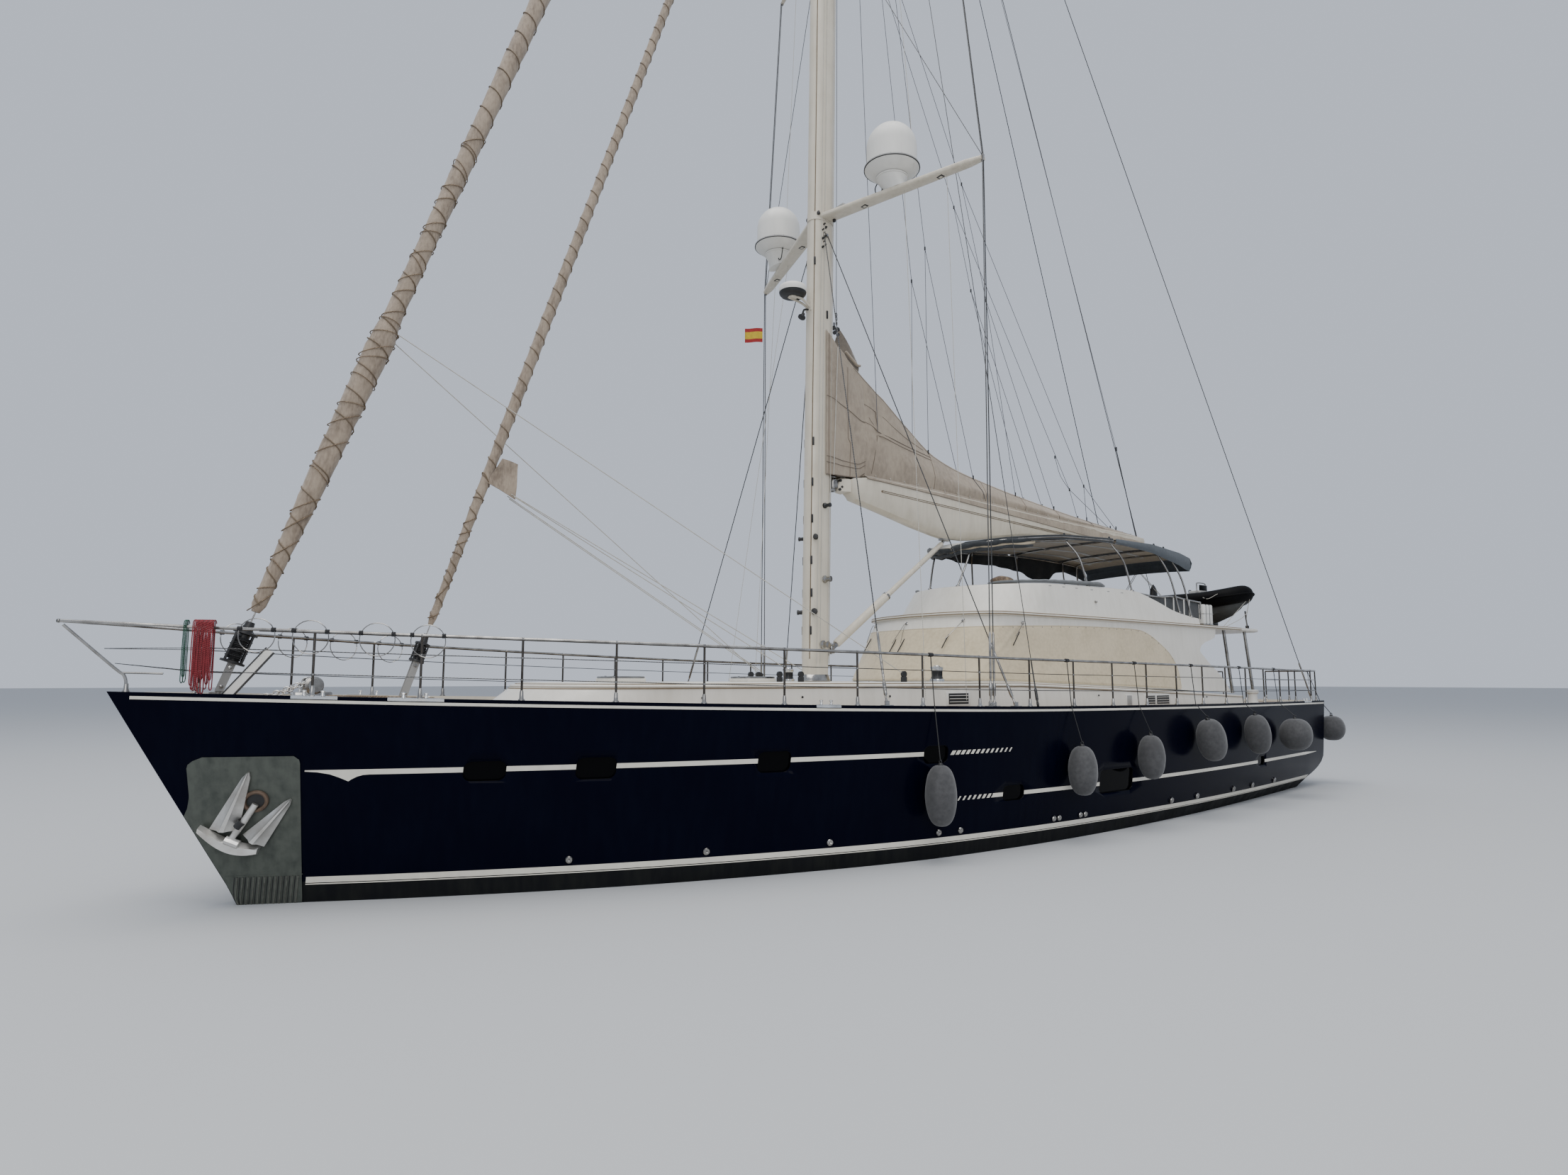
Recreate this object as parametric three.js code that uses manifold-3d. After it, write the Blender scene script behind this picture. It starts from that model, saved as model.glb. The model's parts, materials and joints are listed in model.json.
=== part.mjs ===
// A cruising sailing yacht of about 30 metres with a deck saloon, a flybridge and a single mast.
// Millimetres. +X points to the bow, +Y to port, +Z up; the origin lies amidships on the waterline.

import * as THREE from 'three';
import { mergeVertices } from 'three/addons/utils/BufferGeometryUtils.js';
import Module from 'manifold-3d';

const wasm = await Module();
wasm.setup();

// Driving dimensions
const SEAT_GAP = 0.3;
const SUNK_FOOT = 30;
const WELD = 0.05;
const PIN_PLAY = 0.7;
const PIN_SIDES = 40;
const WIRE_END = 200;
const BOW_AT_DECK = 14810;
const BOW_AT_STRIPE = 13300;
const STERN_AT_DECK = -14950;
const STERN_AT_STRIPE = -13950;
const STRIPE_Z = 300;
const STEM_HALF = 40;
const CAP_WIDTH = 120;
const BULWARK = 120;
const DECK_CAMBER = 70;
const POST_SPACING = 1305;
const WIDER_SPACING = 23.5;
const EVEN_BAYS = 4;
const RAIL_HEIGHT = 900;
const COACHROOF_TOP = 3120;
const LEDGE_BOTTOM = 4570;
const FLYBRIDGE_Z = 4670;
const MAST_TOP = 36000;
const MAST_LEAN = 0.019;
const MAST_X_AT_WATER = 2874;
const MAST_FORE_AFT = 300;
const MAST_SIDE = 200;
const GOOSENECK_Z = 7465;
const VANG_FOOT_Z = 3830;
const BOOM_AXIS_BEHIND_MAST = 130;
const FIRST_SPREADER_Z = 13460;
const KEEL_BOTTOM = -3100;
const RAIL_RADIUS = 22;
const POST_RADIUS = 17;
const RAIL_INSET = 60;

// Reach of the boxes and prisms that cut: past the whole yacht, past the house, and above the house
const FAR = 20000;
const BESIDE = 4000;
const ABOVE = 9000;

// Deck edge: x, half breadth and height of the cap
const DECK_EDGE = [
  [14810, 40, 3010], [13800, 590, 2980], [11200, 1720, 2900], [8580, 2630, 2830],
  [5970, 3290, 2765], [3360, 3750, 2710], [750, 3930, 2660], [-1860, 3930, 2630],
  [-4470, 3780, 2605], [-7080, 3510, 2580], [-9690, 3140, 2560], [-12300, 2720, 2540],
  [-14950, 2380, 2530],
];

// Boot stripe, 300 mm above the water: x and half breadth
const STRIPE_EDGE = [
  [13300, 40], [11200, 1050], [8580, 2110], [5970, 2880], [3360, 3420], [750, 3620],
  [-1860, 3610], [-4470, 3470], [-7080, 3240], [-9690, 2910], [-12300, 2510], [-13950, 2220],
];

// Topside levels: share of the height from stripe to cap, share of the breadth step, stern x
const TOPSIDE_LEVELS = [
  [0, 0, STERN_AT_STRIPE], [0.1, 0.13, -14500], [0.28, 0.32, STERN_AT_DECK],
  [0.62, 0.65, STERN_AT_DECK], [1, 1, STERN_AT_DECK],
];

// Underwater levels: z, bow x, stern x, breadth share amidships and at the stern
const BOTTOM_LEVELS = [
  [-1300, 5600, -5200, 0.16, 0.08], [-1120, 8300, -8200, 0.5, 0.24], [-800, 10500, -10900, 0.78, 0.42],
  [-400, 12100, -12700, 0.93, 0.7], [0, 13150, -13560, 0.985, 0.93],
];

const STATION_SHARES = [
  0, 0.02, 0.05, 0.09, 0.14, 0.2, 0.27, 0.34, 0.42, 0.5, 0.58, 0.66, 0.74, 0.82, 0.9, 0.96, 1,
];

// Half breadth of the saloon and flybridge ledge: x and half breadth
const LEDGE_SIDE = [[-900, 2100], [-3000, 2140], [-6000, 2060], [-8500, 1930], [-12100, 1700]];

// Bimini centre line: x and height of the cloth
const BIMINI_LINE = [
  [-1050, 6300], [-1250, 6425], [-2000, 6530], [-3500, 6680], [-5400, 6785], [-7200, 6785], [-8500, 6660],
  [-9000, 6550],
];

// Outer furled sail: height and radius of the roll
const GENOA_ROLL = [
  [4150, 95], [5000, 110], [6300, 155], [8000, 185], [8600, 195], [9100, 140], [12000, 145],
  [18000, 150], [26000, 110], [33200, 55],
];

// Inner furled sail: height and radius of the roll
const STAYSAIL_ROLL = [[4050, 60], [6000, 75], [8000, 95], [14000, 85], [22000, 65], [27600, 40]];

const FORESTAY = { xAtWater: 14557, lean: 0.342, footZ: 2990, headZ: 35400, radius: 11 };
const INNER_STAY = { xAtWater: 11990, lean: 0.323, footZ: 2870, headZ: 28900, radius: 9 };

// Fenders on the port side: centre, radius, half length, degrees of lean, x of the knot on the rail
const FENDERS = [
  [3049, 3884, 1165, 275, 520, 0, 3083], [-608, 4121, 1397, 278, 473, 0, -521],
  [-3009, 4082, 1534, 275, 455, 0, -2903], [-5595, 3973, 1786, 320, 480, 15, -5453],
  [-8343, 3646, 1804, 300, 485, 10, -8267], [-10916, 3365, 1694, 400, 420, 0, -10870],
];

const COLOURS = {
  navy: 0x10172c, white: 0xe9e7df, cream: 0xe4dcc8, canvas: 0xd6c7a4, taupe: 0x9c8d78, steel: 0xc4c7c8,
  dark: 0x23262b, grey: 0x6f7071, teak: 0x9a7650, bronze: 0x8f7440, galvanised: 0xb9bbb8, antifoul: 0x1c1f2b,
};

const yacht = new THREE.Group();

function addPart(name, solid, colour, roughness = 0.5, metalness = 0) {
  const source = solid.simplify(WELD).getMesh();
  const geometry = new THREE.BufferGeometry();
  geometry.setAttribute('position', new THREE.BufferAttribute(new Float32Array(source.vertProperties), 3));
  geometry.setIndex(new THREE.BufferAttribute(new Uint32Array(source.triVerts), 1));
  geometry.computeVertexNormals();
  const material = new THREE.MeshStandardMaterial({ color: colour, roughness, metalness });
  const mesh = new THREE.Mesh(geometry, material);
  mesh.name = name;
  yacht.add(mesh);
  return mesh;
}

function toSolid(geometry) {
  const bare = geometry.clone();
  bare.deleteAttribute('normal');
  bare.deleteAttribute('uv');
  const merged = mergeVertices(bare, 0.01);
  const corners = merged.index.array;
  const kept = [];
  for (let i = 0; i < corners.length; i += 3) {
    const [a, b, c] = [corners[i], corners[i + 1], corners[i + 2]];
    if (a !== b && b !== c && a !== c) kept.push(a, b, c);
  }
  const mesh = new wasm.Mesh({
    numProp: 3,
    vertProperties: new Float32Array(merged.attributes.position.array),
    triVerts: new Uint32Array(kept),
  });
  mesh.merge();
  return new wasm.Manifold(mesh);
}

function join(solids) {
  return solids.reduce((all, next) => all.add(next));
}

// Value of a table of x and value columns at x, by straight lines; the x column falls
function lookUp(table, x, column = 1) {
  const last = table.length - 1;
  for (let i = 0; i < last; i += 1) {
    const [x0, x1] = [table[i][0], table[i + 1][0]];
    if (x >= x1 || i === last - 1) {
      return table[i][column] + ((x0 - x) / (x0 - x1)) * (table[i + 1][column] - table[i][column]);
    }
  }
  return table[last][column];
}

// The same, by a smooth curve through the rows
function smoothLookUp(table, x, column = 1) {
  const last = table.length - 1;
  let i = 0;
  while (i < last - 1 && x < table[i + 1][0]) i += 1;
  const p = (k) => table[Math.min(Math.max(k, 0), last)];
  const t = (p(i)[0] - x) / (p(i)[0] - p(i + 1)[0]);
  const slope = (k) => {
    const [a, b] = [p(k - 1), p(k + 1)];
    return (b[column] - a[column]) / (b[0] - a[0]);
  };
  const span = p(i + 1)[0] - p(i)[0];
  const [m0, m1] = [slope(i) * span, slope(i + 1) * span];
  const [t2, t3] = [t * t, t * t * t];
  return (2 * t3 - 3 * t2 + 1) * p(i)[column] + (t3 - 2 * t2 + t) * m0
    + (3 * t2 - 2 * t3) * p(i + 1)[column] + (t3 - t2) * m1;
}

function sheerAt(x) {
  return smoothLookUp(DECK_EDGE, x, 2);
}

function deckHalfAt(x) {
  return smoothLookUp(DECK_EDGE, x);
}

function box(x0, x1, y0, y1, z0, z1) {
  const shape = new THREE.BoxGeometry(x1 - x0, y1 - y0, z1 - z0);
  shape.translate((x0 + x1) / 2, (y0 + y1) / 2, (z0 + z1) / 2);
  return toSolid(shape);
}

function rod(from, to, radius, sides = 8, endRadius = radius) {
  const a = new THREE.Vector3(...from);
  const b = new THREE.Vector3(...to);
  const along = b.clone().sub(a);
  const shape = new THREE.CylinderGeometry(endRadius, radius, along.length(), sides);
  const turn = new THREE.Quaternion().setFromUnitVectors(new THREE.Vector3(0, 1, 0), along.normalize());
  shape.applyQuaternion(turn);
  shape.translate((a.x + b.x) / 2, (a.y + b.y) / 2, (a.z + b.z) / 2);
  return toSolid(shape);
}

// A bent tube of flat-sided rings, mitred at each bend
function tubeRun(points, radius, sides = 6) {
  const places = points.map((point) => new THREE.Vector3(...point));
  const way = (i) => places[i + 1].clone().sub(places[i]).normalize();
  let up = Math.abs(way(0).z) > 0.9 ? new THREE.Vector3(1, 0, 0) : new THREE.Vector3(0, 0, 1);
  const rings = places.map((place, i) => {
    const before = way(Math.max(i - 1, 0));
    const after = way(Math.min(i, places.length - 2));
    const tangent = before.clone().add(after).normalize();
    const stretch = Math.min(1 / Math.max(tangent.dot(after), 0.3), 1.6);
    const side = new THREE.Vector3().crossVectors(up, tangent).normalize();
    up = new THREE.Vector3().crossVectors(tangent, side).normalize();
    const outward = after.clone().sub(before);
    if (outward.lengthSq() > 0) outward.normalize();
    const ring = [];
    for (let k = 0; k < sides; k += 1) {
      const angle = ((k + 0.5) / sides) * 2 * Math.PI;
      const spoke = side.clone().multiplyScalar(Math.cos(angle)).addScaledVector(up, Math.sin(angle));
      spoke.addScaledVector(outward, spoke.dot(outward) * (stretch - 1));
      ring.push(place.clone().addScaledVector(spoke, radius).toArray());
    }
    return ring;
  });
  return skin(rings);
}

// A straight wire with short end pieces, so that a cut near an end leaves no sliver
function wire(from, to, radius, sides = 6) {
  const a = new THREE.Vector3(...from);
  const b = new THREE.Vector3(...to);
  const share = WIRE_END / a.distanceTo(b);
  const near = a.clone().lerp(b, share).toArray();
  const far = a.clone().lerp(b, 1 - share).toArray();
  return tubeRun([from, near, far, to], radius, sides);
}

function lathe(profile, segments = 16) {
  const shape = new THREE.LatheGeometry(profile.map(([r, h]) => new THREE.Vector2(r, h)), segments);
  shape.rotateX(Math.PI / 2);
  return toSolid(shape);
}

// A closed skin over rings of equal length; the first and last ring get flat ends
function skin(rings) {
  const positions = [];
  const corners = [];
  const count = rings[0].length;
  rings.forEach((ring) => ring.forEach((point) => positions.push(...point)));
  for (let level = 0; level < rings.length - 1; level += 1) {
    for (let i = 0; i < count; i += 1) {
      const next = (i + 1) % count;
      const [a, b] = [level * count + i, level * count + next];
      const [c, d] = [a + count, b + count];
      if (i < count / 2) corners.push(a, b, d, a, d, c);
      else corners.push(a, b, c, b, d, c);
    }
  }
  const ladder = (offset, flip) => {
    for (let i = 0; i < count / 2 - 1; i += 1) {
      const [a, b] = [offset + i, offset + i + 1];
      const [c, d] = [offset + count - 2 - i, offset + count - 1 - i];
      const faces = [[a, d, b], [b, d, c]];
      faces.forEach(([p, q, r]) => (flip ? corners.push(p, q, r) : corners.push(p, r, q)));
    }
  };
  ladder(0, true);
  ladder((rings.length - 1) * count, false);
  const geometry = new THREE.BufferGeometry();
  geometry.setAttribute('position', new THREE.Float32BufferAttribute(positions, 3));
  geometry.setIndex(corners);
  const solid = toSolid(geometry);
  if (solid.volume() > 0) return solid;
  geometry.setIndex(corners.reverse());
  return toSolid(geometry);
}

function mirrored(portSide) {
  return [...portSide, ...portSide.map(([x, y, z]) => [x, -y, z]).reverse()];
}

// Prism: an outline in the x and z plane drawn out along y
function sidePrism(outline, y0, y1) {
  const shape = new THREE.Shape(outline.map(([x, z]) => new THREE.Vector2(x, z)));
  const prism = new THREE.ExtrudeGeometry(shape, { depth: y1 - y0, bevelEnabled: false });
  prism.rotateX(Math.PI / 2);
  prism.translate(0, y1, 0);
  return toSolid(prism);
}

// Hull
function hullSolid(grow = 0) {
  const ring = (z, bowX, sternX, halfAt, shares = STATION_SHARES) => mirrored(shares.map((share) => {
    const x = bowX + grow + share * (sternX - bowX - 2 * grow);
    return [x, Math.max(halfAt(share), STEM_HALF / 2) + grow, typeof z === 'function' ? z(x) : z];
  }));
  const stripeHalf = (share) => smoothLookUp(
    STRIPE_EDGE, BOW_AT_STRIPE + share * (STERN_AT_STRIPE - BOW_AT_STRIPE));
  const edgeHalf = (share) => smoothLookUp(DECK_EDGE, BOW_AT_DECK + share * (STERN_AT_DECK - BOW_AT_DECK));
  const ease = (share) => THREE.MathUtils.smoothstep(share, 0.5, 1);
  const rings = BOTTOM_LEVELS.map(([z, bowX, sternX, middle, stern]) => ring(
    z - grow, bowX, sternX, (share) => stripeHalf(share) * (middle + (stern - middle) * ease(share))));
  TOPSIDE_LEVELS.forEach(([rise, flare, sternX]) => {
    const bowX = BOW_AT_STRIPE + rise * (BOW_AT_DECK - BOW_AT_STRIPE);
    const height = (x) => STRIPE_Z + rise * (sheerAt(x) - STRIPE_Z);
    const half = (share) => stripeHalf(share) + flare * (edgeHalf(share) - stripeHalf(share));
    rings.push(ring(rise === 1 ? (x) => sheerAt(x) + grow : height, bowX, sternX, half));
  });
  const innerBow = BOW_AT_DECK - 420;
  const innerStern = STERN_AT_DECK + CAP_WIDTH;
  const inner = (drop, share, rise) => mirrored(STATION_SHARES.map((step) => {
    const x = innerBow + step * (innerStern - innerBow);
    const half = Math.max(deckHalfAt(x) - CAP_WIDTH, STEM_HALF / 2);
    return [x, half * share, sheerAt(x) - drop + rise + grow];
  }));
  rings.push(inner(0, 1, 0), inner(BULWARK, 0.999, 0), inner(BULWARK, 0.5, DECK_CAMBER));
  return skin(rings);
}

const RUDDER_AXIS_X = -11300;
const RUDDER_STOCK = 80;
const rudderTube = rod(
  [RUDDER_AXIS_X, 0, -1200], [RUDDER_AXIS_X, 0, 200], RUDDER_STOCK + PIN_PLAY, PIN_SIDES);
const hull = hullSolid();
const hullWithGap = hullSolid(SEAT_GAP);
addPart('hull', hull.subtract(rudderTube), COLOURS.navy, 0.18, 0.1);

function deckTopAt(x, y) {
  const half = deckHalfAt(x) - CAP_WIDTH;
  const inward = THREE.MathUtils.clamp((half - Math.abs(y)) / (half * 0.5), 0, 1);
  return sheerAt(x) - BULWARK + DECK_CAMBER * inward;
}

// Keel: z, leading x, trailing x, half thickness
const KEEL_LEVELS = [[-1000, 4700, -4100, 300], [-1500, 4500, -3900, 270], [-2700, 3900, -3500, 260],
  [KEEL_BOTTOM, 3500, -3300, 240]];
const FOIL = [[0, 0.05], [0.06, 0.55], [0.2, 0.95], [0.4, 1], [0.7, 0.65], [1, 0.08]];

function foilSolid(levels) {
  return skin(levels.map(([z, lead, trail, half]) => mirrored(
    FOIL.map(([share, width]) => [lead + share * (trail - lead), half * width, z]))));
}

addPart('keel', foilSolid(KEEL_LEVELS).subtract(hullWithGap), COLOURS.antifoul, 0.6);

// Rudder: z, leading x, trailing x, half thickness
const RUDDER_LEVELS = [[-2500, -11050, -12000, 60], [-2400, -11020, -12060, 90], [-930, -10900, -12420, 110]];
const rudderBlade = foilSolid(RUDDER_LEVELS);
const rudderStock = rod([RUDDER_AXIS_X, 0, -1100], [RUDDER_AXIS_X, 0, 150], RUDDER_STOCK, PIN_SIDES);
addPart('rudder', rudderBlade.add(rudderStock), COLOURS.antifoul, 0.6);

// Propeller, shaft and bracket; the shaft slopes down aft
const SHAFT_FROM = [-5600, 0, -1130];
const PROPELLER_AT = [-9560, 0, -1580];
const SHAFT_RADIUS = 45;
const HUB_FORE = -120;
const SHAFT_STRUT = box(-9350, -9120, -30, 30, -1530, -800);
const shaftLine = new THREE.Vector3(...PROPELLER_AT).sub(new THREE.Vector3(...SHAFT_FROM)).normalize();
const alongShaft = (from, distance) => [
  from[0] + shaftLine.x * distance, from[1], from[2] + shaftLine.z * distance];
const shaftBracket = join([
  rod(SHAFT_FROM, alongShaft(PROPELLER_AT, HUB_FORE - SEAT_GAP), SHAFT_RADIUS, 10),
  rod(alongShaft(PROPELLER_AT, -520), alongShaft(PROPELLER_AT, -180), 90, 12),
  SHAFT_STRUT,
]).subtract(hullWithGap);
addPart('shaft_and_bracket', shaftBracket, COLOURS.bronze, 0.45, 0.7);

const hub = rod(alongShaft(PROPELLER_AT, HUB_FORE), alongShaft(PROPELLER_AT, 130), 120, 14, 75);
const blades = [0, 1, 2, 3].map((turn) => {
  const blade = new THREE.BoxGeometry(260, 26, 360);
  blade.rotateZ(THREE.MathUtils.degToRad(58));
  blade.translate(0, 0, 260);
  blade.rotateX(turn * Math.PI / 2);
  blade.rotateY(Math.atan2(shaftLine.z, -shaftLine.x));
  blade.translate(...PROPELLER_AT);
  return toSolid(blade);
});
addPart('propeller', join([hub, ...blades]), COLOURS.bronze, 0.35, 0.8);

// Bow anchors on their stainless plates: outline of the plate in x and z
const PLATE_OUTLINE = [
  [12370, -150], [12380, 80], [12560, 2000], [12640, 2100], [13780, 2110], [13860, 1990], [13800, 1560],
  [13940, 1270], [14300, 1240], [13300, -150],
];
const PLATE_THICKNESS = 16;
const plateSlab = hullSolid(SEAT_GAP + PLATE_THICKNESS).subtract(hullWithGap);
// Anchor flukes: the four corners of each in x and z, on the port side
const FLUKES = [
  [[13190, 1900], [13090, 1870], [13180, 1120], [13520, 1150]],
  [[12640, 1540], [12600, 1450], [12870, 880], [13120, 1060]],
];
const FLUKE_DEPTH = 130;
const ANCHOR_SIDE = 950;
const anchorBodies = FLUKES.map((outline) => sidePrism(outline, 0, ANCHOR_SIDE));
const anchorZone = hullSolid(SEAT_GAP + PLATE_THICKNESS + FLUKE_DEPTH)
  .subtract(hullSolid(PLATE_THICKNESS - 2));
const anchorCrown = rod([13400, 420, 1060], [12960, 560, 960], 75, 8);
const anchorShank = rod([13130, 470, 1050], [13060, 700, 1500], 60, 8);
const anchorPort = join([
  plateSlab.intersect(sidePrism(PLATE_OUTLINE, 0, 2500)),
  anchorZone.intersect(join(anchorBodies)),
  anchorCrown,
  anchorShank,
]).subtract(hullWithGap);
addPart('anchor_port', anchorPort, COLOURS.galvanised, 0.45, 0.6);
addPart('anchor_starboard', anchorPort.mirror([0, 1, 0]), COLOURS.galvanised, 0.45, 0.6);

// Plan outlines: a rounded nose from nose x to shoulder x, then the side table to the aft end, at even
// steps or at the given stations. The height is a number or a function of x.
const NOSE_STEPS = 6;
const SIDE_STEPS = 5;

function planRing({ nose, shoulder, aft, sideAt, z, stations = null, power = 2 }) {
  const port = [];
  const heightAt = typeof z === 'function' ? z : () => z;
  const shoulderHalf = sideAt(shoulder);
  for (let i = 0; i < NOSE_STEPS; i += 1) {
    const angle = (i / NOSE_STEPS) * Math.PI / 2;
    const x = shoulder + (nose - shoulder) * Math.cos(angle) ** (2 / power);
    port.push([x, Math.max(shoulderHalf * Math.sin(angle) ** (2 / power), 8), heightAt(x)]);
  }
  for (let i = 0; i <= SIDE_STEPS; i += 1) {
    const x = i > 0 && stations ? stations[i - 1] : shoulder + (i / SIDE_STEPS) * (aft - shoulder);
    port.push([x, sideAt(x), heightAt(x)]);
  }
  return mirrored(port);
}

// Coachroof
const COACHROOF_AFT = -11160;
const coachroofSide = (x) => Math.min(deckHalfAt(x) - 1000, 2850);
// The top is level as far aft as the house's shoulder and falls evenly from there
const FALL_START = -450;
const TOP_FALL = 0.0314;
const fallAt = (x) => TOP_FALL * Math.max(FALL_START - x, 0);
const ROOF_STATIONS = [3475, FALL_START, -4000, -7600, COACHROOF_AFT];
const coachroof = skin([
  planRing({
    nose: 9850, shoulder: 7400, aft: COACHROOF_AFT, sideAt: coachroofSide, z: 2400, stations: ROOF_STATIONS,
  }),
  planRing({
    nose: 9700, shoulder: 7400, aft: COACHROOF_AFT, sideAt: coachroofSide,
    z: (x) => 2700 - fallAt(x) / 2, stations: ROOF_STATIONS,
  }),
  planRing({
    nose: 9120, shoulder: 7200, aft: COACHROOF_AFT, sideAt: (x) => coachroofSide(x) - 60,
    z: (x) => COACHROOF_TOP - fallAt(x), stations: ROOF_STATIONS,
  }),
]).subtract(hullWithGap);
const aboveRoof = coachroof.translate([0, 0, SEAT_GAP]);
addPart('coachroof', coachroof, COLOURS.white, 0.4);

// Saloon walls
const WALL = 60;
const SALOON_AFT = -10700;
const SALOON_FLOOR = COACHROOF_TOP + SEAT_GAP;
const SALOON_TOP = LEDGE_BOTTOM - SEAT_GAP;
const BULKHEAD_X = -8900;

function saloonShell(offset) {
  return skin([
    planRing({
      nose: 850 + offset, shoulder: FALL_START, aft: SALOON_AFT,
      sideAt: (x) => lookUp(LEDGE_SIDE, x) + 60 + offset, z: (x) => SALOON_FLOOR - fallAt(x),
    }),
    planRing({
      nose: 60 + offset, shoulder: -1000, aft: SALOON_AFT,
      sideAt: (x) => lookUp(LEDGE_SIDE, x) - 60 + offset, z: SALOON_TOP,
    }),
  ]);
}

const saloonRoom = skin([
  planRing({
    nose: 850 - WALL, shoulder: FALL_START, aft: SALOON_AFT - 500,
    sideAt: (x) => lookUp(LEDGE_SIDE, x) + 60 - WALL, z: (x) => SALOON_FLOOR - 1 - fallAt(x),
  }),
  planRing({
    nose: 60 - WALL, shoulder: -1000, aft: SALOON_AFT - 500,
    sideAt: (x) => lookUp(LEDGE_SIDE, x) - 60 - WALL, z: SALOON_TOP + 1,
  }),
]);
const saloonWalls = saloonShell(0).subtract(saloonRoom);

// Aft edge of the side walls: a scroll in x and z
const SCROLL = [
  [-10020, 4600], [-9980, 4400], [-9880, 4310], [-9300, 4180], [-9040, 4050], [-8980, 3950], [-9110, 3830],
  [-9460, 3600], [-10000, 3300], [-10400, 2950], [-10560, 2780], [-10900, 2700], [-10900, 4600],
];
const WINDSCREEN_SPLIT_X = -500;
const frontHalf = box(WINDSCREEN_SPLIT_X, FAR, -FAR, FAR, 0, ABOVE);
const aftHalf = box(-FAR, WINDSCREEN_SPLIT_X - SEAT_GAP, -FAR, FAR, 0, ABOVE);
// Windows: heights of sill and head, then the fore and aft ends of the side windows
const SILL = 3480;
const HEAD = 4260;
const SIDE_WINDOW = { fore: -1300, aft: -6600 };
const sideWindows = box(SIDE_WINDOW.aft, SIDE_WINDOW.fore, -FAR, FAR, SILL, HEAD);
const frontWindows = join([
  box(-300, FAR, -700, 700, SILL, HEAD), box(-400, FAR, 800, 1750, SILL, HEAD),
  box(-400, FAR, -1750, -800, SILL, HEAD),
]);
addPart('saloon_front', saloonWalls.intersect(frontHalf).subtract(frontWindows), COLOURS.white, 0.4);
const sideWalls = saloonWalls.intersect(aftHalf).subtract(sideWindows)
  .subtract(sidePrism(SCROLL, -BESIDE, BESIDE));
addPart('saloon_side_port', sideWalls.intersect(box(-FAR, FAR, 1, FAR, 0, ABOVE)), COLOURS.white, 0.4);
addPart('saloon_side_starboard', sideWalls.intersect(box(-FAR, FAR, -FAR, -1, 0, ABOVE)), COLOURS.white, 0.4);

// Aft bulkhead with its doorway and the door
const DOORWAY = { y0: -520, y1: 280, top: 4350 };
const bulkheadHalfLow = lookUp(LEDGE_SIDE, BULKHEAD_X) + 60 - WALL - 3;
const bulkheadHalfHigh = bulkheadHalfLow - 120;
const bulkheadFoot = SALOON_FLOOR - fallAt(BULKHEAD_X) - 5;
const bulkheadOutline = new THREE.Shape([
  new THREE.Vector2(-bulkheadHalfLow, bulkheadFoot), new THREE.Vector2(bulkheadHalfLow, bulkheadFoot),
  new THREE.Vector2(bulkheadHalfHigh, SALOON_TOP), new THREE.Vector2(-bulkheadHalfHigh, SALOON_TOP),
]);
const bulkheadPlate = new THREE.ExtrudeGeometry(bulkheadOutline, { depth: WALL, bevelEnabled: false });
bulkheadPlate.rotateX(Math.PI / 2);
bulkheadPlate.rotateZ(Math.PI / 2);
bulkheadPlate.translate(BULKHEAD_X, 0, 0);
const bulkhead = toSolid(bulkheadPlate).subtract(aboveRoof)
  .subtract(box(-FAR, FAR, DOORWAY.y0, DOORWAY.y1, 0, DOORWAY.top))
  .subtract(box(-FAR, FAR, 420, 1500, 3500, 4250))
  .subtract(box(-FAR, FAR, -1500, -620, 3500, 4250));
const DOOR_GAP = 6;
const DOOR_LAP = 30;
const DOOR_TOP = DOORWAY.top + 20;
const TRACK = { aft: 50, fore: 10, past: 60, end: 1200, height: 40 };
const doorTrack = box(
  BULKHEAD_X - TRACK.aft, BULKHEAD_X + TRACK.fore, DOORWAY.y0 - TRACK.past, TRACK.end,
  DOOR_TOP + SEAT_GAP, DOOR_TOP + TRACK.height);
addPart('saloon_bulkhead', bulkhead.add(doorTrack), COLOURS.white, 0.4);
const DOOR_FACE = 45;
const door = box(
  BULKHEAD_X - DOOR_FACE, BULKHEAD_X - DOOR_GAP, DOORWAY.y0 - DOOR_LAP, DOORWAY.y1 + DOOR_LAP,
  SALOON_FLOOR - fallAt(BULKHEAD_X) + DOOR_GAP, DOOR_TOP);
addPart('saloon_door', door, COLOURS.teak, 0.4);

// Canvas cover over the windows
const COVER_THICKNESS = 8;
const COVER_OUTLINE = [
  [2000, 3150], [2000, 4250], [-300, 4330], [-2500, 4400], [-5600, 4390], [-6300, 4210], [-6900, 3920],
  [-7350, 3560], [-7550, 3200], [-7650, 2925], [-450, 3150],
];
const cover = saloonShell(SEAT_GAP + COVER_THICKNESS).subtract(saloonShell(SEAT_GAP))
  .intersect(sidePrism(COVER_OUTLINE, -BESIDE, BESIDE));
addPart('window_cover', cover, COLOURS.canvas, 0.9);

// Flybridge deck with its ledge, aft overhang, columns and tender chocks
const OVERHANG_AFT = -12900;
const OVERHANG_CORNER = -12500;
const ledgeRing = (z, inset) => planRing({
  nose: 110 - inset, shoulder: -900, aft: OVERHANG_AFT + inset,
  sideAt: (x) => lookUp(LEDGE_SIDE, Math.max(x, -12100)) - inset - Math.max(OVERHANG_CORNER - x, 0),
  stations: [-3000, -6000, -8500, OVERHANG_CORNER, OVERHANG_AFT + inset], z,
});
const slab = skin([
  ledgeRing(LEDGE_BOTTOM, 40), ledgeRing(LEDGE_BOTTOM + 30, 0), ledgeRing(FLYBRIDGE_Z - 30, 0),
  ledgeRing(FLYBRIDGE_Z, 40),
]);
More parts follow.
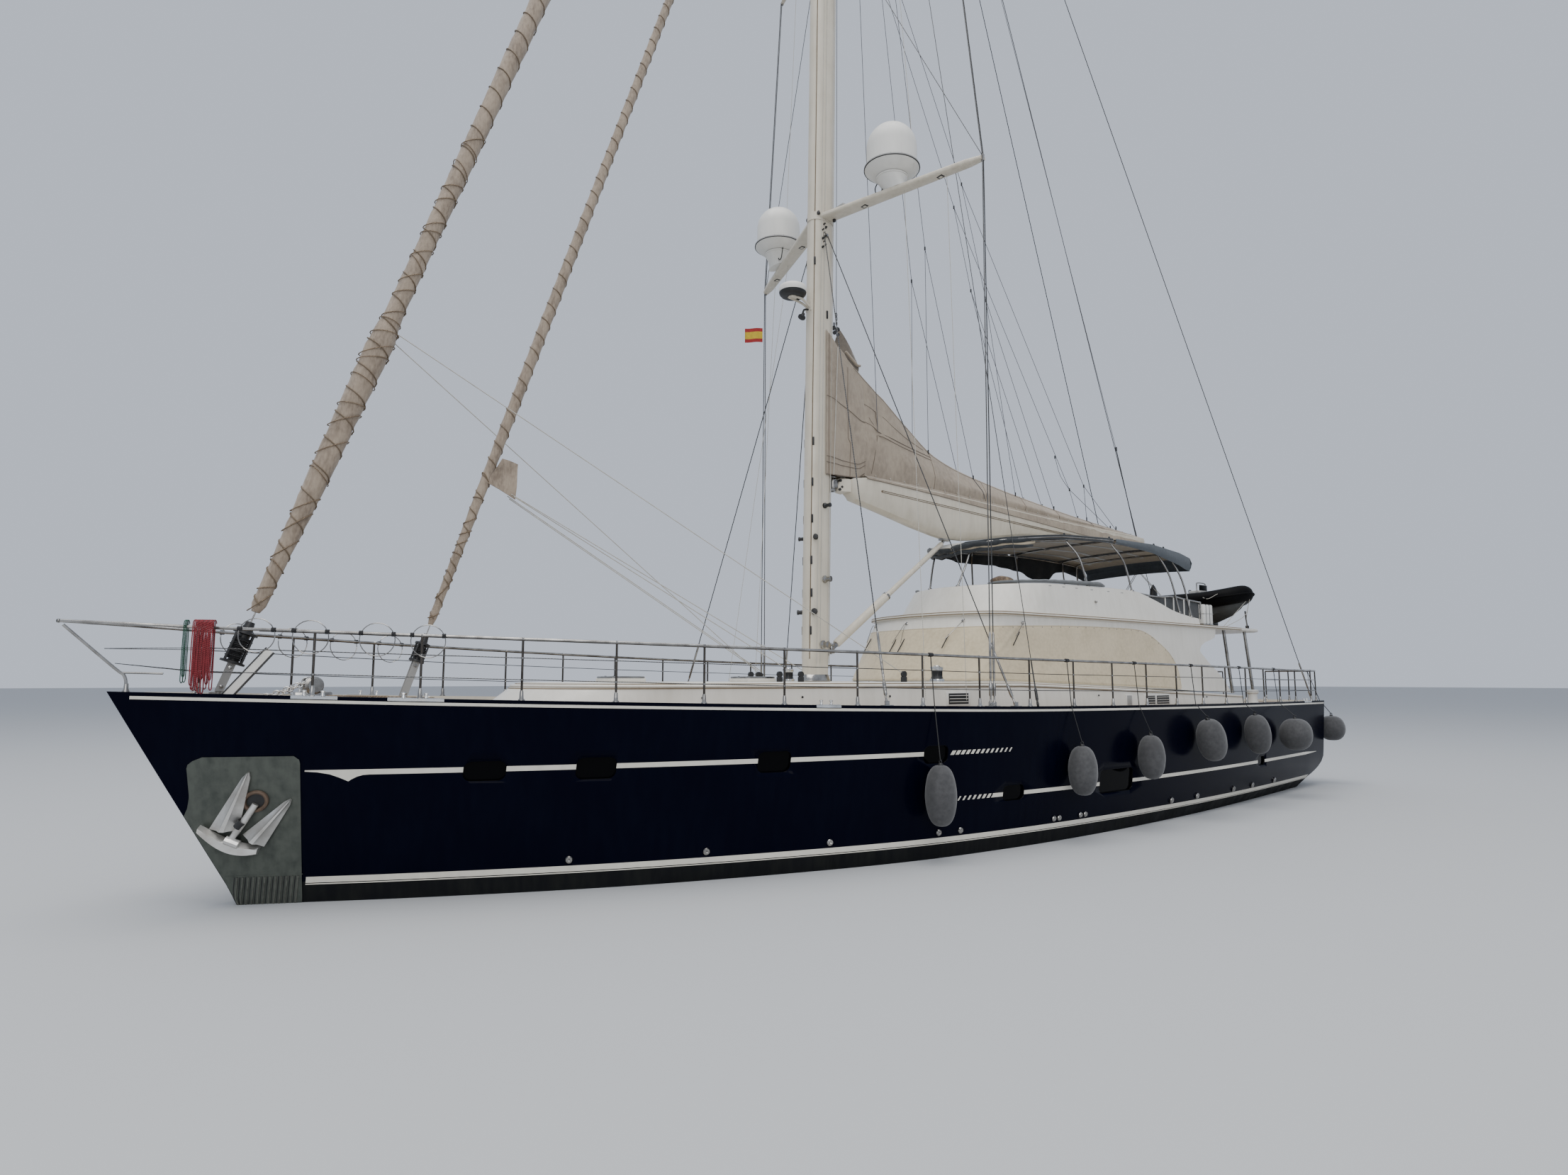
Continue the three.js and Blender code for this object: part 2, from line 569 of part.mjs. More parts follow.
// Columns under the overhang, the first pair on the coachroof: top x and y, then the foot
const COLUMNS = [[-10770, 1600, -11080, 1620, 2700], [-12160, 1480, -12560, 1500, 2300]];
const COLUMN_RADIUS = 45;
const columns = COLUMNS.flatMap(([topX, topY, footX, footY, footZ]) => [1, -1].map((side) => rod(
  [footX, side * footY, footZ], [topX, side * topY, LEDGE_BOTTOM + 60], COLUMN_RADIUS, 8)));
const TENDER_X = -11650;
const CHOCK_TOP = 4900;
const chocks = [-500, 700].map((y) => box(
  TENDER_X - 450, TENDER_X + 450, y - 40, y + 40, FLYBRIDGE_Z - 20, CHOCK_TOP));
const SLOT_DEPTH = 90;
const keelSlot = box(TENDER_X - 120, TENDER_X + 120, -600, 900, CHOCK_TOP - SLOT_DEPTH, CHOCK_TOP + 10);
const flybridge = join([slab, ...columns, ...chocks]).subtract(hullWithGap).subtract(aboveRoof)
  .subtract(keelSlot);
addPart('flybridge_deck', flybridge, COLOURS.white, 0.4);

// Flybridge coaming: an open wall that sweeps down aft
const COAMING_WALL = 130;
const COAMING_AFT = -9200;
const COAMING_FOOT = FLYBRIDGE_Z + SEAT_GAP;
const coamingRing = (nose, shoulder, side, z) => planRing({
  nose, shoulder, aft: COAMING_AFT, sideAt: (x) => lookUp(LEDGE_SIDE, x) - side, z,
});
const coamingOuter = skin([
  coamingRing(-550, -2100, 90, COAMING_FOOT), coamingRing(-1050, -2700, 230, 5480),
]);
const coamingInner = skin([
  coamingRing(-550 - COAMING_WALL, -2100, 90 + COAMING_WALL, COAMING_FOOT - 2),
  coamingRing(-1050 - COAMING_WALL, -2700, 230 + COAMING_WALL, 5482),
]);
const coamingFill = box(COAMING_AFT - 200, COAMING_AFT + 400, -1700, 1700, 0, ABOVE);
// Top edge of the coaming in x and z
const COAMING_TOP = [
  [500, 5360], [-1300, 5360], [-3000, 5410], [-5200, 5440], [-6250, 5420], [-6750, 5310], [-7300, 5190],
  [-7900, 5020], [-8650, 4900], [-9300, 4840], [-9300, 6000], [500, 6000],
];
const coaming = coamingOuter.subtract(coamingInner).subtract(coamingFill)
  .subtract(sidePrism(COAMING_TOP, -BESIDE, BESIDE));
addPart('flybridge_coaming', coaming, COLOURS.white, 0.4);

// Bimini cloth
const BIMINI_THICKNESS = 60;
const biminiHalf = (x) => {
  const share = THREE.MathUtils.clamp((x + 4200) / 3150, 0, 1);
  return 1700 * Math.sqrt(Math.max(1 - share * share, 0.03));
};
const biminiSections = BIMINI_LINE.flatMap(([x, z], i) => {
  const next = BIMINI_LINE[i + 1];
  return next && i > 0 && i < 4 ? [[x, z], [(x + next[0]) / 2, (z + next[1]) / 2 + 10]] : [[x, z]];
});
// Fall of the cloth from its centre line: at the shoulder, and at the edge by x
const SHOULDER = 0.7;
const SHOULDER_FALL = 10;
const EDGE_FALL = [[-1050, 25], [-3000, 25], [-5400, 60], [-9000, 60]];
const bimini = skin(biminiSections.map(([x, z]) => {
  const half = biminiHalf(x);
  const top = [[half, z - lookUp(EDGE_FALL, x)], [half * SHOULDER, z - SHOULDER_FALL], [half * 0.3, z]];
  const upper = [...top, ...top.map(([y, h]) => [-y, h]).reverse()];
  const lower = upper.map(([y, h]) => [y, h - BIMINI_THICKNESS]).reverse();
  return [...upper.map(([y, h]) => [x, y, h]), ...lower.map(([y, h]) => [x, y, h])];
}));
addPart('bimini_top', bimini, COLOURS.canvas, 0.9);

// Underside of the cloth beside its shoulder
function clothUnderside(x, y) {
  const share = Math.max((y / biminiHalf(x) - SHOULDER) / (1 - SHOULDER), 0);
  const fall = SHOULDER_FALL + share * (lookUp(EDGE_FALL, x) - SHOULDER_FALL);
  return lookUp(BIMINI_LINE, x) - fall - BIMINI_THICKNESS;
}

// Bimini frame: each arch has foot x, y and z, then top x and y, and lies against the cloth
const TUBE = 24;
const BEDDED = 4;
const ARCHES = [
  [-1095, 460, 5364, -1420, 560], [-4150, 1850, 5428, -3800, 1560], [-6050, 1800, 5427, -5650, 1560],
  [-8250, 1775, 4968, -7700, 1540], [-8850, 1755, 4886, -8350, 1520],
].map((arch) => [...arch, clothUnderside(arch[3], arch[4]) - TUBE + BEDDED]);
const biminiFrame = [];
ARCHES.forEach(([footX, footY, footZ, topX, topY, topZ]) => {
  biminiFrame.push(tubeRun([
    [footX, footY, footZ], [topX, topY, topZ], [topX, -topY, topZ], [footX, -footY, footZ],
  ], TUBE));
});
// The side rails bend this far before and behind each arch
const BEND_STEP = 70;
[1, -1].forEach((side) => biminiFrame.push(tubeRun(
  ARCHES.flatMap(([, , , topX, topY, topZ]) => [BEND_STEP, -BEND_STEP].map(
    (step) => [topX + step, side * (topY + 4), topZ - 7])), TUBE)));
// Aft rail of the flybridge, carried by the last two arches
const AFT_RAIL = [[-7200, 1735, 5345], [-8100, 1711, 5390], [-8680, 1675, 5350], [-9370, 1700, 5300]];
[1, -1].forEach((side) => {
  biminiFrame.push(tubeRun(AFT_RAIL.map(([x, y, z]) => [x, side * y, z]), TUBE));
  biminiFrame.push(rod([-9370, side * 1700, COAMING_FOOT], [-9370, side * 1700, 5300], TUBE));
});
const frameSolid = join(biminiFrame).subtract(bimini.translate([0, 0, -SEAT_GAP]))
  .subtract(coaming.translate([0, 0, SEAT_GAP]));
addPart('bimini_frame', frameSolid, COLOURS.steel, 0.2, 1);

// Guard rails: posts on the cap with a top tube, port and starboard
const POSTS = 22;
const FIRST_POST_X = 13800;
// The bays abaft the fourth are wider
const postX = (k) => FIRST_POST_X - POST_SPACING * k - WIDER_SPACING * Math.max(k - EVEN_BAYS, 0);
const LAST_POST_X = postX(POSTS - 1);
const PULPIT_TIP = [15370, 0, 3940];

function guardRail(side, grow = 0) {
  const pieces = [];
  const topLine = [];
  const railPoint = (x) => [x, side * (deckHalfAt(x) - RAIL_INSET), sheerAt(x) + RAIL_HEIGHT];
  for (let k = 0; k < POSTS; k += 1) {
    const x = postX(k);
    const [, y, top] = railPoint(x);
    pieces.push(rod([x, y, sheerAt(x) - SUNK_FOOT], [x, y, top], POST_RADIUS + grow, 5));
    topLine.push(railPoint(k === 0 ? x : x + POST_SPACING / 2));
  }
  topLine.push(railPoint(LAST_POST_X));
  pieces.push(tubeRun(topLine, RAIL_RADIUS + grow, 6));
  return pieces;
}

// Bend of the pulpit's lower tubes: x and z
const PULPIT_BEND = [14620, 3190];
const pulpitFoot = [14600, 60, sheerAt(14600) - SUNK_FOOT];
const pulpitTubes = (grow) => [1, -1].flatMap((side) => [
  rod([FIRST_POST_X, side * (deckHalfAt(FIRST_POST_X) - RAIL_INSET), sheerAt(FIRST_POST_X) + RAIL_HEIGHT],
    PULPIT_TIP, RAIL_RADIUS + grow, 6),
  tubeRun([
    [pulpitFoot[0], side * pulpitFoot[1], pulpitFoot[2]],
    [PULPIT_BEND[0], side * pulpitFoot[1], PULPIT_BEND[1]],
    [PULPIT_TIP[0] - 14, side * 9, PULPIT_TIP[2] - 18],
  ], 20 + grow, 6),
]);
const noseBall = new THREE.SphereGeometry(26, 8, 6);
noseBall.translate(...PULPIT_TIP);
// Stern rail: x and y from the last post round the quarter
const QUARTER_POST = [-14750, 2250];
const STERN_RAIL_X = -14870;
const STERN_RAIL = [
  [LAST_POST_X, deckHalfAt(LAST_POST_X) - RAIL_INSET], QUARTER_POST,
  [STERN_RAIL_X, 2050], [STERN_RAIL_X, 700],
];
const sternRail = (grow) => tubeRun(
  STERN_RAIL.map(([x, y]) => [x, y, sheerAt(x) + RAIL_HEIGHT]), RAIL_RADIUS + grow, 6);
const sternPosts = [QUARTER_POST, [-14890, 700]].map(([x, y]) => rod(
  [x, y, sheerAt(x) - SUNK_FOOT], [x, y, sheerAt(x) + RAIL_HEIGHT], POST_RADIUS, 6));
const sternPort = join([sternRail(0), ...sternPosts]);
addPart('guard_rail_port', join([...guardRail(1), ...pulpitTubes(0), toSolid(noseBall), sternPort])
  .subtract(hullWithGap), COLOURS.steel, 0.2, 1);
addPart('guard_rail_starboard', join([...guardRail(-1), sternPort.mirror([0, 1, 0])])
  .subtract(join(pulpitTubes(SEAT_GAP))).subtract(hullWithGap), COLOURS.steel, 0.2, 1);

// Mast with its upper spreaders, gooseneck jaws and vang foot
const mastX = (z) => MAST_X_AT_WATER - MAST_LEAN * z;
const mastAft = (z) => mastX(z) - MAST_FORE_AFT;
const boomAxisX = (z) => mastAft(z) - BOOM_AXIS_BEHIND_MAST;
// Mast sections: z, half depth, half width
const MAST_SECTIONS = [
  [COACHROOF_TOP + SEAT_GAP, MAST_FORE_AFT, MAST_SIDE], [20000, MAST_FORE_AFT, MAST_SIDE],
  [28500, 240, 165], [MAST_TOP, 160, 120],
];
const MAST_SIDES = 12;

function mastRing(z, depth, width, grow) {
  const port = [];
  for (let i = 0; i < MAST_SIDES / 2; i += 1) {
    const angle = ((i + 0.5) / MAST_SIDES) * 2 * Math.PI;
    port.push([mastX(z) + (depth + grow) * Math.cos(angle), (width + grow) * Math.sin(angle), z]);
  }
  return mirrored(port);
}

const mastSkin = (grow) => skin(MAST_SECTIONS.map(([z, depth, width]) => mastRing(z, depth, width, grow)));
const mastTube = mastSkin(0);
const grownMast = mastSkin(SEAT_GAP);
const PIN = 28;
const JAW_RADIUS = 80;
const onAxis = (z) => [boomAxisX(z), 0, z];
const JAW_PLATE = 45;
const jaw = (z, halfHeight) => join([
  ...[z - halfHeight - JAW_PLATE, z + halfHeight].flatMap((low) => [
    rod(onAxis(low), onAxis(low + JAW_PLATE), JAW_RADIUS, 14),
    box(boomAxisX(low) + 25, mastAft(low) + 60, 10 - JAW_RADIUS, JAW_RADIUS - 10,
      low + 3, low + JAW_PLATE - 3),
  ]),
  rod(onAxis(z - halfHeight - 5), onAxis(z + halfHeight + 5), PIN, PIN_SIDES),
]);
const JAW_HALF = 130;
const VANG_JAW_HALF = 60;
// Upper spreaders: z, half span, aft sweep
const UPPER_SPREADERS = [[21200, 2950, 900], [28600, 2000, 620]];
// Spreader arms: half breadth at the root and the tip, and half thickness
const FIRST_ARM = { root: 200, tip: 110, thick: 60 };
const UPPER_ARM = { root: 110, tip: 60, thick: 34 };

function spreaderArm(z, span, sweep, side, { root, tip, thick }) {
  const edge = thick / 2;
  const rings = [[0, root], [1, tip]].map(([share, half]) => {
    const [x, y] = [mastX(z) - share * sweep, side * share * span];
    return [
      [x + half, y, z - edge], [x + half, y, z + edge], [x, y, z + thick],
      [x - half, y, z + edge], [x - half, y, z - edge], [x, y, z - thick],
    ];
  });
  return skin(rings);
}

const upperArms = UPPER_SPREADERS.flatMap(([z, span, sweep]) => [1, -1].map(
  (side) => spreaderArm(z, span, sweep, side, UPPER_ARM)));
const masthead = join([
  box(mastX(MAST_TOP) - 940, mastX(MAST_TOP) + 260, -45, 45, MAST_TOP - 60, MAST_TOP + 90),
  rod([mastX(MAST_TOP) - 300, 0, MAST_TOP + 60], [mastX(MAST_TOP) - 300, 0, MAST_TOP + 520], 8, 6),
]);
const stayTang = (stay, reach) => box(
  mastX(stay.headZ) + 20, stay.xAtWater - stay.lean * stay.headZ + reach, -25, 25,
  stay.headZ + SEAT_GAP, stay.headZ + 120);
const mast = join([
  mastTube, jaw(GOOSENECK_Z, JAW_HALF), jaw(VANG_FOOT_Z, VANG_JAW_HALF), ...upperArms, masthead,
  stayTang(FORESTAY, 20), stayTang(INNER_STAY, 20),
]);

// First spreaders, in a collar round the mast; they carry the two satellite domes
const SPREADER_SPAN = 3810;
const SPREADER_SWEEP = 1120;
const COLLAR_HALF = 90;
const COLLAR_WALL = 30;
const collar = skin([FIRST_SPREADER_Z - COLLAR_HALF, FIRST_SPREADER_Z + COLLAR_HALF].map(
  (z) => mastRing(z, MAST_FORE_AFT, MAST_SIDE, COLLAR_WALL)));
const firstArms = [1, -1].map(
  (side) => spreaderArm(FIRST_SPREADER_Z, SPREADER_SPAN, SPREADER_SWEEP, side, FIRST_ARM));
const spreaders = join([collar, ...firstArms]);
addPart('mast', mast, COLOURS.cream, 0.4);
addPart('spreaders', spreaders.subtract(grownMast), COLOURS.cream, 0.4);

// Satellite domes: y on the spreader arm and x ahead of its ridge; and the radar on the mast front
const DOME_PROFILE = [
  [0, 0], [190, 0], [335, 230], [350, 270], [595, 450], [595, 490], [535, 500], [535, 930], [490, 1145],
  [370, 1320], [190, 1430], [0, 1465],
];
const RADAR_PROFILE = [[0, 0], [250, 0], [300, 60], [300, 170], [230, 250], [0, 290]];
const DOMES = { port: { y: 1810, ahead: 0 }, starboard: { y: -2400, ahead: 165 } };
const armTop = FIRST_SPREADER_Z + FIRST_ARM.thick;
Object.entries(DOMES).forEach(([name, { y, ahead }]) => {
  const share = Math.abs(y) / SPREADER_SPAN;
  const x = mastX(FIRST_SPREADER_Z) - share * SPREADER_SWEEP + ahead;
  addPart(`dome_${name}`, lathe(DOME_PROFILE, 16).translate([x, y, armTop + SEAT_GAP]), COLOURS.white, 0.35);
});
const RADAR_Z = 11480;
const RADAR_REACH = 730;
const radarDome = lathe(RADAR_PROFILE, 16).translate([mastX(RADAR_Z) + RADAR_REACH, 0, RADAR_Z]);
const radarBracket = box(
  mastX(RADAR_Z) + 100, mastX(RADAR_Z) + RADAR_REACH + 80, -60, 60, RADAR_Z - 60, RADAR_Z + 10);
addPart('radar', radarDome.add(radarBracket).subtract(grownMast), COLOURS.white, 0.35);

// Boom: outline of one side in x and z, deepest at the vang
const BOOM_OUTLINE = [
  [1950, 7320], [1950, 7600], [1400, 7690], [-1200, 7600], [-5700, 7380], [-9150, 7280], [-9260, 7200],
  [-9240, 7060], [-4000, 6900], [-1900, 6570], [-1210, 6540], [1500, 7120],
];
const BOOM_HALF = 230;
const LUG_RADIUS = 62;
const LUG_PLAY = 6;
const lug = (z, jawHalf) => rod(
  onAxis(z - jawHalf + LUG_PLAY), onAxis(z + jawHalf - LUG_PLAY), LUG_RADIUS, 12);
const boomLug = join([
  lug(GOOSENECK_Z, JAW_HALF),
  box(1800, boomAxisX(GOOSENECK_Z) + 10, -55, 55, GOOSENECK_Z - 90, GOOSENECK_Z + 90),
]);
const boomPin = rod(onAxis(7000), onAxis(8000), PIN + PIN_PLAY, PIN_SIDES);
const boomBody = sidePrism(BOOM_OUTLINE, -BOOM_HALF, BOOM_HALF);
addPart('boom', join([boomBody, boomLug]).subtract(boomPin), COLOURS.cream, 0.4);

// Vang: a strut from the mast foot to the boom
const VANG_HEAD = [-1150, 0, 6500];
const vangFoot = [boomAxisX(VANG_FOOT_Z), 0, VANG_FOOT_Z];
const vangJaw = {
  low: VANG_FOOT_Z - VANG_JAW_HALF + LUG_PLAY,
  high: VANG_FOOT_Z + VANG_JAW_HALF - LUG_PLAY,
};
const vangTube = join([
  rod(vangFoot, VANG_HEAD, 62, 10), rod(vangFoot, [500, 0, 5200], 95, 10),
  rod([vangFoot[0], 0, vangJaw.low], [vangFoot[0], 0, vangJaw.high], LUG_RADIUS, 12),
]).subtract(rod(onAxis(3500), onAxis(4200), PIN + PIN_PLAY, PIN_SIDES))
  .subtract(boomBody.translate([0, 0, -SEAT_GAP]));
const JAW_CLEAR = JAW_RADIUS + 12;
const vangClear = join([
  rod(onAxis(vangJaw.high), onAxis(4200), JAW_CLEAR, 16),
  rod(onAxis(3400), onAxis(vangJaw.low), JAW_CLEAR, 16),
  box(vangFoot[0], FAR, -200, 200, 0, vangJaw.low), box(vangFoot[0], FAR, -200, 200, vangJaw.high, ABOVE),
]);
addPart('vang', vangTube.subtract(vangClear), COLOURS.cream, 0.35);

// Mainsail under its cover, stacked on the boom: x, bottom z, top z, half width
const SAIL_STACK = [
  [2190, 7650, 11000, 60], [2000, 7640, 10900, 110], [1560, 7640, 10200, 170], [920, 7640, 9750, 210],
  [120, 7610, 9150, 240], [-820, 7580, 8540, 250], [-2410, 7520, 8150, 250], [-5750, 7350, 7690, 220],
  [-9150, 7250, 7360, 120],
];
// Before this x the stack leans with the mast, about the top of the boom
const LUFF_X = 1900;
const BOOM_TOP_Z = 7500;
const sailStack = skin(SAIL_STACK.map(([x, low, high, half]) => {
  const waist = low + (high - low) * 0.35;
  const lean = x > LUFF_X ? MAST_LEAN : 0;
  const at = (z) => x - lean * (z - BOOM_TOP_Z);
  return [
    [at(low), half * 0.8, low], [at(waist), half, waist], [at(high), half * 0.25, high],
    [at(high), -half * 0.25, high], [at(waist), -half, waist], [at(low), -half * 0.8, low],
  ];
})).subtract(boomBody.translate([0, 0, SEAT_GAP]));
addPart('sail_cover', sailStack, COLOURS.taupe, 0.9);

// Furled sails on their stays, with the drums on the same stay
function stayPoint(stay, z) {
  return [stay.xAtWater - stay.lean * z, 0, z];
}

function rollRing(stay, z, radius, sides) {
  const port = [];
  for (let i = 0; i < sides / 2; i += 1) {
    const angle = ((i + 0.5) / sides) * 2 * Math.PI;
    port.push([stayPoint(stay, z)[0] + radius * Math.cos(angle), radius * Math.sin(angle), z]);
  }
  return mirrored(port);
}

function furledSail(stay, table) {
  const roll = skin(table.map(([z, radius]) => rollRing(stay, z, radius, 12)));
  const boreRadius = (stay.radius * 1.06 + SEAT_GAP) / Math.cos(Math.PI / 8);
  const bore = skin([table[0][0] - 50, table.at(-1)[0] + 50].map((z) => rollRing(stay, z, boreRadius, 8)));
  return roll.subtract(bore);
}

function stayAndDrum(stay, drumFrom, drumTo, drumRadius) {
  const cable = rod(stayPoint(stay, stay.footZ), stayPoint(stay, stay.headZ - 12), stay.radius, 8);
  const drum = rod(stayPoint(stay, drumFrom), stayPoint(stay, drumTo), drumRadius, 12);
  const base = rod(stayPoint(stay, 2500), stayPoint(stay, drumFrom + 20), 45, 8);
  return join([cable, drum, base]).subtract(hullWithGap);
}

addPart('forestay_and_drum', stayAndDrum(FORESTAY, 3400, 4000, 165), COLOURS.dark, 0.5, 0.3);
addPart('furled_genoa', furledSail(FORESTAY, GENOA_ROLL), COLOURS.taupe, 0.9);
addPart('inner_stay_and_drum', stayAndDrum(INNER_STAY, 3450, 3900, 120), COLOURS.dark, 0.5, 0.3);
addPart('furled_staysail', furledSail(INNER_STAY, STAYSAIL_ROLL), COLOURS.taupe, 0.9);

// Shrouds: the cap shroud runs from the chainplate past the spreader tips to the masthead
const WIRE = 11;
const CHAINPLATE = { forward: [4000, 3580], cap: [1530, 3800], aft: [920, 3800] };
const LOWER_TANG = [mastX(13050), MAST_SIDE + 14, 13050];

function capShroud(side) {
  const foot = [CHAINPLATE.cap[0], CHAINPLATE.cap[1], sheerAt(CHAINPLATE.cap[0]) - SUNK_FOOT];
  const besideTip = WIRE + 8;
  const tips = [
    foot, [foot[0], foot[1] + 1, foot[2] + WIRE_END],
    [mastX(FIRST_SPREADER_Z) - SPREADER_SWEEP, SPREADER_SPAN + besideTip, FIRST_SPREADER_Z],
    ...UPPER_SPREADERS.map(([z, span, sweep]) => [mastX(z) - sweep, span + besideTip, z]),
    [mastX(35600), 160, 35600],
  ];
  return tubeRun(tips.map(([x, y, z]) => [x, side * y, z]), WIRE, 6).subtract(hullWithGap);
}

function lowerShrouds(side) {
  const [fore, aft] = [CHAINPLATE.forward, CHAINPLATE.aft];
  const [x, y, z] = [LOWER_TANG[0], side * LOWER_TANG[1], LOWER_TANG[2]];
  return join([
    wire([fore[0], side * fore[1], sheerAt(fore[0]) - SUNK_FOOT], [x + 40, y, z], WIRE),
    wire([aft[0], side * aft[1], sheerAt(aft[0]) - SUNK_FOOT], [x - 40, y, z], WIRE),
    box(x - 60, x + 60, y - 20, y + 20, z - 50, z + 18),
  ]).subtract(grownMast).subtract(hullWithGap);
}

[['port', 1], ['starboard', -1]].forEach(([name, side]) => {
  addPart(`cap_shroud_${name}`, capShroud(side).subtract(grownMast), COLOURS.steel, 0.3, 1);
  addPart(`lower_shrouds_${name}`, lowerShrouds(side), COLOURS.steel, 0.3, 1);
});
const BACKSTAY_FOOT = [-14650, 2200];
const BACKSTAY_HEAD = [mastX(MAST_TOP) - 900, 0, MAST_TOP - 80];
const backstay = [1, -1].map((side) => wire(
  [BACKSTAY_FOOT[0], side * BACKSTAY_FOOT[1], deckTopAt(...BACKSTAY_FOOT) - SUNK_FOOT],
  [BACKSTAY_HEAD[0], side * 22, BACKSTAY_HEAD[2] - 20], WIRE));
const backstayToggle = box(BACKSTAY_HEAD[0] - 30, BACKSTAY_HEAD[0] + 40, -60, 60, BACKSTAY_HEAD[2] - 120,
  BACKSTAY_HEAD[2] + 8);
addPart('backstays', join([...backstay, backstayToggle]).subtract(hullWithGap), COLOURS.steel, 0.3, 1);

// Helm on the flybridge
const HELM_X = -3300;
const HELM_BOSS = 260;
const HELM_WHEEL = { x: HELM_X - 330, z: 5330, radius: 300 };
const pedestal = join([
  box(HELM_X - 200, HELM_X + 200, -330, 330, FLYBRIDGE_Z + SEAT_GAP, 5450),
  rod([HELM_X - HELM_BOSS, 0, HELM_WHEEL.z], [HELM_X, 0, HELM_WHEEL.z], 35, 10),
]);
addPart('helm_console', pedestal, COLOURS.white, 0.4);
const rim = new THREE.TorusGeometry(HELM_WHEEL.radius, 16, 6, 20);
rim.rotateY(Math.PI / 2);
rim.translate(HELM_WHEEL.x, 0, HELM_WHEEL.z);
const wheelSpokes = [0, 1, 2].map((turn) => {
  const angle = (turn * Math.PI) / 3;
  const [y, z] = [Math.cos(angle) * HELM_WHEEL.radius, Math.sin(angle) * HELM_WHEEL.radius];
  return rod([HELM_WHEEL.x, -y, HELM_WHEEL.z - z], [HELM_WHEEL.x, y, HELM_WHEEL.z + z], 10, 6);
});
const wheelHub = rod(
  [HELM_WHEEL.x - 30, 0, HELM_WHEEL.z], [HELM_X - HELM_BOSS - SEAT_GAP, 0, HELM_WHEEL.z], 45, 10);
addPart('helm_wheel', join([toSolid(rim), ...wheelSpokes, wheelHub]), COLOURS.steel, 0.2, 1);

// Hatches on the coachroof: a fixed coaming with a hinged lid
const HATCHES = [['forward', 7300], ['middle', 4400]];
const HATCH = { half: 340, hole: 280, coaming: 70, lid: 35 };
HATCHES.forEach(([name, x]) => {
  const lidZ = COACHROOF_TOP + HATCH.coaming + SEAT_GAP;
  const frame = box(x - HATCH.half, x + HATCH.half, -HATCH.half, HATCH.half, COACHROOF_TOP + SEAT_GAP,
    COACHROOF_TOP + HATCH.coaming)
    .subtract(box(x - HATCH.hole, x + HATCH.hole, -HATCH.hole, HATCH.hole, 0, ABOVE));
  addPart(`hatch_frame_${name}`, frame, COLOURS.steel, 0.3, 1);
  addPart(`hatch_lid_${name}`, box(x - HATCH.half, x + HATCH.half, -HATCH.half, HATCH.half, lidZ,
    lidZ + HATCH.lid), COLOURS.dark, 0.2);
});

// Winches on the coachroof beside the saloon
const WINCH = [
  [0, 0], [150, 0], [150, 60], [105, 110], [95, 210], [125, 240], [125, 290], [60, 320], [0, 320],
];
const WINCH_AT = [1700, 2500];
[['port', 1], ['starboard', -1]].forEach(([name, side]) => addPart(`winch_${name}`,
  lathe(WINCH, 14).translate([WINCH_AT[0], side * WINCH_AT[1], COACHROOF_TOP + SEAT_GAP]),
  COLOURS.steel, 0.2, 1));

// Anchor windlass on the foredeck
const WINDLASS = { x: 12350, z: 3080, reach: 420, drum: 130 };
const windlass = join([
  box(WINDLASS.x - 250, WINDLASS.x + 250, -260, 260, 2500, 3000),
  rod([WINDLASS.x, -WINDLASS.reach, WINDLASS.z], [WINDLASS.x, WINDLASS.reach, WINDLASS.z], WINDLASS.drum, 12),
  box(WINDLASS.x - 140, WINDLASS.x + 140, -120, 120, 2950, 3160),
]).subtract(hullWithGap);
addPart('windlass', windlass, COLOURS.steel, 0.3, 0.8);

// Life raft case at the flybridge edge
addPart('life_raft', box(-9920, -9420, 1440, 1790, FLYBRIDGE_Z + SEAT_GAP, 5250), COLOURS.white, 0.4);

// Tender athwart the overhang, bow to port: keel, bottom, tubes and console
const TENDER = { sternY: -1500, half: 560, tube: 250, tubeZ: 5500, keelZ: CHOCK_TOP - SLOT_DEPTH + SEAT_GAP };
const tenderRing = (y, half, keelZ, topZ) => [
  [TENDER_X + half, y, topZ], [TENDER_X + half * 0.8, y, (topZ + keelZ) / 2 - 60],
  [TENDER_X + 20, y, keelZ], [TENDER_X - 20, y, keelZ],
  [TENDER_X - half * 0.8, y, (topZ + keelZ) / 2 - 60], [TENDER_X - half, y, topZ],
];
const tenderHull = skin([
  tenderRing(TENDER.sternY, TENDER.half, TENDER.keelZ, TENDER.tubeZ),
  tenderRing(900, TENDER.half, TENDER.keelZ, TENDER.tubeZ),
  tenderRing(1450, TENDER.half * 0.75, TENDER.keelZ + 160, TENDER.tubeZ + 60),
  tenderRing(1850, 80, TENDER.tubeZ - 60, TENDER.tubeZ + 120),
]);
const tubePath = [
  [TENDER_X - TENDER.half, TENDER.sternY - 150, TENDER.tubeZ], [TENDER_X - TENDER.half, 600, TENDER.tubeZ],
  [TENDER_X - TENDER.half + 40, 1100, TENDER.tubeZ + 30], [TENDER_X - 330, 1560, TENDER.tubeZ + 100],
  [TENDER_X, 1780, TENDER.tubeZ + 160],
];
const tubeOther = tubePath.map(([x, y, z]) => [2 * TENDER_X - x, y, z]);
const tenderTube = tubeRun([...tubePath, ...tubeOther.slice(0, -1).reverse()], TENDER.tube, 10);
const tenderConsole = box(TENDER_X - 220, TENDER_X + 220, 200, 600, TENDER.tubeZ - 200, TENDER.tubeZ + 420);
const flybridgeGap = join(chocks).subtract(keelSlot).translate([0, 0, SEAT_GAP]);
addPart('tender', join([tenderHull, tenderTube, tenderConsole]).subtract(flybridgeGap), COLOURS.dark, 0.5);

